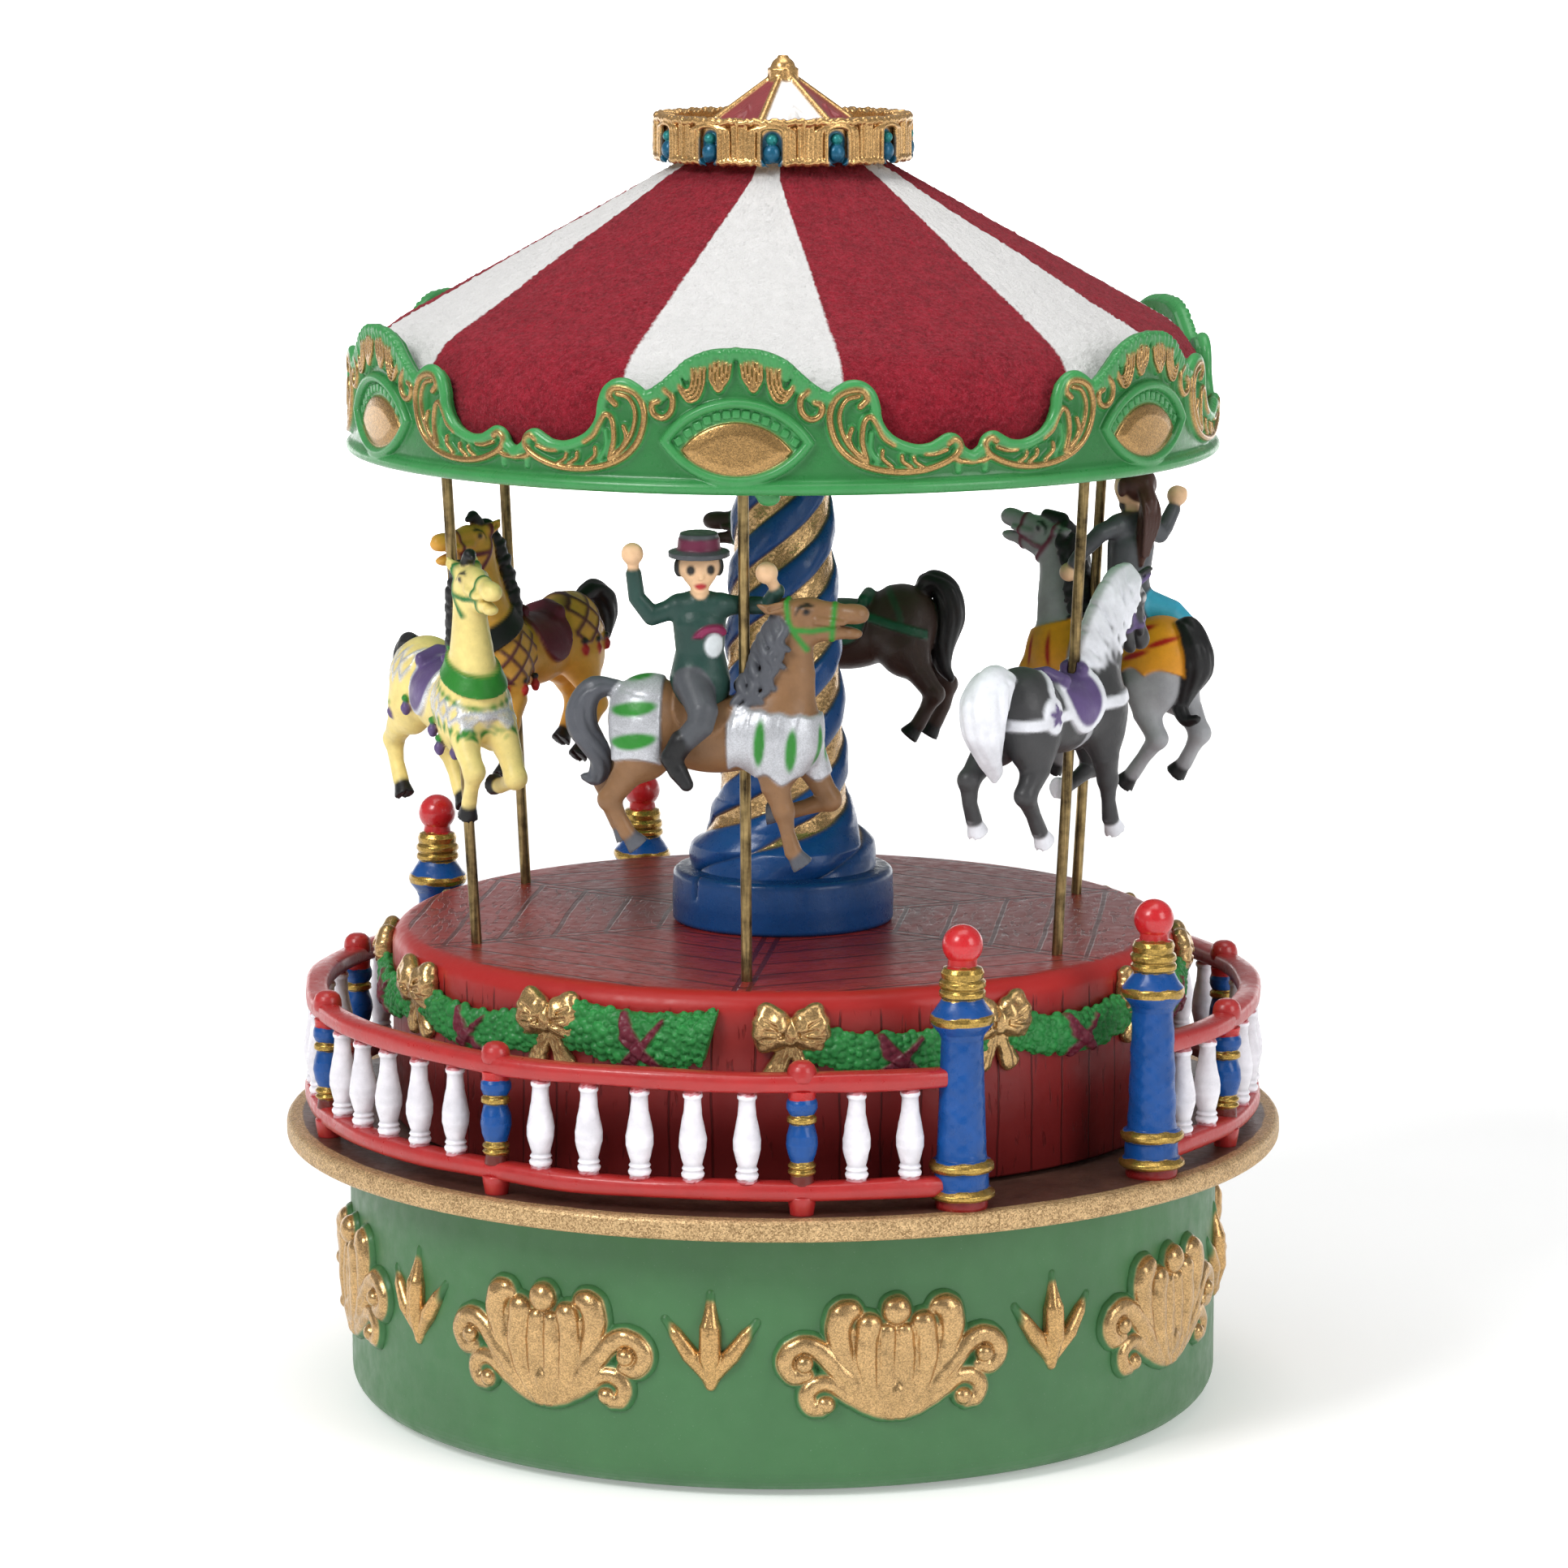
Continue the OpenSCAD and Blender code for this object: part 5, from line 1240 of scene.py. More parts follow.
def horse_brown():
    c, skin = bare_horse(
        BROWN, BLACK, [(4.0, 2.6, 3.6), (4.8, 6.4, 2.9), (5.2, 9.4, 2.4), (5.8, 11.6, 2.1)], 0.8,
        ("bent", "straight", "stretched", "back"), (6.2, 12.0), 2, (0.012, 0.11, 0.045),
        eye=(0.5, 0.5, 0.5), ears=-0.5)
    strands(c, [(4.0, 13.6), (2.4, 11.2), (1.2, 8.4), (0, 5.8)],
            [(4.8, 10.6), (4.4, 8.2), (3.4, 5.6), (1.8, 3.6)], 0.65, (0.028, 0.018, 0.015), 0.3,
            wide=2.3, n=14)
    tail(c, [(-12.8, 5.0), (-14.0, 6.0), (-15.6, 4.8), (-16.0, 1.8), (-15.2, -1.4), (-15.2, -4.0),
             (-16.2, -5.6)], [1.1, 1.7, 1.9, 1.8, 1.5, 1.0, 0.5], BLACK, 9)
    green = (0.012, 0.10, 0.05)
    raise_coat(c, skin, lambda x, y, z: np.maximum(np.abs(z - 1.2 - 0.28 * (y + 9)) - 0.55,
                                                   np.maximum(-13.6 - y, y - 8)), 0.2, green)
    raise_coat(c, skin, lambda x, y, z: np.maximum(np.abs(z - 3.6 + 0.4 * (y - 4)) - 0.8, 1.0 - y),
               0.25, green)
    raise_coat(c, skin, lambda x, y, z: np.maximum(path_distance(y, z,
        [(-8.0, 6.6), (-10.2, 2.6), (-10.6, 0.6)], [0.35] * 3), 0 * x), 0.2, green)
    saddle(c, skin, green, (0.03, 0.02, 0.016), (-3.2, 1.8, 2.9, 3.8), -8, 0.4, 0.3)
    return horse_piece("horse_brown_figure", c, 3)


# ------------------------------------------------------------------ riders

RIDER_BOX = dict(low_corner=(-9.6, -14.6, -6.5), high_corner=(11, 6, 24.5))
JACKET = (0.018, 0.055, 0.045)
TROUSERS = (0.075, 0.08, 0.09)


SEAT_Y = -4.8


def seated(c, jacket, trousers, turn, sides=(-1, 1), lift=0.0):
    """Hips, legs and torso of a rider; turn is where the chest looks, from forwards to outwards."""
    a = math.radians(turn)
    side, ahead = (math.cos(a), -math.sin(a)), (math.sin(a), math.cos(a))

    def at(across, out, z, r=None):
        z += lift * min(max((z - 5.8) / 7.0, 0), 1)
        p = (across * side[0] + out * ahead[0], SEAT_Y + across * side[1] + out * ahead[1], z)
        return p if r is None else (*p, r)

    for s in sides:
        c.limb([(s * 1.6, -5.4, 5.6, 2.0), (s * 4.4, -4.0, 3.0, 1.65), (s * 5.0, -4.2, 1.6, 1.45),
                (s * 5.1, -6.2, -0.4, 1.2)], trousers, k=0.5)
        c.limb([(s * 5.15, -6.2, -0.2, 1.32), (s * 5.25, -7.2, -1.9, 1.2)], BLACK, k=0.15)
        c.limb([(s * 5.3, -7.4, -2.1, 1.0), (s * 5.4, -6.6, -3.4, 1.05), (s * 5.5, -5.7, -4.8, 0.75)],
               BLACK, k=0.4)
    for wide in (-0.45, 0.45):
        c.limb([at(wide, 0, 5.8, 2.8), at(wide, 0.1, 8.8, 2.15), at(wide, 0, 11.6, 2.4),
                at(wide, 0, 13.4, 1.7)], jacket, k=0.6)
    c.limb([at(-2.2, 0, 13.6, 1.35), at(2.2, 0, 13.6, 1.35)], jacket, k=0.8)
    c.limb([at(0, 0, 4.6, 3.2), at(0, 0, 6.4, 2.6)], jacket, k=0.5)
    c.limb([at(0, 0, 14, 0.95), at(0, 0.1, 15.6, 0.9)], SKIN, k=0.2)
    c.limb([at(-1.1, 0.3, 14.5, 0.6), at(0, 0.95, 14.1, 0.6), at(1.1, 0.3, 14.5, 0.6)], jacket, k=0.25)
    c.limb([at(-1.1, -0.3, 14.5, 0.6), at(0, -0.9, 14.7, 0.6), at(1.1, -0.3, 14.5, 0.6)], jacket,
           k=0.25)
    return at


def toy_head(c, at, z, hair):
    """A plain painted toy head: an egg with a pointed chin, dark oval eyes and a small red mouth."""
    c.ball(at(0, 0.3, z + 0.6), (2.15, 2.1, 2.2), SKIN, k=0.3)
    c.limb([at(0, 0.6, z - 0.3, 1.6), at(0, 1.0, z - 1.7, 0.95), at(0, 1.1, z - 2.3, 0.6)], SKIN, k=0.6)
    c.limb([at(0, 2.1, z + 0.3, 0.2), at(0, 2.5, z - 0.35, 0.3)], SKIN, k=0.35)
    c.ball(at(0, -0.65, z + 0.9), (2.2, 2.05, 2.1), hair, k=0.1)
    for s in (-1, 1):
        c.ball(at(s * 2.1, -0.1, z + 0.45), (0.45, 0.6, 1.1), hair, k=0.2)


def toy_face(c, at, z):
    """Paint of the eyes and mouth, in the plane across the way the head looks."""
    o, u, v = np.array(at(0, 0, 0)[:2]), np.array(at(1, 0, 0)[:2]), np.array(at(0, 1, 0)[:2])
    across, ahead = u - o, v - o

    def flat(x, y):
        px, py = x - o[0], y - o[1]
        return px * across[0] + py * across[1], px * ahead[0] + py * ahead[1]

    def mark(place, half, turn=0.0):
        def region(x, y, height):
            a, b = flat(x, y)
            return np.maximum(oval_distance(a, height - z, place, half, turn), 0.3 - b)
        return region

    for s in (-1, 1):
        paint(c, mark((s * 1.08, 0.45), (0.46, 0.56), s * 14), (0.02, 0.018, 0.016), None, 0.06)
    paint(c, mark((0, -1.35), (0.66, 0.36)), (0.38, 0.02, 0.025), None, 0.06)


def arm(c, points, sleeve):
    """A sleeve from shoulder to wrist and a round fist."""
    c.limb(points[:-1], sleeve, k=0.5)
    wrist, fist = np.array(points[-2][:3]), points[-1]
    c.limb([(*wrist, 0.62), (*(wrist + 0.5 * (np.array(fist[:3]) - wrist)), 0.62)], SKIN, k=0.1)
    c.ball(fist[:3], fist[3], SKIN, k=0.3)
    for i in range(3):
        c.ball((fist[0] + 0.5, fist[1] - 0.5 + 0.5 * i, fist[2] + 0.55), 0.42, SKIN, k=0.25)


def cut_to_horse(c):
    """Trims a rider where the horse is."""
    window, x, y, z = c.window((-10, -20, -10), (10, 20, 30))
    body = np.minimum(
        (np.sqrt((x / 3.95) ** 2 + ((y + 3.2) / 7.0) ** 2 + ((z + 0.5) / 4.15) ** 2) - 1) * 3.9,
        (np.sqrt((x / 4.1) ** 2 + ((y + 10.2) / 4.6) ** 2 + ((z - 1.1) / 4.7) ** 2) - 1) * 4.0)
    c.cut_out(window, body - 0.15, 0.05)


def rider_hat():
    c = Carving(RIDER_BOX["low_corner"], RIDER_BOX["high_corner"], 0.16, JACKET)
    at = seated(c, JACKET, TROUSERS, 78)
    arm(c, [(0.2, -6.8, 13.6, 1.15), (0.9, -9.8, 12.6, 1.05), (1.1, -11.4, 14.6, 0.9),
            (1.2, -11.7, 17.2, 0.85), (1.3, -11.8, 19.4, 1.2)], JACKET)
    arm(c, [(0.2, -2.9, 13.8, 1.15), (-1.7, -0.2, 13.4, 1.0), (-1.7, 2.4, 13.4, 0.95),
            (-0.6, 3.5, 15.2, 0.85), (0.2, 2.5, 17.3, 1.2)], JACKET)
    z = 17.4
    toy_head(c, at, z, (0.012, 0.014, 0.013))
    for r0, r1, z0, z1, colour in ((2.2, 2.05, z + 1.9, z + 4.2, TROUSERS),
                                   (2.34, 2.2, z + 2.2, z + 3.6, (0.15, 0.02, 0.055))):
        o = at(0, 0.1, 0)
        window, x, y, h = c.window((o[0] - 4, o[1] - 4, z0 - 1), (o[0] + 4, o[1] + 4, z1 + 1))
        q = np.sqrt((x - o[0]) ** 2 + (y - o[1]) ** 2)
        c.merge(window, np.maximum(q - r0 - (r1 - r0) * (h - z0) / (z1 - z0),
                                   np.maximum(z0 - h, h - z1)), colour, 0.25)
    o = at(0, 0.2, 0)
    window, x, y, h = c.window((o[0] - 4.2, o[1] - 4.2, z), (o[0] + 4.2, o[1] + 4.2, z + 4))
    q = np.sqrt((x - o[0]) ** 2 + (y - o[1]) ** 2)
    brim = z + 2.15 - 0.085 * np.maximum(q - 1.6, 0) ** 2
    c.merge(window, np.maximum(np.abs(h - brim) - 0.28, q - 3.3), shade(TROUSERS, 0.9), 0.25)
    toy_face(c, at, z)
    a0, b0 = np.array(at(0, 0, 0)[:2]), np.array(at(1, 0, 0)[:2])
    across = b0 - a0

    def chest(shape):
        return lambda x, y, z: np.maximum(shape((x - a0[0]) * across[0] + (y - a0[1]) * across[1], z),
                                          0.8 - x)

    skin = c.d.copy()
    raise_coat(c, skin, chest(lambda a, h: oval_distance(a, h, (-1.35, 9.7), (1.05, 1.35), 0)), 0.3,
               (0.62, 0.66, 0.68))
    raise_coat(c, skin, chest(lambda a, h: np.maximum(np.abs(oval_distance(a, h, (-1.2, 10.0),
        (1.75, 1.5))) - 0.45, 10.5 - h)), 0.5, (0.22, 0.02, 0.075))
    cut_to_horse(c)
    return horse_piece("rider_hat_figure", c, 0)


RIDER_LIFT = 2.4


def rider_ponytail():
    c = Carving(RIDER_BOX["low_corner"], RIDER_BOX["high_corner"], 0.18, TROUSERS)
    jacket, cyan = (0.075, 0.08, 0.088), (0.05, 0.42, 0.60)
    at = seated(c, jacket, cyan, 8, sides=(-1,), lift=RIDER_LIFT)
    c.limb([(1.2, -6.0, 6.6, 2.3), (3.2, -8.6, 5.8, 1.9), (4.6, -10.4, 4.0, 1.6),
            (5.0, -11.2, 2.6, 1.5)], cyan, k=0.5)
    c.limb([(5.0, -11.2, 2.2, 1.3), (5.2, -11.0, 0.2, 1.1), (5.4, -10.0, -0.8, 0.9)], BLACK, k=0.3)
    up = RIDER_LIFT
    arm(c, [(1.8, -4.8, 13.8 + up, 1.2), (5.2, -5.0, 12.4 + up, 1.05), (6.2, -5.0, 13.2 + up, 0.95),
            (7.6, -5.0, 15.2 + up, 0.85), (8.2, -5.0, 16.8 + up, 1.2)], jacket)
    arm(c, [(-1.8, -4.6, 13.8 + up, 1.2), (-4.6, -3.8, 12.8 + up, 1.05), (-5.7, -2.2, 13.0, 0.9),
            (-6.0, -1.4, 11.6, 0.85), (-6.0, -0.6, 10.4, 1.1)], jacket)
    z = 17.6
    hair = (0.06, 0.022, 0.015)
    toy_head(c, at, z, hair)
    toy_face(c, at, z)
    c.limb([at(-0.3, -1.8, z + 1.0, 1.0), at(-0.5, -2.9, z - 1.0, 1.0), at(-0.6, -2.8, z - 3.6, 1.05),
            at(-0.6, -2.6, z - 6.0, 0.7), at(-0.6, -2.5, z - 7.4, 0.25)], hair, k=0.35)
    for i in range(5):
        s = (i - 2) * 0.4
        c.line([at(-0.3 + s, -2.0, z + 0.6), at(-0.5 + s * 1.4, -3.6, z - 2.6),
                at(-0.6 + s * 0.5, -3.0, z - 6.6)], (0.42, 0.2), hair, k=0.08)
    for s in (-1, 1):
        paint(c, lambda x, y, z: np.maximum(path_distance(y, z, [(-7.2, 3.6), (-4.0, 1.2), (-3.0, 0.2)],
            [0.42] * 3), 3.4 - s * x), (0.10, 0.02, 0.09), None, 0.08)
    cut_to_horse(c)
    return horse_piece("rider_ponytail_figure", c, 2)


FIGURES = [(horse_tan, "tan_coat"), (horse_charcoal, "charcoal_coat"), (horse_grey, "grey_coat"),
           (horse_brown, "brown_coat"),
           (horse_golden, "golden_coat"), (horse_pale, "pale_coat"), (rider_hat, "rider_green"),
           (rider_ponytail, "rider_grey")]


def figures():
    for make, slot in FIGURES:
        finish_piece(make(), "carousel", slot, make.__name__)


# ------------------------------------------------------------------ reliefs wrapped round a drum
# Their points are (way round, height, way out).

def strip(r, copies, low_z, high_z, low_h, high_h, steps, colour):
    """A carving of one of `copies` equal stretches of a drum's skin, with x = 0 at its middle."""
    period = TAU * r / copies
    step = period / steps
    c = Carving((-period / 2, low_z, low_h), (period / 2 - step, high_z, high_h), step, colour)
    c.period, c.r, c.copies = period, r, copies
    return c


def both(c, add):
    """Adds a feature on both sides of the middle, and again where it crosses the end of the stretch."""
    for side in (-1, 1):
        for shift in (-c.period, 0, c.period):
            add(lambda points: [(side * p[0] + shift, *p[1:]) for p in points])


def ring_of(name, c, angle, material):
    """Repeats a stretch round the drum and closes the seam."""
    c.d = np.concatenate([c.d] * c.copies + [c.d[:2]], axis=0)
    c.c = np.concatenate([c.c] * c.copies + [c.c[:2]], axis=0)
    c.axes[0] = c.low[0] + c.step * np.arange(c.d.shape[0])
    points, quads, colours = c.surface()
    piece = mesh_piece(name, wrap(points, c.r, angle), quads[:, ::-1], material, colours)
    tidy(piece, 2e-6)
    return piece


def copies_of(name, c, r, angles, material):
    """Meshes one relief and puts a copy at each angle of the drum."""
    points, quads, colours = c.surface()
    verts = np.vstack([wrap(points, r, a) for a in angles])
    faces = np.vstack([quads[:, ::-1] + n * len(points) for n in range(len(angles))])
    return mesh_piece(name, verts, faces, material, np.vstack([colours] * len(angles)))


def vesica(a, b, half_wide, half_high):
    """Distance from an eye shape: where two equal discs overlap."""
    r = (half_wide**2 + half_high**2) / (2 * half_high)
    return np.maximum(np.sqrt(a**2 + (b + r - half_high) ** 2),
                      np.sqrt(a**2 + (b - r + half_high) ** 2)) - r


DARK_GREEN = (0.022, 0.17, 0.04)
# Painted highlight: the rims, beads and dentils are painted a lighter green than the wall, though the
# moulding's greens are alike.
HIGHLIT_RIM_GREEN = (0.044, 0.255, 0.072)
VALANCE_GOLD = (0.40, 0.235, 0.085, 1)
EYES, EYE_PHASE = 6, -5.8
CREST = [(0, 124.0), (2.6, 123.8), (4.9, 122.9), (6.4, 121.6), (7.8, 120.4), (9.3, 119.4), (9.9, 119.3),
         (10.8, 120.0), (12.0, 120.6), (13.2, 120.5),
         (14.2, 119.7), (14.7, 118.4), (14.9, 117.0), (15.4, 115.9), (16.3, 114.9), (17.5, 114.2),
         (19.2, 113.7), (20.8, 113.8), (21.9, 114.3),
         (22.9, 114.8), (23.7, 114.5), (24.3, 113.5), (25.6, 112.6)]


def valance():
    c = strip(VALANCE_R, EYES, VALANCE_LOW - 1, 126, -2.4, 2.2, 330, CANOPY_GREEN)
    window, s, z, h = c.whole()
    crest = np.interp(np.abs(s), *np.array(CREST).T)
    wall = np.maximum(np.maximum(np.abs(h + 0.85) - 0.55, (z - crest + 0.45) * 0.8),
                      VALANCE_LOW + 0.3 - z)
    c.merge(window, wall, DARK_GREEN, 0.0)
    c.merge(window, np.sqrt(((z - 109.25) / 1.05) ** 2 + ((h + 0.35) / 1.25) ** 2) * 0.6 - 0.42,
            HIGHLIT_RIM_GREEN, 0.45)
    lens = vesica(s, z - 114.15, 8.2, 4.55)
    c.merge(window, np.maximum(np.maximum(lens, h), -1.2 - h), CANOPY_GREEN, 0.1)
    rim = np.sqrt((lens + 0.45) ** 2 + ((h + 0.05) * 0.8) ** 2) - 0.5
    c.cut_out(window, np.maximum(lens + 0.8, -0.35 - h), 0.15)
    c.merge(window, rim, HIGHLIT_RIM_GREEN, 0.25)
    dome = vesica(s, z - 113.2, 5.9, 3.0)
    c.merge(window, np.maximum(dome, h + 0.1 - 0.3 * np.clip(-dome / 1.2, 0, 1) ** 0.8), VALANCE_GOLD,
            0.12, 0.08)
    # the crest's beaded rim, the dentils over the eye, tufts, scrolls and leaves
    path = crown_spline([(p[0], p[1] - 0.5) for p in CREST if p[0] <= 9.3], 6)
    both(c, lambda m: c.limb([(p[0], p[1], -0.25, 0.62) for p in m(path)], HIGHLIT_RIM_GREEN, k=0.3))
    for i in range(12):
        p, q = path[int((i + 0.5) / 12 * (len(path) - 2))], path[int((i + 0.5) / 12 * (len(path) - 2))
            + 1]
        along = (q - p) / np.linalg.norm(q - p)
        inward = np.array([along[1], -along[0]])
        a, b = p - inward * 0.25 - along * 0.15, p + inward * 0.95 + along * 0.3
        both(c, lambda m: c.limb([(*q, hh, 0.4) for q,
                                  hh in zip(m([tuple(a), tuple(b)]), (0.1, -0.05))], HIGHLIT_RIM_GREEN, k=0.12))
    path = crown_spline([(p[0], p[1] - 0.5) for p in CREST if p[0] >= 9.3], 5)
    both(c, lambda m: c.limb([(p[0], p[1], -0.2, 0.6) for p in m(path)], CANOPY_GREEN, k=0.35))
    for i in range(13):
        a = -6.2 + 12.4 * i / 12
        zc = 117.15 - 3.0 * (a / 6.2) ** 2
        tilt = 0.95 * a / 6.2
        u, v = s - a, z - zc
        p, q = u * math.cos(tilt * 0.6) - v * math.sin(tilt * 0.6), u * math.sin(tilt
            * 0.6) + v * math.cos(tilt * 0.6)
        box = np.maximum(np.maximum(np.abs(p) - 0.26, np.abs(q) - 0.3), np.abs(h + 0.3) - 0.12)
        c.merge(window, box - 0.16, HIGHLIT_RIM_GREEN, 0.08)

    def rib(points, r, lift=0.2, gold=True):
        path = crown_spline(points, 6)
        both(c, lambda m: c.limb([(p[0], p[1], -0.2, r + 0.12) for p in m(path)], CANOPY_GREEN, k=0.26,
                                 pad=0.7))
        if gold:
            both(c, lambda m: c.limb([(p[0], p[1], lift, r * 0.9) for p in m(path)], VALANCE_GOLD,
                                     k=0.05, pad=0.7, soft=0.1))

    for i in range(6):
        t = i / 5
        rib([(0.55 + 2.1 * t, 122.3 + 0.35 * math.sin(t * math.pi)), (0.75 + 2.0 * t, 121.0),
             (1.25 + 1.2 * t, 119.5 + 0.7 * (2 * t - 1) ** 2)], 0.17, 0.28)
    for i in range(4):
        t = i / 3
        rib([(3.3 + 1.3 * t, 122.0 - 0.2 * t), (3.4 + 1.2 * t, 120.3 + 0.6 * t),
             (4.0 + 0.9 * t, 118.8 + 1.0 * t), (5.0 + 0.5 * t, 118.4 + 1.2 * t),
             (5.9 + 0.1 * t, 119.4 + 0.7 * t)], 0.17, 0.28)
    rib([(7.6, 119.6), (6.8, 118.8), (6.9, 117.4), (7.8, 116.6), (8.8, 117.0), (9.0, 118.0),
         (8.3, 118.4)], 0.34)
    rib([(13.1, 117.9), (13.8, 118.7), (13.3, 119.6), (11.9, 119.6), (10.6, 118.9), (9.9, 117.4),
         (10.0, 115.6), (10.8, 113.7), (12.4, 112.2), (14.6, 111.3),
         (17.2, 110.9), (19.8, 111.0), (22.0, 111.6), (23.6, 112.5), (24.1, 113.6), (23.4, 114.2),
         (22.8, 113.8)], 0.36)
    rib([(12.9, 119.0), (11.6, 118.6), (10.9, 117.2), (11.1, 115.4), (11.9, 113.8), (13.4, 112.4)],
        0.26)
    rib([(12.2, 115.6), (11.9, 114.4), (12.6, 113.0), (13.6, 112.2)], 0.26)
    rib([(13.8, 112.2), (13.3, 114.2), (13.5, 116.2), (14.2, 116.8), (14.9, 115.9), (15.6, 114.6),
         (16.7, 113.8)], 0.3)
    rib([(14.3, 115.0), (14.2, 113.4), (15.0, 112.0)], 0.2, gold=False)
    rib([(15.5, 113.2), (15.5, 112.4), (16.5, 111.5)], 0.24)
    rib([(17.6, 112.6), (17.7, 112.0), (18.6, 111.4)], 0.24)
    rib([(18.9, 112.4), (19.1, 111.9), (19.9, 111.4)], 0.22)
    rib([(20.2, 112.7), (21.3, 112.7), (22.6, 113.1)], 0.24)
    rib([(23.4, 112.2), (24.4, 111.8), (25.6, 111.7)], 0.26)
    rib([(23.9, 111.8), (24.0, 110.9)], 0.26, gold=False)
    piece = ring_of("valance_crest", c, EYE_PHASE, M["canopy"])
    return finish_piece(piece, "carousel", "canopy_green", "valance")


NICHES, NICHE_PHASE = 12, -5
AQUA = (0.012, 0.10, 0.17)
CROWN_GOLD = (0.60, 0.36, 0.14, 1)


def crown():
    c = strip(CROWN_R, NICHES, CROWN_LOW - 1, CROWN_TOP + 1.4, -2.6, 1.2, 76, CROWN_GOLD)
    window, s, z, h = c.whole()
    turn = TAU * s / c.period
    rough = 0.12 * np.sin(3 * turn + 0.6) + 0.1 * np.sin(7 * turn) + 0.07 * np.sin(11 * turn + 2)
    belly = -0.35 + 0.35 * ((z - 143.4) / 2.4) ** 2
    wall = np.maximum(np.maximum(np.abs(h + 1.15 - belly / 2) - 0.8 - belly / 2,
                                 z - (CROWN_TOP - 0.35) - rough), CROWN_LOW + 0.35 - z)
    c.merge(window, wall, None, 0.0)
    for zc, r in ((CROWN_LOW + 0.35, 0.42), (CROWN_TOP - 0.6, 0.42)):
        c.merge(window, np.sqrt((z - zc - 0.5 * rough) ** 2 + (h + 0.3) ** 2) - r, None, 0.3)
    for i, half in enumerate((1.42, 2.0, 2.55, 3.1, 3.62)):
        top_z = 144.2 - 0.02 * i
        lift = 0.12 - 0.06 * i
        arch = [(half, CROWN_LOW + 0.4), (half, 142.6), (half, top_z - 0.55 * half * 0.4)]
        arch += [(half * math.cos(t), top_z + 0.35 + 0.75 * math.sin(t))
                 for t in np.linspace(0.25, math.pi / 2, 6)] if i < 3 else [(half * 0.98,
                     CROWN_TOP - 0.5)]
        wob = 0.05 * math.sin(5 * i)
        both(c, lambda m: c.limb([(p[0] + wob, p[1], lift - 0.25, 0.27) for p in m(arch)], None, k=0.1,
                                 pad=0.6))
    c.limb([(3.7, CROWN_LOW + 0.5, -0.2, 0.25), (3.75, CROWN_TOP - 0.4, -0.15, 0.3)], None, k=0.1)
    niche = np.maximum(path_distance(s, z, [(0, 142.0), (0, 143.6)], [1.12, 1.12]), -0.62 - h)
    c.cut_out(window, niche, 0.12)
    c.tint(np.clip(0.5 - path_distance(s, z, [(0, 141.4), (0, 143.6)], [1.2, 1.2]) / 0.2, 0, 1)
           * (h < 0.12), (*AQUA, 0.25))
    c.ball((0, 142.35, -0.45), (0.95, 1.05, 0.75), (0.010, 0.11, 0.20, 0.3), k=0.05)
    c.ball((0, 143.85, -0.42), (0.66, 0.62, 0.62), (0.014, 0.21, 0.21, 0.3), k=0.05)
    piece = ring_of("crown_ring_relief", c, NICHE_PHASE, M["paint_gloss"])
    finish_piece(piece, "carousel", "crown_gold")
    floor = turned("crown_floor", [(0, CROWN_LOW + 0.2), (CROWN_R - 1.4, CROWN_LOW + 0.2),
                                   (CROWN_R - 1.2, CROWN_LOW + 0.7), (CROWN_R - 2.0, CROWN_LOW + 2.9),
                                   (CROWN_R - 3.4, 144.8), (6.6, 145.3), (0, 145.4)], M["crown_gold"],
                                   96)
    finish_piece(floor, "carousel", "crown_gold", "crown_ring")


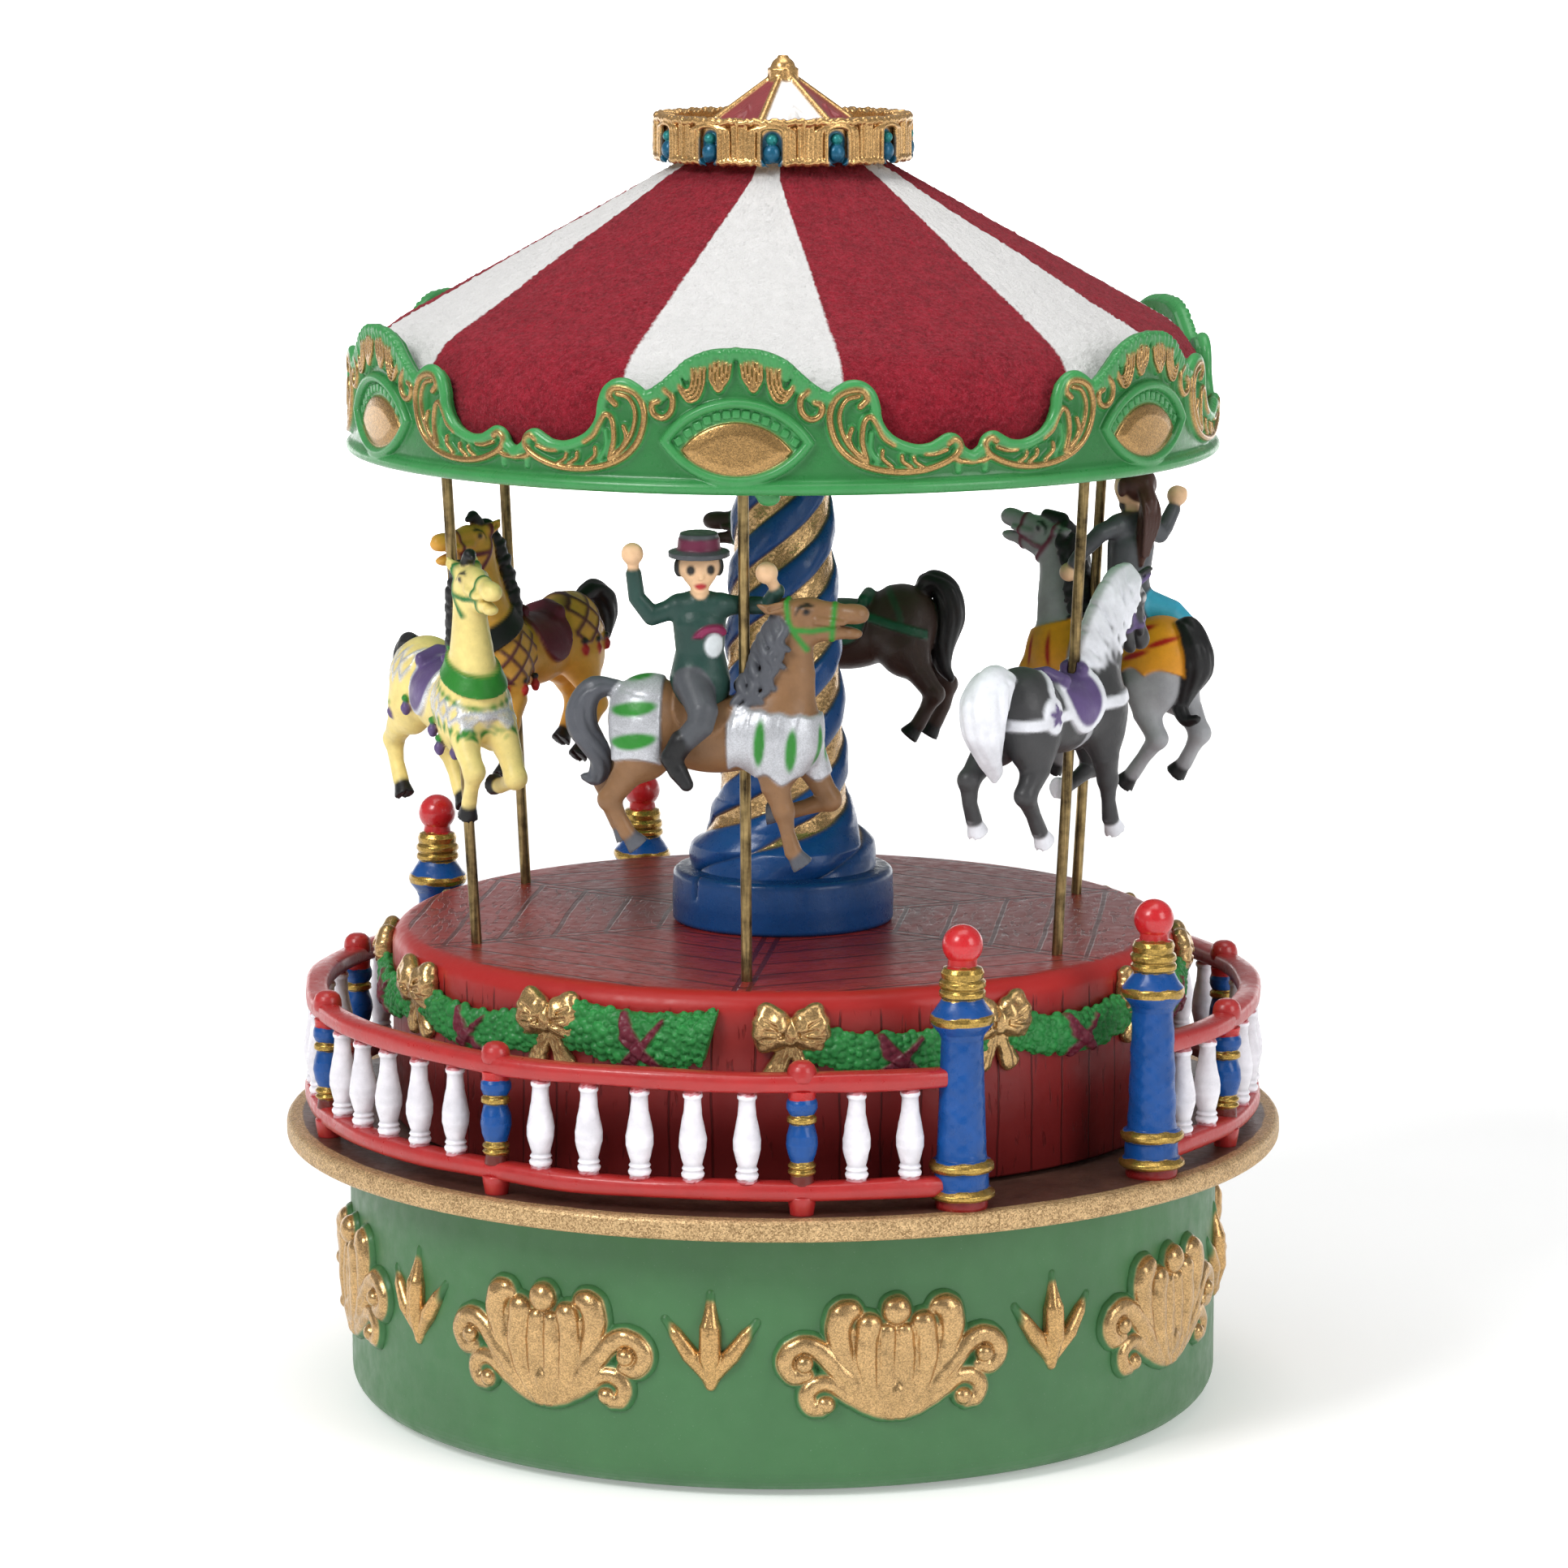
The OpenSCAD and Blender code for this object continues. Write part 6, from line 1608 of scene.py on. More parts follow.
def cupola():
    """The six-sided little roof in the crown: gold ribs, a gable at each foot, the knob on top."""
    c = Carving((-8.2, -8.2, 144.6), (8.2, 8.2, TIP + 0.6), 0.16, (0.5, 0.5, 0.5))
    window, x, y, z = c.whole()
    r, a = np.sqrt(x**2 + y**2), np.degrees(np.arctan2(x, -y))
    foot_r, foot_z, neck_r, neck_z = 7.6, 145.4, 1.7, 149.8
    slope = (foot_r - neck_r) / (neck_z - foot_z)
    rib_phase = -19
    sector = np.floor((a - rib_phase) / 60)
    mid = (a - rib_phase) - 60 * sector - 30
    flat = r * np.cos(np.radians(mid)) / math.cos(math.radians(27))
    cone = (flat - (foot_r - slope * (z - foot_z))) * 0.6
    c.merge(window, np.maximum(cone, 144.9 - z), None)
    white = (sector % 2 == 0)
    red = np.array((0.26, 0.045, 0.05, 0), np.float32)
    c.c[:] = np.where(np.broadcast_to(white, c.d.shape)[..., None],
                      np.array((0.78, 0.77, 0.76, 0), np.float32), red)
    for k in range(6):
        am = math.radians(rib_phase + 30 + 60 * k)
        ar = math.radians(rib_phase + 60 * k)
        out, side = (math.sin(am), -math.cos(am)), (math.cos(am), math.sin(am))
        for s in (-1, 1):
            a0 = (out[0] * 5.0, out[1] * 5.0, 146.9, 0.3)
            a1 = (out[0] * 5.9 + s * side[0] * 1.5, out[1] * 5.9 + s * side[1] * 1.5, 145.6, 0.3)
            c.limb([a0, a1], None, k=0.15)
        c.limb([(out[0] * 5.0, out[1] * 5.0, 146.5, 0.45), (out[0] * 6.4, out[1] * 6.4, 145.5, 0.7)],
               None, k=0.1)
        c.limb([(out[0] * 5.2, out[1] * 5.2, 146.95, 0.1), (out[0] * 6.3, out[1] * 6.3, 146.3, 0.1)],
               None, cut=True, k=0.08)
        c.limb([(math.sin(ar) * 1.5, -math.cos(ar) * 1.5, neck_z + 0.15, 0.34),
                (math.sin(ar) * foot_r, -math.cos(ar) * foot_r, foot_z + 0.1, 0.42)], CROWN_GOLD,
                k=0.08)
    q = r + 0 * z
    knob_z = TIP - 0.62
    c.merge(window, np.maximum(q - 1.72 - 0.06 * np.sin(np.radians(a) * 6), np.abs(z - 150.4) - 0.75),
            CROWN_GOLD, 0.2)
    c.ball((0, 0, knob_z - 0.95), (1.4, 1.4, 1.25), CROWN_GOLD, k=0.12)
    c.limb([(0, 0, knob_z - 0.2, 0.42), (0, 0, knob_z + 0.05, 0.42)], CROWN_GOLD, k=0.1)
    c.merge(window, np.maximum(q - 0.62, np.abs(z - knob_z - 0.25) - 0.2), CROWN_GOLD, 0.12)
    points, quads, colours = c.surface()
    piece = mesh_piece("cupola_figure", points, quads, M["paint_gloss"], colours)
    finish_piece(piece, "carousel", "crown_gold", "cupola_finial")


# ------------------------------------------------------------------ ornaments of the base

SHELLS, SHELL_PHASE, SPRIG_PHASE = 8, 14, -9


def palmettes():
    """Shell ornament: a fan of fat lobes under a ball, with horns and scrolls, gold over green."""
    gold, green = (0.50, 0.32, 0.145, 1), (*GREEN, 0)
    c = Carving((-13.8, 6.8, -0.6), (13.8, 24.6, 3.0), 0.15, gold)

    def lobe(points, radii, out):
        path = crown_spline(points, 6)
        r = np.interp(np.linspace(0, 1, len(path)), np.linspace(0, 1, len(radii)), radii)
        for side in (-1, 1):
            c.limb([(side * p[0], p[1], out, q) for p, q in zip(path, r)], gold, k=0.1, soft=0.08,
                   flat=(1, 1, 0.85))

    # the bed all the lobes stand on, and the fan's own ground
    c.ball((0, 14.4, 0.0), (5.4, 5.6, 1.15), gold, k=0.1)
    c.limb([(0, 9.5, 0.1, 0.8), (0, 11.5, 0.2, 1.4)], gold, k=0.3)
    lobe([(0.35, 8.9), (0.95, 12.0), (1.1, 15.6), (1.0, 18.2)], (0.45, 0.95, 1.1, 0.95), 0.6)
    lobe([(0.8, 9.0), (2.5, 12.0), (3.3, 15.2), (3.2, 17.8), (3.0, 19.0)], (0.5, 1.05, 1.35, 1.3, 1.4),
         0.6)
    lobe([(1.6, 9.4), (3.8, 12.0), (4.9, 14.6), (5.0, 16.8), (4.8, 18.4)], (0.5, 0.85, 0.8, 0.6, 0.5),
         0.4)
    lobe([(4.2, 12.8), (5.7, 16.0), (6.3, 18.4), (5.9, 20.2), (5.0, 20.7), (4.1, 20.3)],
         (0.7, 1.15, 1.4, 1.5, 1.2, 0.55), 0.5)
    c.ball((0, 20.6, 0.75), (1.6, 1.65, 1.25), gold, k=0.08)
    lobe([(1.6, 9.4), (3.6, 11.2), (5.7, 13.6), (7.7, 15.9), (9.6, 17.0), (11.3, 16.4), (11.9, 14.9),
          (11.0, 13.6), (9.7, 13.7)], (0.5, 0.9, 1.25, 1.15, 1.1, 1.05, 1.0, 0.95, 0.8), 0.45)
    for side in (-1, 1):
        c.ball((side * 9.9, 15.0, 1.0), (0.95, 0.95, 0.8), gold, k=0.1)
    lobe([(1.4, 9.0), (3.0, 9.9), (5.2, 11.3), (7.0, 12.6), (8.6, 12.6), (9.6, 11.5), (9.2, 10.2),
          (8.2, 9.9)], (0.5, 0.75, 0.85, 0.95, 0.95, 0.9, 0.9, 0.8), 0.35)
    for side in (-1, 1):
        c.ball((side * 7.6, 10.4, 0.6), (0.95, 0.95, 0.8), gold, k=0.1)
    # creases: the middle of the fan, along the lobes, and the hearts of the scrolls
    c.limb([(0, 11.0, 1.55, 0.08), (0, 14.5, 1.7, 0.16), (0, 18.2, 1.7, 0.2)], cut=True, k=0.16)
    for side in (-1, 1):
        for line in ([(2.05, 11.2), (2.2, 14.4), (2.15, 17.6)],
                     [(3.6, 11.6), (4.55, 14.6), (4.6, 18.4)], [(5.2, 12.2), (7.2, 14.4), (9.0, 15.7)]):
            c.limb([(side * p[0], p[1], 1.35, 0.13) for p in crown_spline(line, 4)], cut=True, k=0.2)
    window, s, z, h = c.whole()
    c.d[:] += 0.03 * np.sin(2.7 * s + 1.1 * z) * np.sin(1.9 * z - s)
    # a green skirt a little wider than the gold
    skirt = np.min(c.d[:, :, :8], axis=2)[:, :, None] - 0.42
    c.merge(window, np.maximum(skirt + 0.55 * np.maximum(h - 0.1, 0), h - 0.6), green, 0.12)
    c.d[:] = np.maximum(c.d, -0.5 - h)
    c.tint(np.clip(0.5 - (h - 0.42 - 0.1 * np.sin(1.7 * s + z)) / 0.26, 0, 1), green)
    piece = copies_of("shell_ornaments", c, BASE_R,
                      [SHELL_PHASE + 360 / SHELLS * k for k in range(SHELLS)], M["paint"])
    return finish_piece(piece, "base", "ornament_gold", "base_palmettes")


def sprigs():
    """Three-leaf sprig between two shells: gold, with the base's green at the leaf tips."""
    gold, green = (0.52, 0.32, 0.13, 1), (*GREEN, 0)
    c = Carving((-6.6, 10.8, -0.6), (6.6, 24, 2.2), 0.16, gold)
    for side in (-1, 1):
        c.limb([(0, 12.6, 0, 0.45), (side * 2.2, 15.6, 0.15, 1.0), (side * 3.8, 17.8, 0.1, 0.75),
                (side * 5.0, 19.2, 0.0, 0.2)], None, k=0.1)
        c.limb([(side * 0.4, 13.2, 1.0, 0.12), (side * 2.5, 16.2, 1.25, 0.15),
                (side * 4.2, 18.4, 0.8, 0.1)], cut=True, k=0.15)
    c.limb([(0, 12.2, 0.1, 0.4), (0, 15.4, 0.3, 1.25), (0, 18.6, 0.25, 1.2), (0, 22.2, 0, 0.15)], None,
           k=0.1)
    c.limb([(0, 14.2, 1.5, 0.14), (0, 18.0, 1.6, 0.2), (0, 21.2, 0.75, 0.1)], cut=True, k=0.2)
    for points in ([(0, 12.2), (0, 22.4)], [(0, 12.6), (5.0, 19.4)], [(0, 12.6), (-5.0, 19.4)]):
        c.limb([(*p, -0.5, 0.7) for p in points], green, k=0.5)
    _, s, z, h = c.whole()
    c.d[:] = np.maximum(c.d, -0.5 - h)
    tips = np.minimum(0.9 * (4.3 - np.abs(s)), 0.9 * (21.6 - z))
    c.tint(np.maximum(np.clip(0.5 - (h - 0.05) / 0.2, 0, 1), np.clip(0.5 - tips / 0.5, 0, 1)), green)
    piece = copies_of("sprig_ornaments", c, BASE_R,
                      [SPRIG_PHASE + 360 / SHELLS * k for k in range(SHELLS)], M["paint"])
    return finish_piece(piece, "base", "ornament_gold", "base_sprigs")


# ------------------------------------------------------------------ fence

POST_BLUE = (0.004, 0.066, 0.27)
POST_GOLD = (0.40, 0.255, 0.06, 1)
POST_RED = (0.46, 0.022, 0.022)
BASE_RED = (0.22, 0.012, 0.012)
HALVES = {"right": (48.9, 1), "left": (20.9, -1)}
FENCE_STEP = 6.25
INTERVALS = 24
SMALL_POSTS = (3, 9, 15, 21)
GATE_ANGLES = (20.9, 48.9, -129.1, 198.9)


def dense(outline, step=0.12):
    """The same outline with a point every `step` millimetres."""
    out = [outline[0]]
    for a, b in zip(outline[:-1], outline[1:]):
        n = max(1, int(math.ceil(math.dist(a, b) / step)))
        out += [(a[0] + (b[0] - a[0]) * i / n, a[1] + (b[1] - a[1]) * i / n) for i in range(1, n + 1)]
    return np.array(out)


def painted_lathe(name, outline, bands, places, steps, wobble=0.1, step=0.12, rough=0.0):
    """Turned posts painted in bands by hand, each (its top, colour), with painted shade darkening the
    crevices and a painted highlight on the ridges.
    """
    line = dense(outline, step)
    r, z = line.T
    wide = np.convolve(np.pad(r, 4, "edge"), np.ones(9) / 9, "valid")
    # Painted shade and highlight: crevices darker and ridges up to 12% lighter than the paint.
    shade_and_highlight = np.clip(1 + (r - wide) * 2.2, 0.4, 1.12)
    shade_and_highlight[r < 0.3] = 1
    a = np.arange(steps) / steps * TAU
    tops = np.array([b[0] for b in bands])
    paints = np.array([(*b[1], 0) if len(b[1]) == 3 else b[1] for b in bands], float)
    verts, colours, faces = [], [], []
    quads = grid_faces(len(line), steps)
    for n, (x, y) in enumerate(places):
        ph = 1.7 * n
        swing = wobble * (np.sin(2 * a + ph) + 0.6 * np.sin(5 * a + 2.3 * ph) + 0.4
                          * np.sin(9 * a + ph))
        zz = z[:, None] + swing[None, :]
        k = np.clip(np.searchsorted(tops, zz.ravel()), 0, len(bands) - 1)
        c = paints[k].reshape(len(line), steps, 4)
        c[..., :3] *= shade_and_highlight[:, None, None]
        lumps = rough * (np.sin(3 * a + ph)[None, :] * np.sin(z * 1.7 + ph)[:, None] + 0.5
                         * np.sin(7 * a - ph)[None, :] * np.sin(z * 4.1)[:, None])
        rr = r[:, None] * (1 + 0 * a[None, :]) + lumps * np.clip(r[:, None], 0, 1)
        verts.append(np.stack([x + rr * np.cos(a), y + rr * np.sin(a), z[:, None] + 0 * rr],
                              -1).reshape(-1, 3))
        colours.append(c.reshape(-1, 4))
        faces.append(quads + n * len(line) * steps)
    piece = mesh_piece(name, np.vstack(verts), np.vstack(faces), M["paint_gloss"], np.vstack(colours))
    tidy(piece)
    return piece


def fence_rail(side):
    """The two bowed rails of one half, with the red knobs above and the pegs below the small posts."""
    start, way = HALVES[side]
    verts, faces = [], []
    n, sides = 300, 16
    a = np.linspace(start, start + way * FENCE_STEP * INTERVALS, n)
    t = np.arange(sides) / sides * TAU
    power = 0.55
    across = 1.35 * np.sign(np.cos(t)) * np.abs(np.cos(t)) ** power
    up = 1.05 * np.sign(np.sin(t)) * np.abs(np.sin(t)) ** power
    for middle_z, ph in ((RAIL_LOW + 1.05, 0.0), (RAIL_TOP - 1.05, 2.0)):
        wave = np.radians(a)[:, None]
        r = FENCE_R - 0.05 + across[None, :] * (1 + 0.05 * np.sin(23 * wave + ph)) + 0.12 * np.sin(11
            * wave + ph)
        z = middle_z + up[None, :] * (1 - 0.04 * np.sin(17 * wave + ph)) + 0.1 * np.sin(12 * wave
            + ph) * np.sin(3.1 * wave)
        base = sum(len(v) for v in verts)
        verts.append(np.stack([r * np.sin(wave), -r * np.cos(wave), z], -1).reshape(-1, 3))
        faces += (grid_faces(n, sides) + base).tolist()
        faces += [list(range(base, base + sides)), list(range(base + (n - 1) * sides,
            base + n * sides))]
    for i in SMALL_POSTS:
        x, y = polar(start + way * FENCE_STEP * i, FENCE_R)
        for outline in ([(0, 46.6), (1.5, 46.7), (1.62, 47.2), (1.55, 47.9), (1.35, 48.4),
                         (0.95, 48.75), (0.5, 48.9), (0, 48.92)],
                        [(0, LEDGE_TOP - 0.05), (1.25, LEDGE_TOP - 0.05), (1.3, LEDGE_TOP + 0.3),
                         (1.5, 33.6), (1.55, 34.2), (0, 34.3)]):
            base = sum(len(v) for v in verts)
            line = dense(outline, 0.25)
            ring = lathe_points(line, 24) + [x, y, 0]
            verts.append(ring)
            faces += (grid_faces(len(line), 24) + base).tolist()
    piece = mesh_piece(f"fence_rails_{side}_bowed", np.vstack(verts), faces, M["rail"])
    tidy(piece)
    return finish_piece(piece, "base", "fence_red", f"fence_rails_{side}")


def fence():
    baluster = [(0, 35.5), (1.15, 35.6), (1.05, 36.0), (1.2, 36.2), (1.26, 36.5), (1.05, 36.85),
                (1.2, 37.05), (1.0, 37.4), (1.22, 38.2), (1.48, 39.3),
                (1.5, 40.3), (1.24, 41.8), (1.0, 43.0), (0.9, 44.2), (0.9, 44.6), (1.06, 44.85),
                (1.06, 45.15), (0.9, 45.4), (0.95, 46.0), (0, 46.1)]
    baluster_paint = [(35.75, (0.35, 0.03, 0.035)), (36.05, (0.55, 0.25, 0.28)),
                      (45.15, (0.80, 0.78, 0.83)), (45.4, (0.55, 0.22, 0.25)),
                      (60, (0.35, 0.03, 0.035))]
    small = [(0, 35.4), (1.3, 35.5), (1.2, 36.4), (1.2, 36.6), (1.42, 36.7), (1.52, 36.9), (1.3, 37.2),
             (1.5, 37.45), (1.5, 37.6), (1.22, 37.9), (1.28, 38.2),
             (1.5, 38.8), (1.7, 39.9), (1.62, 40.9), (1.32, 41.9), (1.3, 42.1), (1.6, 42.35),
             (1.58, 42.8), (1.3, 43.1), (1.42, 43.3), (1.66, 43.8),
             (1.66, 44.4), (1.5, 44.8), (1.45, 45.0), (1.52, 45.7), (0, 45.8)]
    small_paint = [(36.55, (0.13, 0.02, 0.015)), (38.05, POST_GOLD), (42.12, POST_BLUE),
                   (43.15, POST_GOLD), (44.8, POST_BLUE), (60, POST_RED)]
    for side, (start, way) in HALVES.items():
        fence_rail(side)
        places = [polar(start + way * FENCE_STEP * i, FENCE_R) for i in range(1, INTERVALS)
                  if i not in SMALL_POSTS]
        piece = painted_lathe(f"turned_balusters_{side}", baluster, baluster_paint, places, 28, 0.07,
                              0.14, 0.03)
        finish_piece(piece, "base", "baluster_white", f"fence_balusters_{side}")
        places = [polar(start + way * FENCE_STEP * i, FENCE_R) for i in SMALL_POSTS]
        piece = painted_lathe(f"small_posts_{side}", small, small_paint, places, 44, 0.05, 0.1, 0.03)
        finish_piece(piece, "base", "fence_blue", f"fence_posts_{side}")
    gate = [(0, LEDGE_TOP - 0.05), (2.75, LEDGE_TOP - 0.05), (2.85, LEDGE_TOP + 0.3), (2.8, 33.2),
            (3.3, 33.3), (3.62, 33.6), (3.6, 33.95), (3.2, 34.3),
            (2.95, 34.5), (2.9, 36.1), (3.2, 36.25), (3.5, 36.6), (3.5, 37.0), (3.2, 37.35),
            (2.75, 37.6), (2.66, 38.2), (2.25, 50.6), (2.5, 51.2), (3.15, 52.0),
            (3.35, 52.3), (3.48, 52.75), (3.4, 53.2), (3.0, 53.7), (2.4, 54.6), (2.2, 55.0),
            (2.48, 55.3), (2.5, 55.7), (2.28, 56.0), (2.52, 56.35),
            (2.5, 56.8), (2.2, 57.15), (2.25, 57.3), (2.32, 57.8), (2.1, 58.3), (1.6, 58.5),
            (1.5, 59.4), (0, 59.5)]
    gate_paint = [(33.3, BASE_RED), (34.4, POST_GOLD), (36.25, POST_BLUE), (37.45, POST_GOLD),
                  (52.3, POST_BLUE), (53.3, POST_GOLD), (54.95, POST_BLUE),
                  (58.45, POST_GOLD), (70, POST_RED)]
    places = [polar(a, FENCE_R) for a in GATE_ANGLES]
    piece = painted_lathe("gate_posts_turned", gate, gate_paint, places, 72, 0.08, 0.1, 0.05)
    finish_piece(piece, "base", "fence_blue", "gate_posts")
    ball = [(0, 58.9), (1.5, 58.95)] + arc(0, 60.75, 2.18, -46, 90, 26)
    line = dense(ball, 0.2)
    verts, faces = [], []
    for n, (x, y) in enumerate(places):
        verts.append(lathe_points(line, 48) + [x, y, 0])
        faces.append(grid_faces(len(line), 48) + n * len(line) * 48)
    piece = mesh_piece("gate_ball_knobs", np.vstack(verts), np.vstack(faces), M["ball"])
    tidy(piece)
    finish_piece(piece, "base", "ball_red", "gate_balls")


# ------------------------------------------------------------------ deck with its garland


def deck():
    """The red drum: flat top, rounded edge, and the inside wall and ceiling of its hollow."""
    edge = 2.2
    outline = [(DECK_R - 2.0, DECK_LOW), (DECK_R - 0.3, DECK_LOW), (DECK_R, DECK_LOW + 0.3),
               (DECK_R, DECK_TOP - edge)]
    outline += arc(DECK_R - edge, DECK_TOP - edge, edge, 0, 90, 12)
    outline += [(DECK_R - 6, DECK_TOP), (20, DECK_TOP), (5, DECK_TOP), (0, DECK_TOP),
                (0, DECK_TOP - 2.2), (DECK_R - 2.0, DECK_TOP - 2.2)]
    steps = 240
    piece = mesh_piece("deck_planked", lathe_points(outline, steps), loop_faces(len(outline), steps),
                       M["deck"])
    tidy(piece)
    finish_piece(piece, "carousel", "deck_red", "deck_drum")


BOWS, BOW_STEP = 12, 29.55
BOW_PHASE = 1.1
SWAG_GREEN = (0.022, 0.21, 0.045)
RIBBON = (0.14, 0.014, 0.030)
BOW_GOLD = (0.50, 0.32, 0.135, 1)


def swag_relief(ends, middle, rise, half, half_end, seed, cut=None, rough_side=0):
    """One garland: a thick leafy roll hung between two bows, with a crossed ribbon at its middle."""
    random = np.random.default_rng(seed)
    c = Carving((ends[0] - 1.5, 43.6, -0.7), (ends[1] + 1.5, 55.2, 3.4), 0.15, SWAG_GREEN)
    count = 13
    path = []
    for i in range(count):
        u = 2 * i / (count - 1) - 1
        path.append((ends[0] + (ends[1] - ends[0]) * (u + 1) / 2, middle + rise * u * u, 0.3,
                     half + (half_end - half) * u * u))
    c.limb(path, SWAG_GREEN, flat=(1, 1, 0.6))
    length = ends[1] - ends[0]
    columns = int(length / 0.86)
    for i in range(columns + 1):
        t = i / columns
        u = 2 * t - 1
        s0, z0, r0 = ends[0] + length * t, middle + rise * u * u, half + (half_end - half) * u * u
        slope = 4 * rise * u / length
        for j in range(7):
            around = math.radians(-74 + 148 * (j + 0.5 * (i % 2)) / 6.5)
            off, out = math.sin(around) * r0, 0.3 + math.cos(around) * r0 * 0.6
            js, jz, jr = random.uniform(-0.2, 0.2, 3)
            wide = 0.52 + jr * 0.8
            c.ball((s0 - slope * off + js, z0 + off + jz, out - 0.1 + 0.3 * jr),
                   (wide, wide * 0.85, 0.42), tuple(np.array(SWAG_GREEN) * random.uniform(0.85, 1.2)),
                   k=0.06, turn=random.uniform(-30, 30), axis="y")
    window, s, z, h = c.whole()
    if rough_side:
        ragged = np.clip(s * rough_side * 0.5, 0, 1)
        c.d[:] += 0.1 * ragged * np.sin(6.1 * s + 2 * np.sin(3 * z)) * np.sin(5.3 * z + 1.7
            * np.sin(4 * s + h))
    if cut is not None:
        c.cut_out(window, cut[0] + cut[1] * (z - 50.7) - s + 0 * h, 0.2)
    mid = 0 if cut is None else cut[2]
    skin = c.d.copy()
    wide_strip = ([(mid - 1.9, middle + half * 0.95), (mid - 1.2, middle + half * 0.2),
                   (mid + 0.2, middle - half * 0.35), (mid + 2.3, middle - half * 1.1)],
                   [0.45, 0.92, 0.7, 0.42])
    thin_strip = ([(mid + 2.4, middle + half * 0.8), (mid + 0.3, middle - half * 0.2),
                   (mid - 1.5, middle - half * 0.95)], [0.25, 0.5, 0.8])
    for points, widths in (thin_strip, wide_strip):
        raise_coat(c, skin, lambda s, z, h: np.maximum(path_distance(s, z, points, widths), 0.2 - h),
                   0.26, RIBBON, 0.05)
        skin = np.minimum(skin, c.d)
    return c


def bow_relief():
    """A ribbon bow: two loops fanning out from the knot, with creases, and two spreading tails."""
    c = Carving((-5.0, 43.8, -0.7), (5.0, 55.2, 3.4), 0.13, BOW_GOLD)
    knot = 50.1
    for s in (-1, 1):
        for rise, far, r, out in ((2.3, 2.55, 1.05, 0.75), (1.2, 2.95, 1.2, 1.0), (0.0, 3.0, 1.2, 1.0),
                                  (-1.1, 2.75, 1.05, 0.8)):
            c.limb([(s * 0.5, knot + 0.15 * rise, 0.95, 0.8),
                    (s * far * 0.5, knot + rise * 0.62 + 0.15, out + 0.15, (0.8 + r) / 2 + 0.25),
                    (s * far, knot + rise, out - 0.1, r)], None, k=0.45)
        c.ball((s * 2.6, knot + 2.6, 0.65), (1.0, 0.75, 0.7), None, k=0.4, turn=s * 18, axis="y")
        for rise, far, deep in ((1.75, 3.0, 2.0), (0.55, 2.6, 2.15), (-0.55, 3.2, 2.05)):
            c.limb([(s * 0.9, knot + 0.2 * rise, deep, 0.1),
                    (s * far * 0.6, knot + rise * 0.62, deep + 0.12, 0.16),
                    (s * far, knot + rise, deep, 0.1)], cut=True, k=0.34)
        c.limb([(s * 0.45, 48.8, 0.6, 0.85), (s * 1.05, 47.3, 0.55, 1.0), (s * 1.75, 45.8, 0.4, 1.15)],
               None, k=0.12, flat=(1, 1, 0.8))
        c.limb([(s * 1.0, 46.8, 0.5, 0.6), (s * 1.5, 45.4, 0.4, 0.8), (s * 2.4, 45.7, 0.4, 0.6)], None,
               k=0.3, flat=(1, 1, 0.8))
        for low_s, at in ((1.2, 0.45), (2.2, 0.95)):
            c.limb([(s * at, 48.4, 1.3, 0.07), (s * (at + low_s) / 2, 46.9, 1.35, 0.12),
                    (s * low_s, 45.0, 1.2, 0.12)], cut=True, k=0.22)
        c.limb([(s * 0.7, 44.0, 0.5, 0.45), (s * 3.4, 44.5, 0.5, 0.45)], cut=True, k=0.1)
    c.limb([(0, knot - 0.5, 1.35, 0.72), (0, knot + 0.5, 1.35, 0.72)], None, k=0.12,
           flat=(0.95, 1, 0.9))
    c.limb([(-0.1, knot - 0.9, 2.1, 0.06), (0.05, knot + 0.9, 2.1, 0.08)], cut=True, k=0.2)
    for s in (-1, 1):
        c.limb([(s * 0.82, knot - 0.8, 1.75, 0.08), (s * 0.82, knot + 0.9, 1.75, 0.08)], cut=True,
               k=0.15)
    _, s, z, h = c.whole()
    c.d[:] += 0.05 * np.sin(s * 3.1 + 1.3 * np.sin(z * 1.9)) * np.sin(z * 2.7 + h)
    c.d[:] = np.maximum(c.d, -0.45 - h)
    # Painted shade: the bow is painted a darker gold-brown towards the drum, in its deep parts.
    low_shade = np.clip((0.5 - h) / 0.5, 0, 1) * 0.5
    c.tint(low_shade, (0.10, 0.05, 0.015, 0.8))
    return c


def garland():
    half_span = math.radians(BOW_STEP / 2 - 2.6) * DECK_R
    swag = swag_relief((-half_span, half_span), 47.6, 1.4, 2.05, 1.85, 5)
    leaves = copies_of("garland_leaves", swag, DECK_R,
                       [BOW_PHASE + (k + 0.5) * BOW_STEP for k in range(BOWS - 1)], M["paint"])
    finish_piece(leaves, "carousel", "garland_green", "garland_swags")
    left = math.radians(-30.2 + 20) * DECK_R
    right = math.radians(-9.4 + 20) * DECK_R
    seam = swag_relief((left, right + 1.4), 48.9, 1.3, 2.95, 2.45, 9,
                       cut=(right, 0.28, math.radians(0.6) * DECK_R), rough_side=1)
    finish_piece(copies_of("garland_seam_leaves", seam, DECK_R, [-20], M["paint"]), "carousel",
                 "garland_green")
    bows = copies_of("ribbon_bows", bow_relief(), DECK_R,
                     [BOW_PHASE + k * BOW_STEP for k in range(BOWS)], M["paint_gloss"])
    finish_piece(bows, "carousel", "ornament_gold", "garland_bows")


# ------------------------------------------------------------------ column

COLUMN_BLUE = (0.006, 0.062, 0.225)
COLUMN_GOLD = (0.52, 0.33, 0.145, 1)
COLUMN_LEAD = 27
FOOT_R, FOOT_TOP = 12.6, 60.4


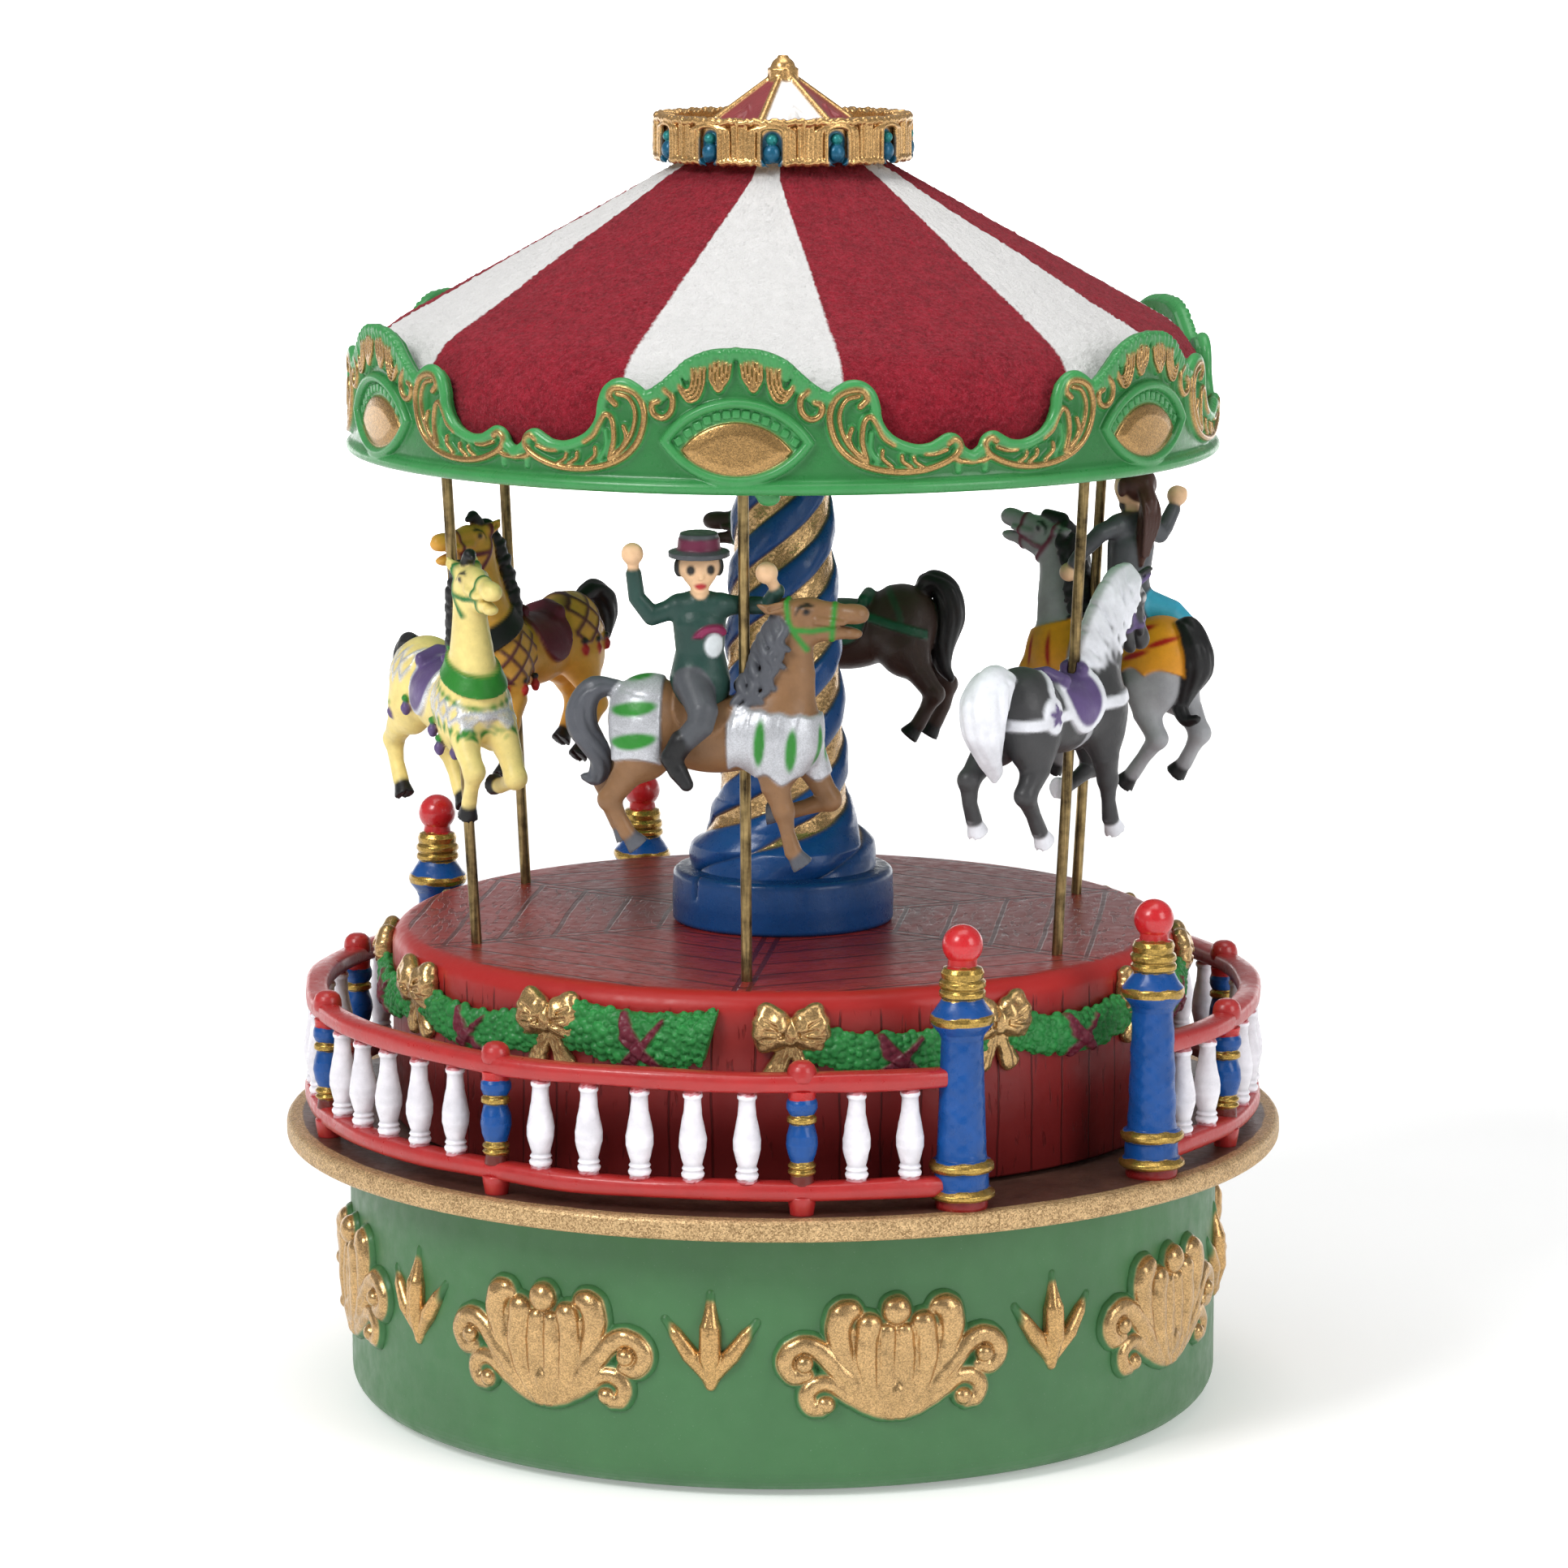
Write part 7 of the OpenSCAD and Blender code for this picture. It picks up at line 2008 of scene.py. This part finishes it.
def column():
    """The round foot, the lobed tier, and the shaft twisted from four blue and four gold bands."""
    outline = [(0, DECK_TOP - 0.02), (FOOT_R - 0.3, DECK_TOP - 0.02), (FOOT_R, DECK_TOP + 0.3),
               (FOOT_R + 0.05, 57), (FOOT_R - 0.05, FOOT_TOP - 0.7)]
    outline += arc(FOOT_R - 0.75, FOOT_TOP - 0.75, 0.7, 5, 90, 6) + [(11.0, FOOT_TOP),
        (10.4, FOOT_TOP + 0.12), (9.4, FOOT_TOP - 0.1), (0, FOOT_TOP - 0.1)]
    line = dense(outline, 0.3)
    steps = 220
    ring = lathe_points(line, steps)
    a = np.tile(np.arange(steps) / steps * TAU, len(line))
    notch_at = math.radians(218)
    r, z = np.repeat(line[:, 0], steps), np.repeat(line[:, 1], steps)
    notch = 0.5 * np.exp(-(((a - notch_at) * FOOT_R / 0.18) ** 2)) * np.clip((z - 57.6) / 0.6, 0,
        1) * (r > 10.6)
    k = (r - notch) / np.maximum(r, 1e-6)
    ring[:, :2] *= k[:, None]
    # Painted shade: the foot is painted darker over its top, at its bottom where it meets the deck, and in
    # the notch.
    painted_shade = np.clip(0.62 + 0.38 * np.clip((FOOT_TOP - z) / 1.2, 0, 1) - 0.3
                      * np.clip((DECK_TOP + 0.6 - z) / 0.6, 0, 1), 0.3, 1) * (1 - 1.2 * notch)
    colours = np.column_stack([np.outer(painted_shade, COLUMN_BLUE), np.zeros(len(z))])
    foot = mesh_piece("column_foot", ring, grid_faces(len(line), steps), M["paint_gloss"], colours)
    tidy(foot)
    finish_piece(foot, "carousel", "column_blue", "column_base")

    rows, steps = 330, 260
    high = VALANCE_LOW + 1.0
    z = np.linspace(FOOT_TOP - 0.15, high, rows)[:, None]
    a = (np.arange(steps) / steps * TAU)[None, :]
    shaft = np.interp(z, [66.5, high], [7.25, 4.75])
    pitch = COLUMN_LEAD / 4
    flare = np.clip((68.5 - z) / 7.0, 0, 1)
    phase = (4 * a / TAU - (z - 69.9) / pitch - 4 * 90 / 360 + 0.35 * flare) % 1.0
    d = np.abs(np.where(phase > 0.5, phase - 1, phase))
    gold_half = 0.215 * np.clip(1 - 1.15 * np.clip((66.2 - z) / 3.2, 0, 1), 0, 1)
    blue = np.clip((d - gold_half) / (0.5 - gold_half), 0, 1)
    lobe = np.sqrt(np.clip(1 - (1 - blue) ** 2.2, 0, 1))
    bulge = lobe * (0.62 + 0.9 * flare * (1 - flare)) * (d > gold_half)
    skirt = np.interp(z, [60.2, 60.6, 61.5, 63.2, 64.4, 65.4, 66.6, 68.5, 72],
                      [10.0, 10.0, 9.95, 9.6, 8.6, 7.9, 7.45, 7.2, 0])
    r = np.maximum(shaft, skirt) + bulge + 0.3 * flare * np.cos(4 * a - 1.1) * np.clip((z - 60.6) / 1.5,
        0, 1)
    r = r + 0.04 * np.sin(7 * a + z * 1.3) + 0.03 * np.sin(13 * a - 2.1 * z)
    grain = np.zeros_like(r)
    is_gold = (d < gold_half) & (z > 63)
    random = np.random.default_rng(3)
    grain[is_gold] = random.normal(0, 0.022, int(is_gold.sum()))
    r = r + grain
    edge = np.clip((d - gold_half) / 0.02, -1, 1)
    gold = np.where(z > 63, 0.5 - 0.5 * edge, 0.0)
    # Painted shade: darker in the crease where each blue lobe meets a gold band, and towards the bottom of
    # the shaft.
    dark = 1 - 0.45 * np.exp(-((d - gold_half) / 0.025) ** 2) - 0.25 * np.clip((62.2 - z) / 1.8, 0,
        1) * 0.6
    paint_c = np.zeros((rows, steps, 4))
    for i in range(3):
        paint_c[..., i] = (COLUMN_BLUE[i] * (1 - gold) + COLUMN_GOLD[i] * gold) * dark
    paint_c[..., 3] = gold
    verts = np.stack([r * np.sin(a), -r * np.cos(a), z + 0 * r], -1).reshape(-1, 3)
    quads = grid_faces(rows, steps)
    base = rows * steps
    verts = np.vstack([verts, [(0, 0, FOOT_TOP - 0.15), (0, 0, high)]])
    caps = [[(j + 1) % steps, j, base] for j in range(steps)] + [[(rows - 1) * steps + j,
        (rows - 1) * steps + (j + 1) % steps, base + 1] for j in range(steps)]
    colours = np.vstack([paint_c.reshape(-1, 4), [(*COLUMN_BLUE, 0)] * 2])
    piece = mesh_piece("column_twist", verts, quads.tolist() + caps, M["paint_gloss"], colours)
    finish_piece(piece, "carousel", "column_blue", "column_shaft")


# ------------------------------------------------------------------ roof and canopy


def roof():
    """Flocking over the roof, with fibre-scale roughness."""
    low_z, crown_foot = 110.6, CROWN_LOW + 0.25
    outer = crown_spline([(47.2, low_z), (47.2, 114.5), (47.15, 117.2), (46.4, 119.4), (44.6, 121.9),
                          (42.4, 123.5), (38, 125.9), (30, 130.4), (20, 135.9), (10.6, crown_foot)], 10)
    line = dense([tuple(p) for p in outer], 0.42)
    steps = 720
    rows = len(line)
    random = np.random.default_rng(8)
    a = np.arange(steps) / steps * TAU
    way = np.gradient(line, axis=0)
    way /= np.linalg.norm(way, axis=1)[:, None]
    normal = np.column_stack([way[:, 1], -way[:, 0]])
    fuzz = random.normal(0, 0.06, (rows, steps)) + 0.07 * np.sin(5 * a)[None,
        :] * np.sin(np.arange(rows) / 9)[:, None]
    r = line[:, 0][:, None] + normal[:, 0][:, None] * fuzz
    z = line[:, 1][:, None] + normal[:, 1][:, None] * fuzz
    verts = np.stack([r * np.cos(a), r * np.sin(a), z], -1).reshape(-1, 3)
    inner = np.array([(10.6, crown_foot - 0.62), (42.2, 122.7), (46.6, 117.5), (46.6, low_z)])
    ring = lathe_points(inner, steps)
    verts = np.vstack([verts, ring])
    piece = mesh_piece("roof_flocking", verts, loop_faces(rows + len(inner), steps), M["flock"])
    finish_piece(piece, "carousel", "roof_red", "roof_felt")


def lug():
    """The small moulding lug under the canopy's edge."""
    c = Carving((-3, 104.5, -3), (3, 111, 3), 0.12, CANOPY_GREEN)
    c.ball((0, 108.1, 0), (1.25, 0.95, 0.9), None)
    c.limb([(0, 109.6, 0, 0.8), (0, 108.6, 0, 0.9)], None, k=0.3)
    c.ball((-0.7, 108.6, 0.3), (0.9, 0.6, 0.6), None, k=0.3)
    finish_piece(copies_of("canopy_lug", c, 46.2, [-1.9 + 180 * k for k in range(2)], M["canopy"]),
                 "carousel", "canopy_green")


# ------------------------------------------------------------------ parts that keep their CAD shape

CAD_LOOKS = {
    "base": ("base_green", ["base_shell"]),
    "black": ("black_plastic", ["base_cover"]),
    "green_cloth": ("foot_felt", ["felt_ring"]),
    "ledge": ("glitter_gold", ["ledge_plate"]),
    "nylon": ("nylon", ["shaft_bush", "idler_pinion", "worm_wheel"]),
    "brass": ("brass", ["comb_block", "tune_cylinder", "great_wheel", "barrel_gear",
                        "cylinder_pinion"]),
    "steel": ("steel", ["cover_screws", "movement_screws", "comb_screws", "winding_arbor",
                        "cylinder_arbor", "idler_arbor",
                        "worm", "drive_shaft", "shaft_nut", "governor_frame", "movement_brackets"]),
    "comb": ("spring_steel", ["comb"]),
    "spring": ("spring_steel", ["mainspring"]),
    "plate": ("steel", ["bedplate"]),
    "zinc": ("steel", ["spring_barrel"]),
    "aluminium": ("aluminium", ["winding_key", "fly_vane", "barrel_lid"]),
    "canopy_plain": ("canopy_green", ["canopy_ceiling"]),
    "white_plastic": ("white_plastic", ["canopy_shell"]),
    "pole": ("pole_brass", ["horse_poles"]),
}


def dress_cad():
    for key, (slot, nodes) in CAD_LOOKS.items():
        for node in nodes:
            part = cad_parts[node]
            part.data.materials.clear()
            part.data.materials.append(M[key])


# ------------------------------------------------------------------ studio

LENS = 137.57
CAMERA_PLACE = (0, -0.67530, 0.18147)
CAMERA_DOWN = 9.391
CAMERA_SHIFT = 0.00063
SKY = 0.30
FLOOR_GLOW = 0.30
BACKDROP_TOP = 0.142
PANELS = {
    "key panel": ((-0.55, -0.60, 0.70), (0, 0, 0.08), (0.36, 0.36), 6.0),
    "fill panel": ((0.65, -0.55, 0.40), (0, 0, 0.07), (0.4, 0.5), 2.6),
    "top panel": ((0, -0.05, 0.85), (0, 0, 0.1), (0.6, 0.5), 2.6),
}


def stage_sheet(name, corners, glow):
    """A sheet of white paper, lit a little from behind so it stays white."""
    sheet = bpy.data.meshes.new(name)
    sheet.from_pydata(corners, [], [(0, 1, 2, 3)])
    piece = bpy.data.objects.new(name, sheet)
    bpy.context.scene.collection.objects.link(piece)
    material, tree, shader = nodes_of(name + " paper")
    link(tree, ramp(tree, noise(tree, 3, 3), [(0.3, (0.90, 0.90, 0.90)), (0.7, (0.92, 0.92, 0.92))]),
         shader.inputs["Base Color"])
    shader.inputs["Roughness"].default_value = 0.9
    shader.inputs["Specular IOR Level"].default_value = 0.1
    shader.inputs["Emission Color"].default_value = (1, 1, 1, 1)
    shader.inputs["Emission Strength"].default_value = glow
    sheet.materials.append(material)


def studio():
    """Paper floor and backdrop, soft lamps, and the camera at the photo's angle."""
    under = -0.0004
    stage_sheet("studio_floor", [(-3, -2, under), (3, -2, under), (3, 0.62, under), (-3, 0.62, under)],
                FLOOR_GLOW)
    stage_sheet("studio_backdrop", [(-3, 0.6, -0.1), (3, 0.6, -0.1), (3, 0.6, BACKDROP_TOP),
                                    (-3, 0.6, BACKDROP_TOP)], 1.0)

    bpy.context.scene.view_settings.view_transform = "Standard"
    world = bpy.data.worlds.new("studio")
    bpy.context.scene.world = world
    world.use_nodes = True
    sky = world.node_tree.nodes["Background"]
    sky.inputs["Color"].default_value = (1.0, 1.0, 1.0, 1)
    sky.inputs["Strength"].default_value = SKY

    def panel(name, place, aim, size, power):
        lamp = bpy.data.lights.new(name, "AREA")
        lamp.shape = "RECTANGLE"
        lamp.size, lamp.size_y = size
        lamp.energy = power
        holder = bpy.data.objects.new(name, lamp)
        bpy.context.scene.collection.objects.link(holder)
        holder.location = place
        holder.rotation_euler = (Vector(aim) - Vector(place)).to_track_quat("-Z", "Y").to_euler()

    for name, (place, aim, size, power) in PANELS.items():
        panel(name, place, aim, size, power)

    lens = bpy.data.cameras.new("camera")
    lens.lens = LENS
    lens.sensor_width = 36
    lens.shift_x = CAMERA_SHIFT
    lens.clip_start = 0.01
    holder = bpy.data.objects.new("camera", lens)
    holder.location = CAMERA_PLACE
    holder.rotation_euler = (math.radians(90 - CAMERA_DOWN), 0, 0)
    bpy.context.scene.collection.objects.link(holder)
    bpy.context.scene.camera = holder


# ---- BUILD ----

figures()
valance()
crown()
cupola()
palmettes()
sprigs()
fence()
deck()
garland()
column()
roof()
lug()
dress_cad()
studio()
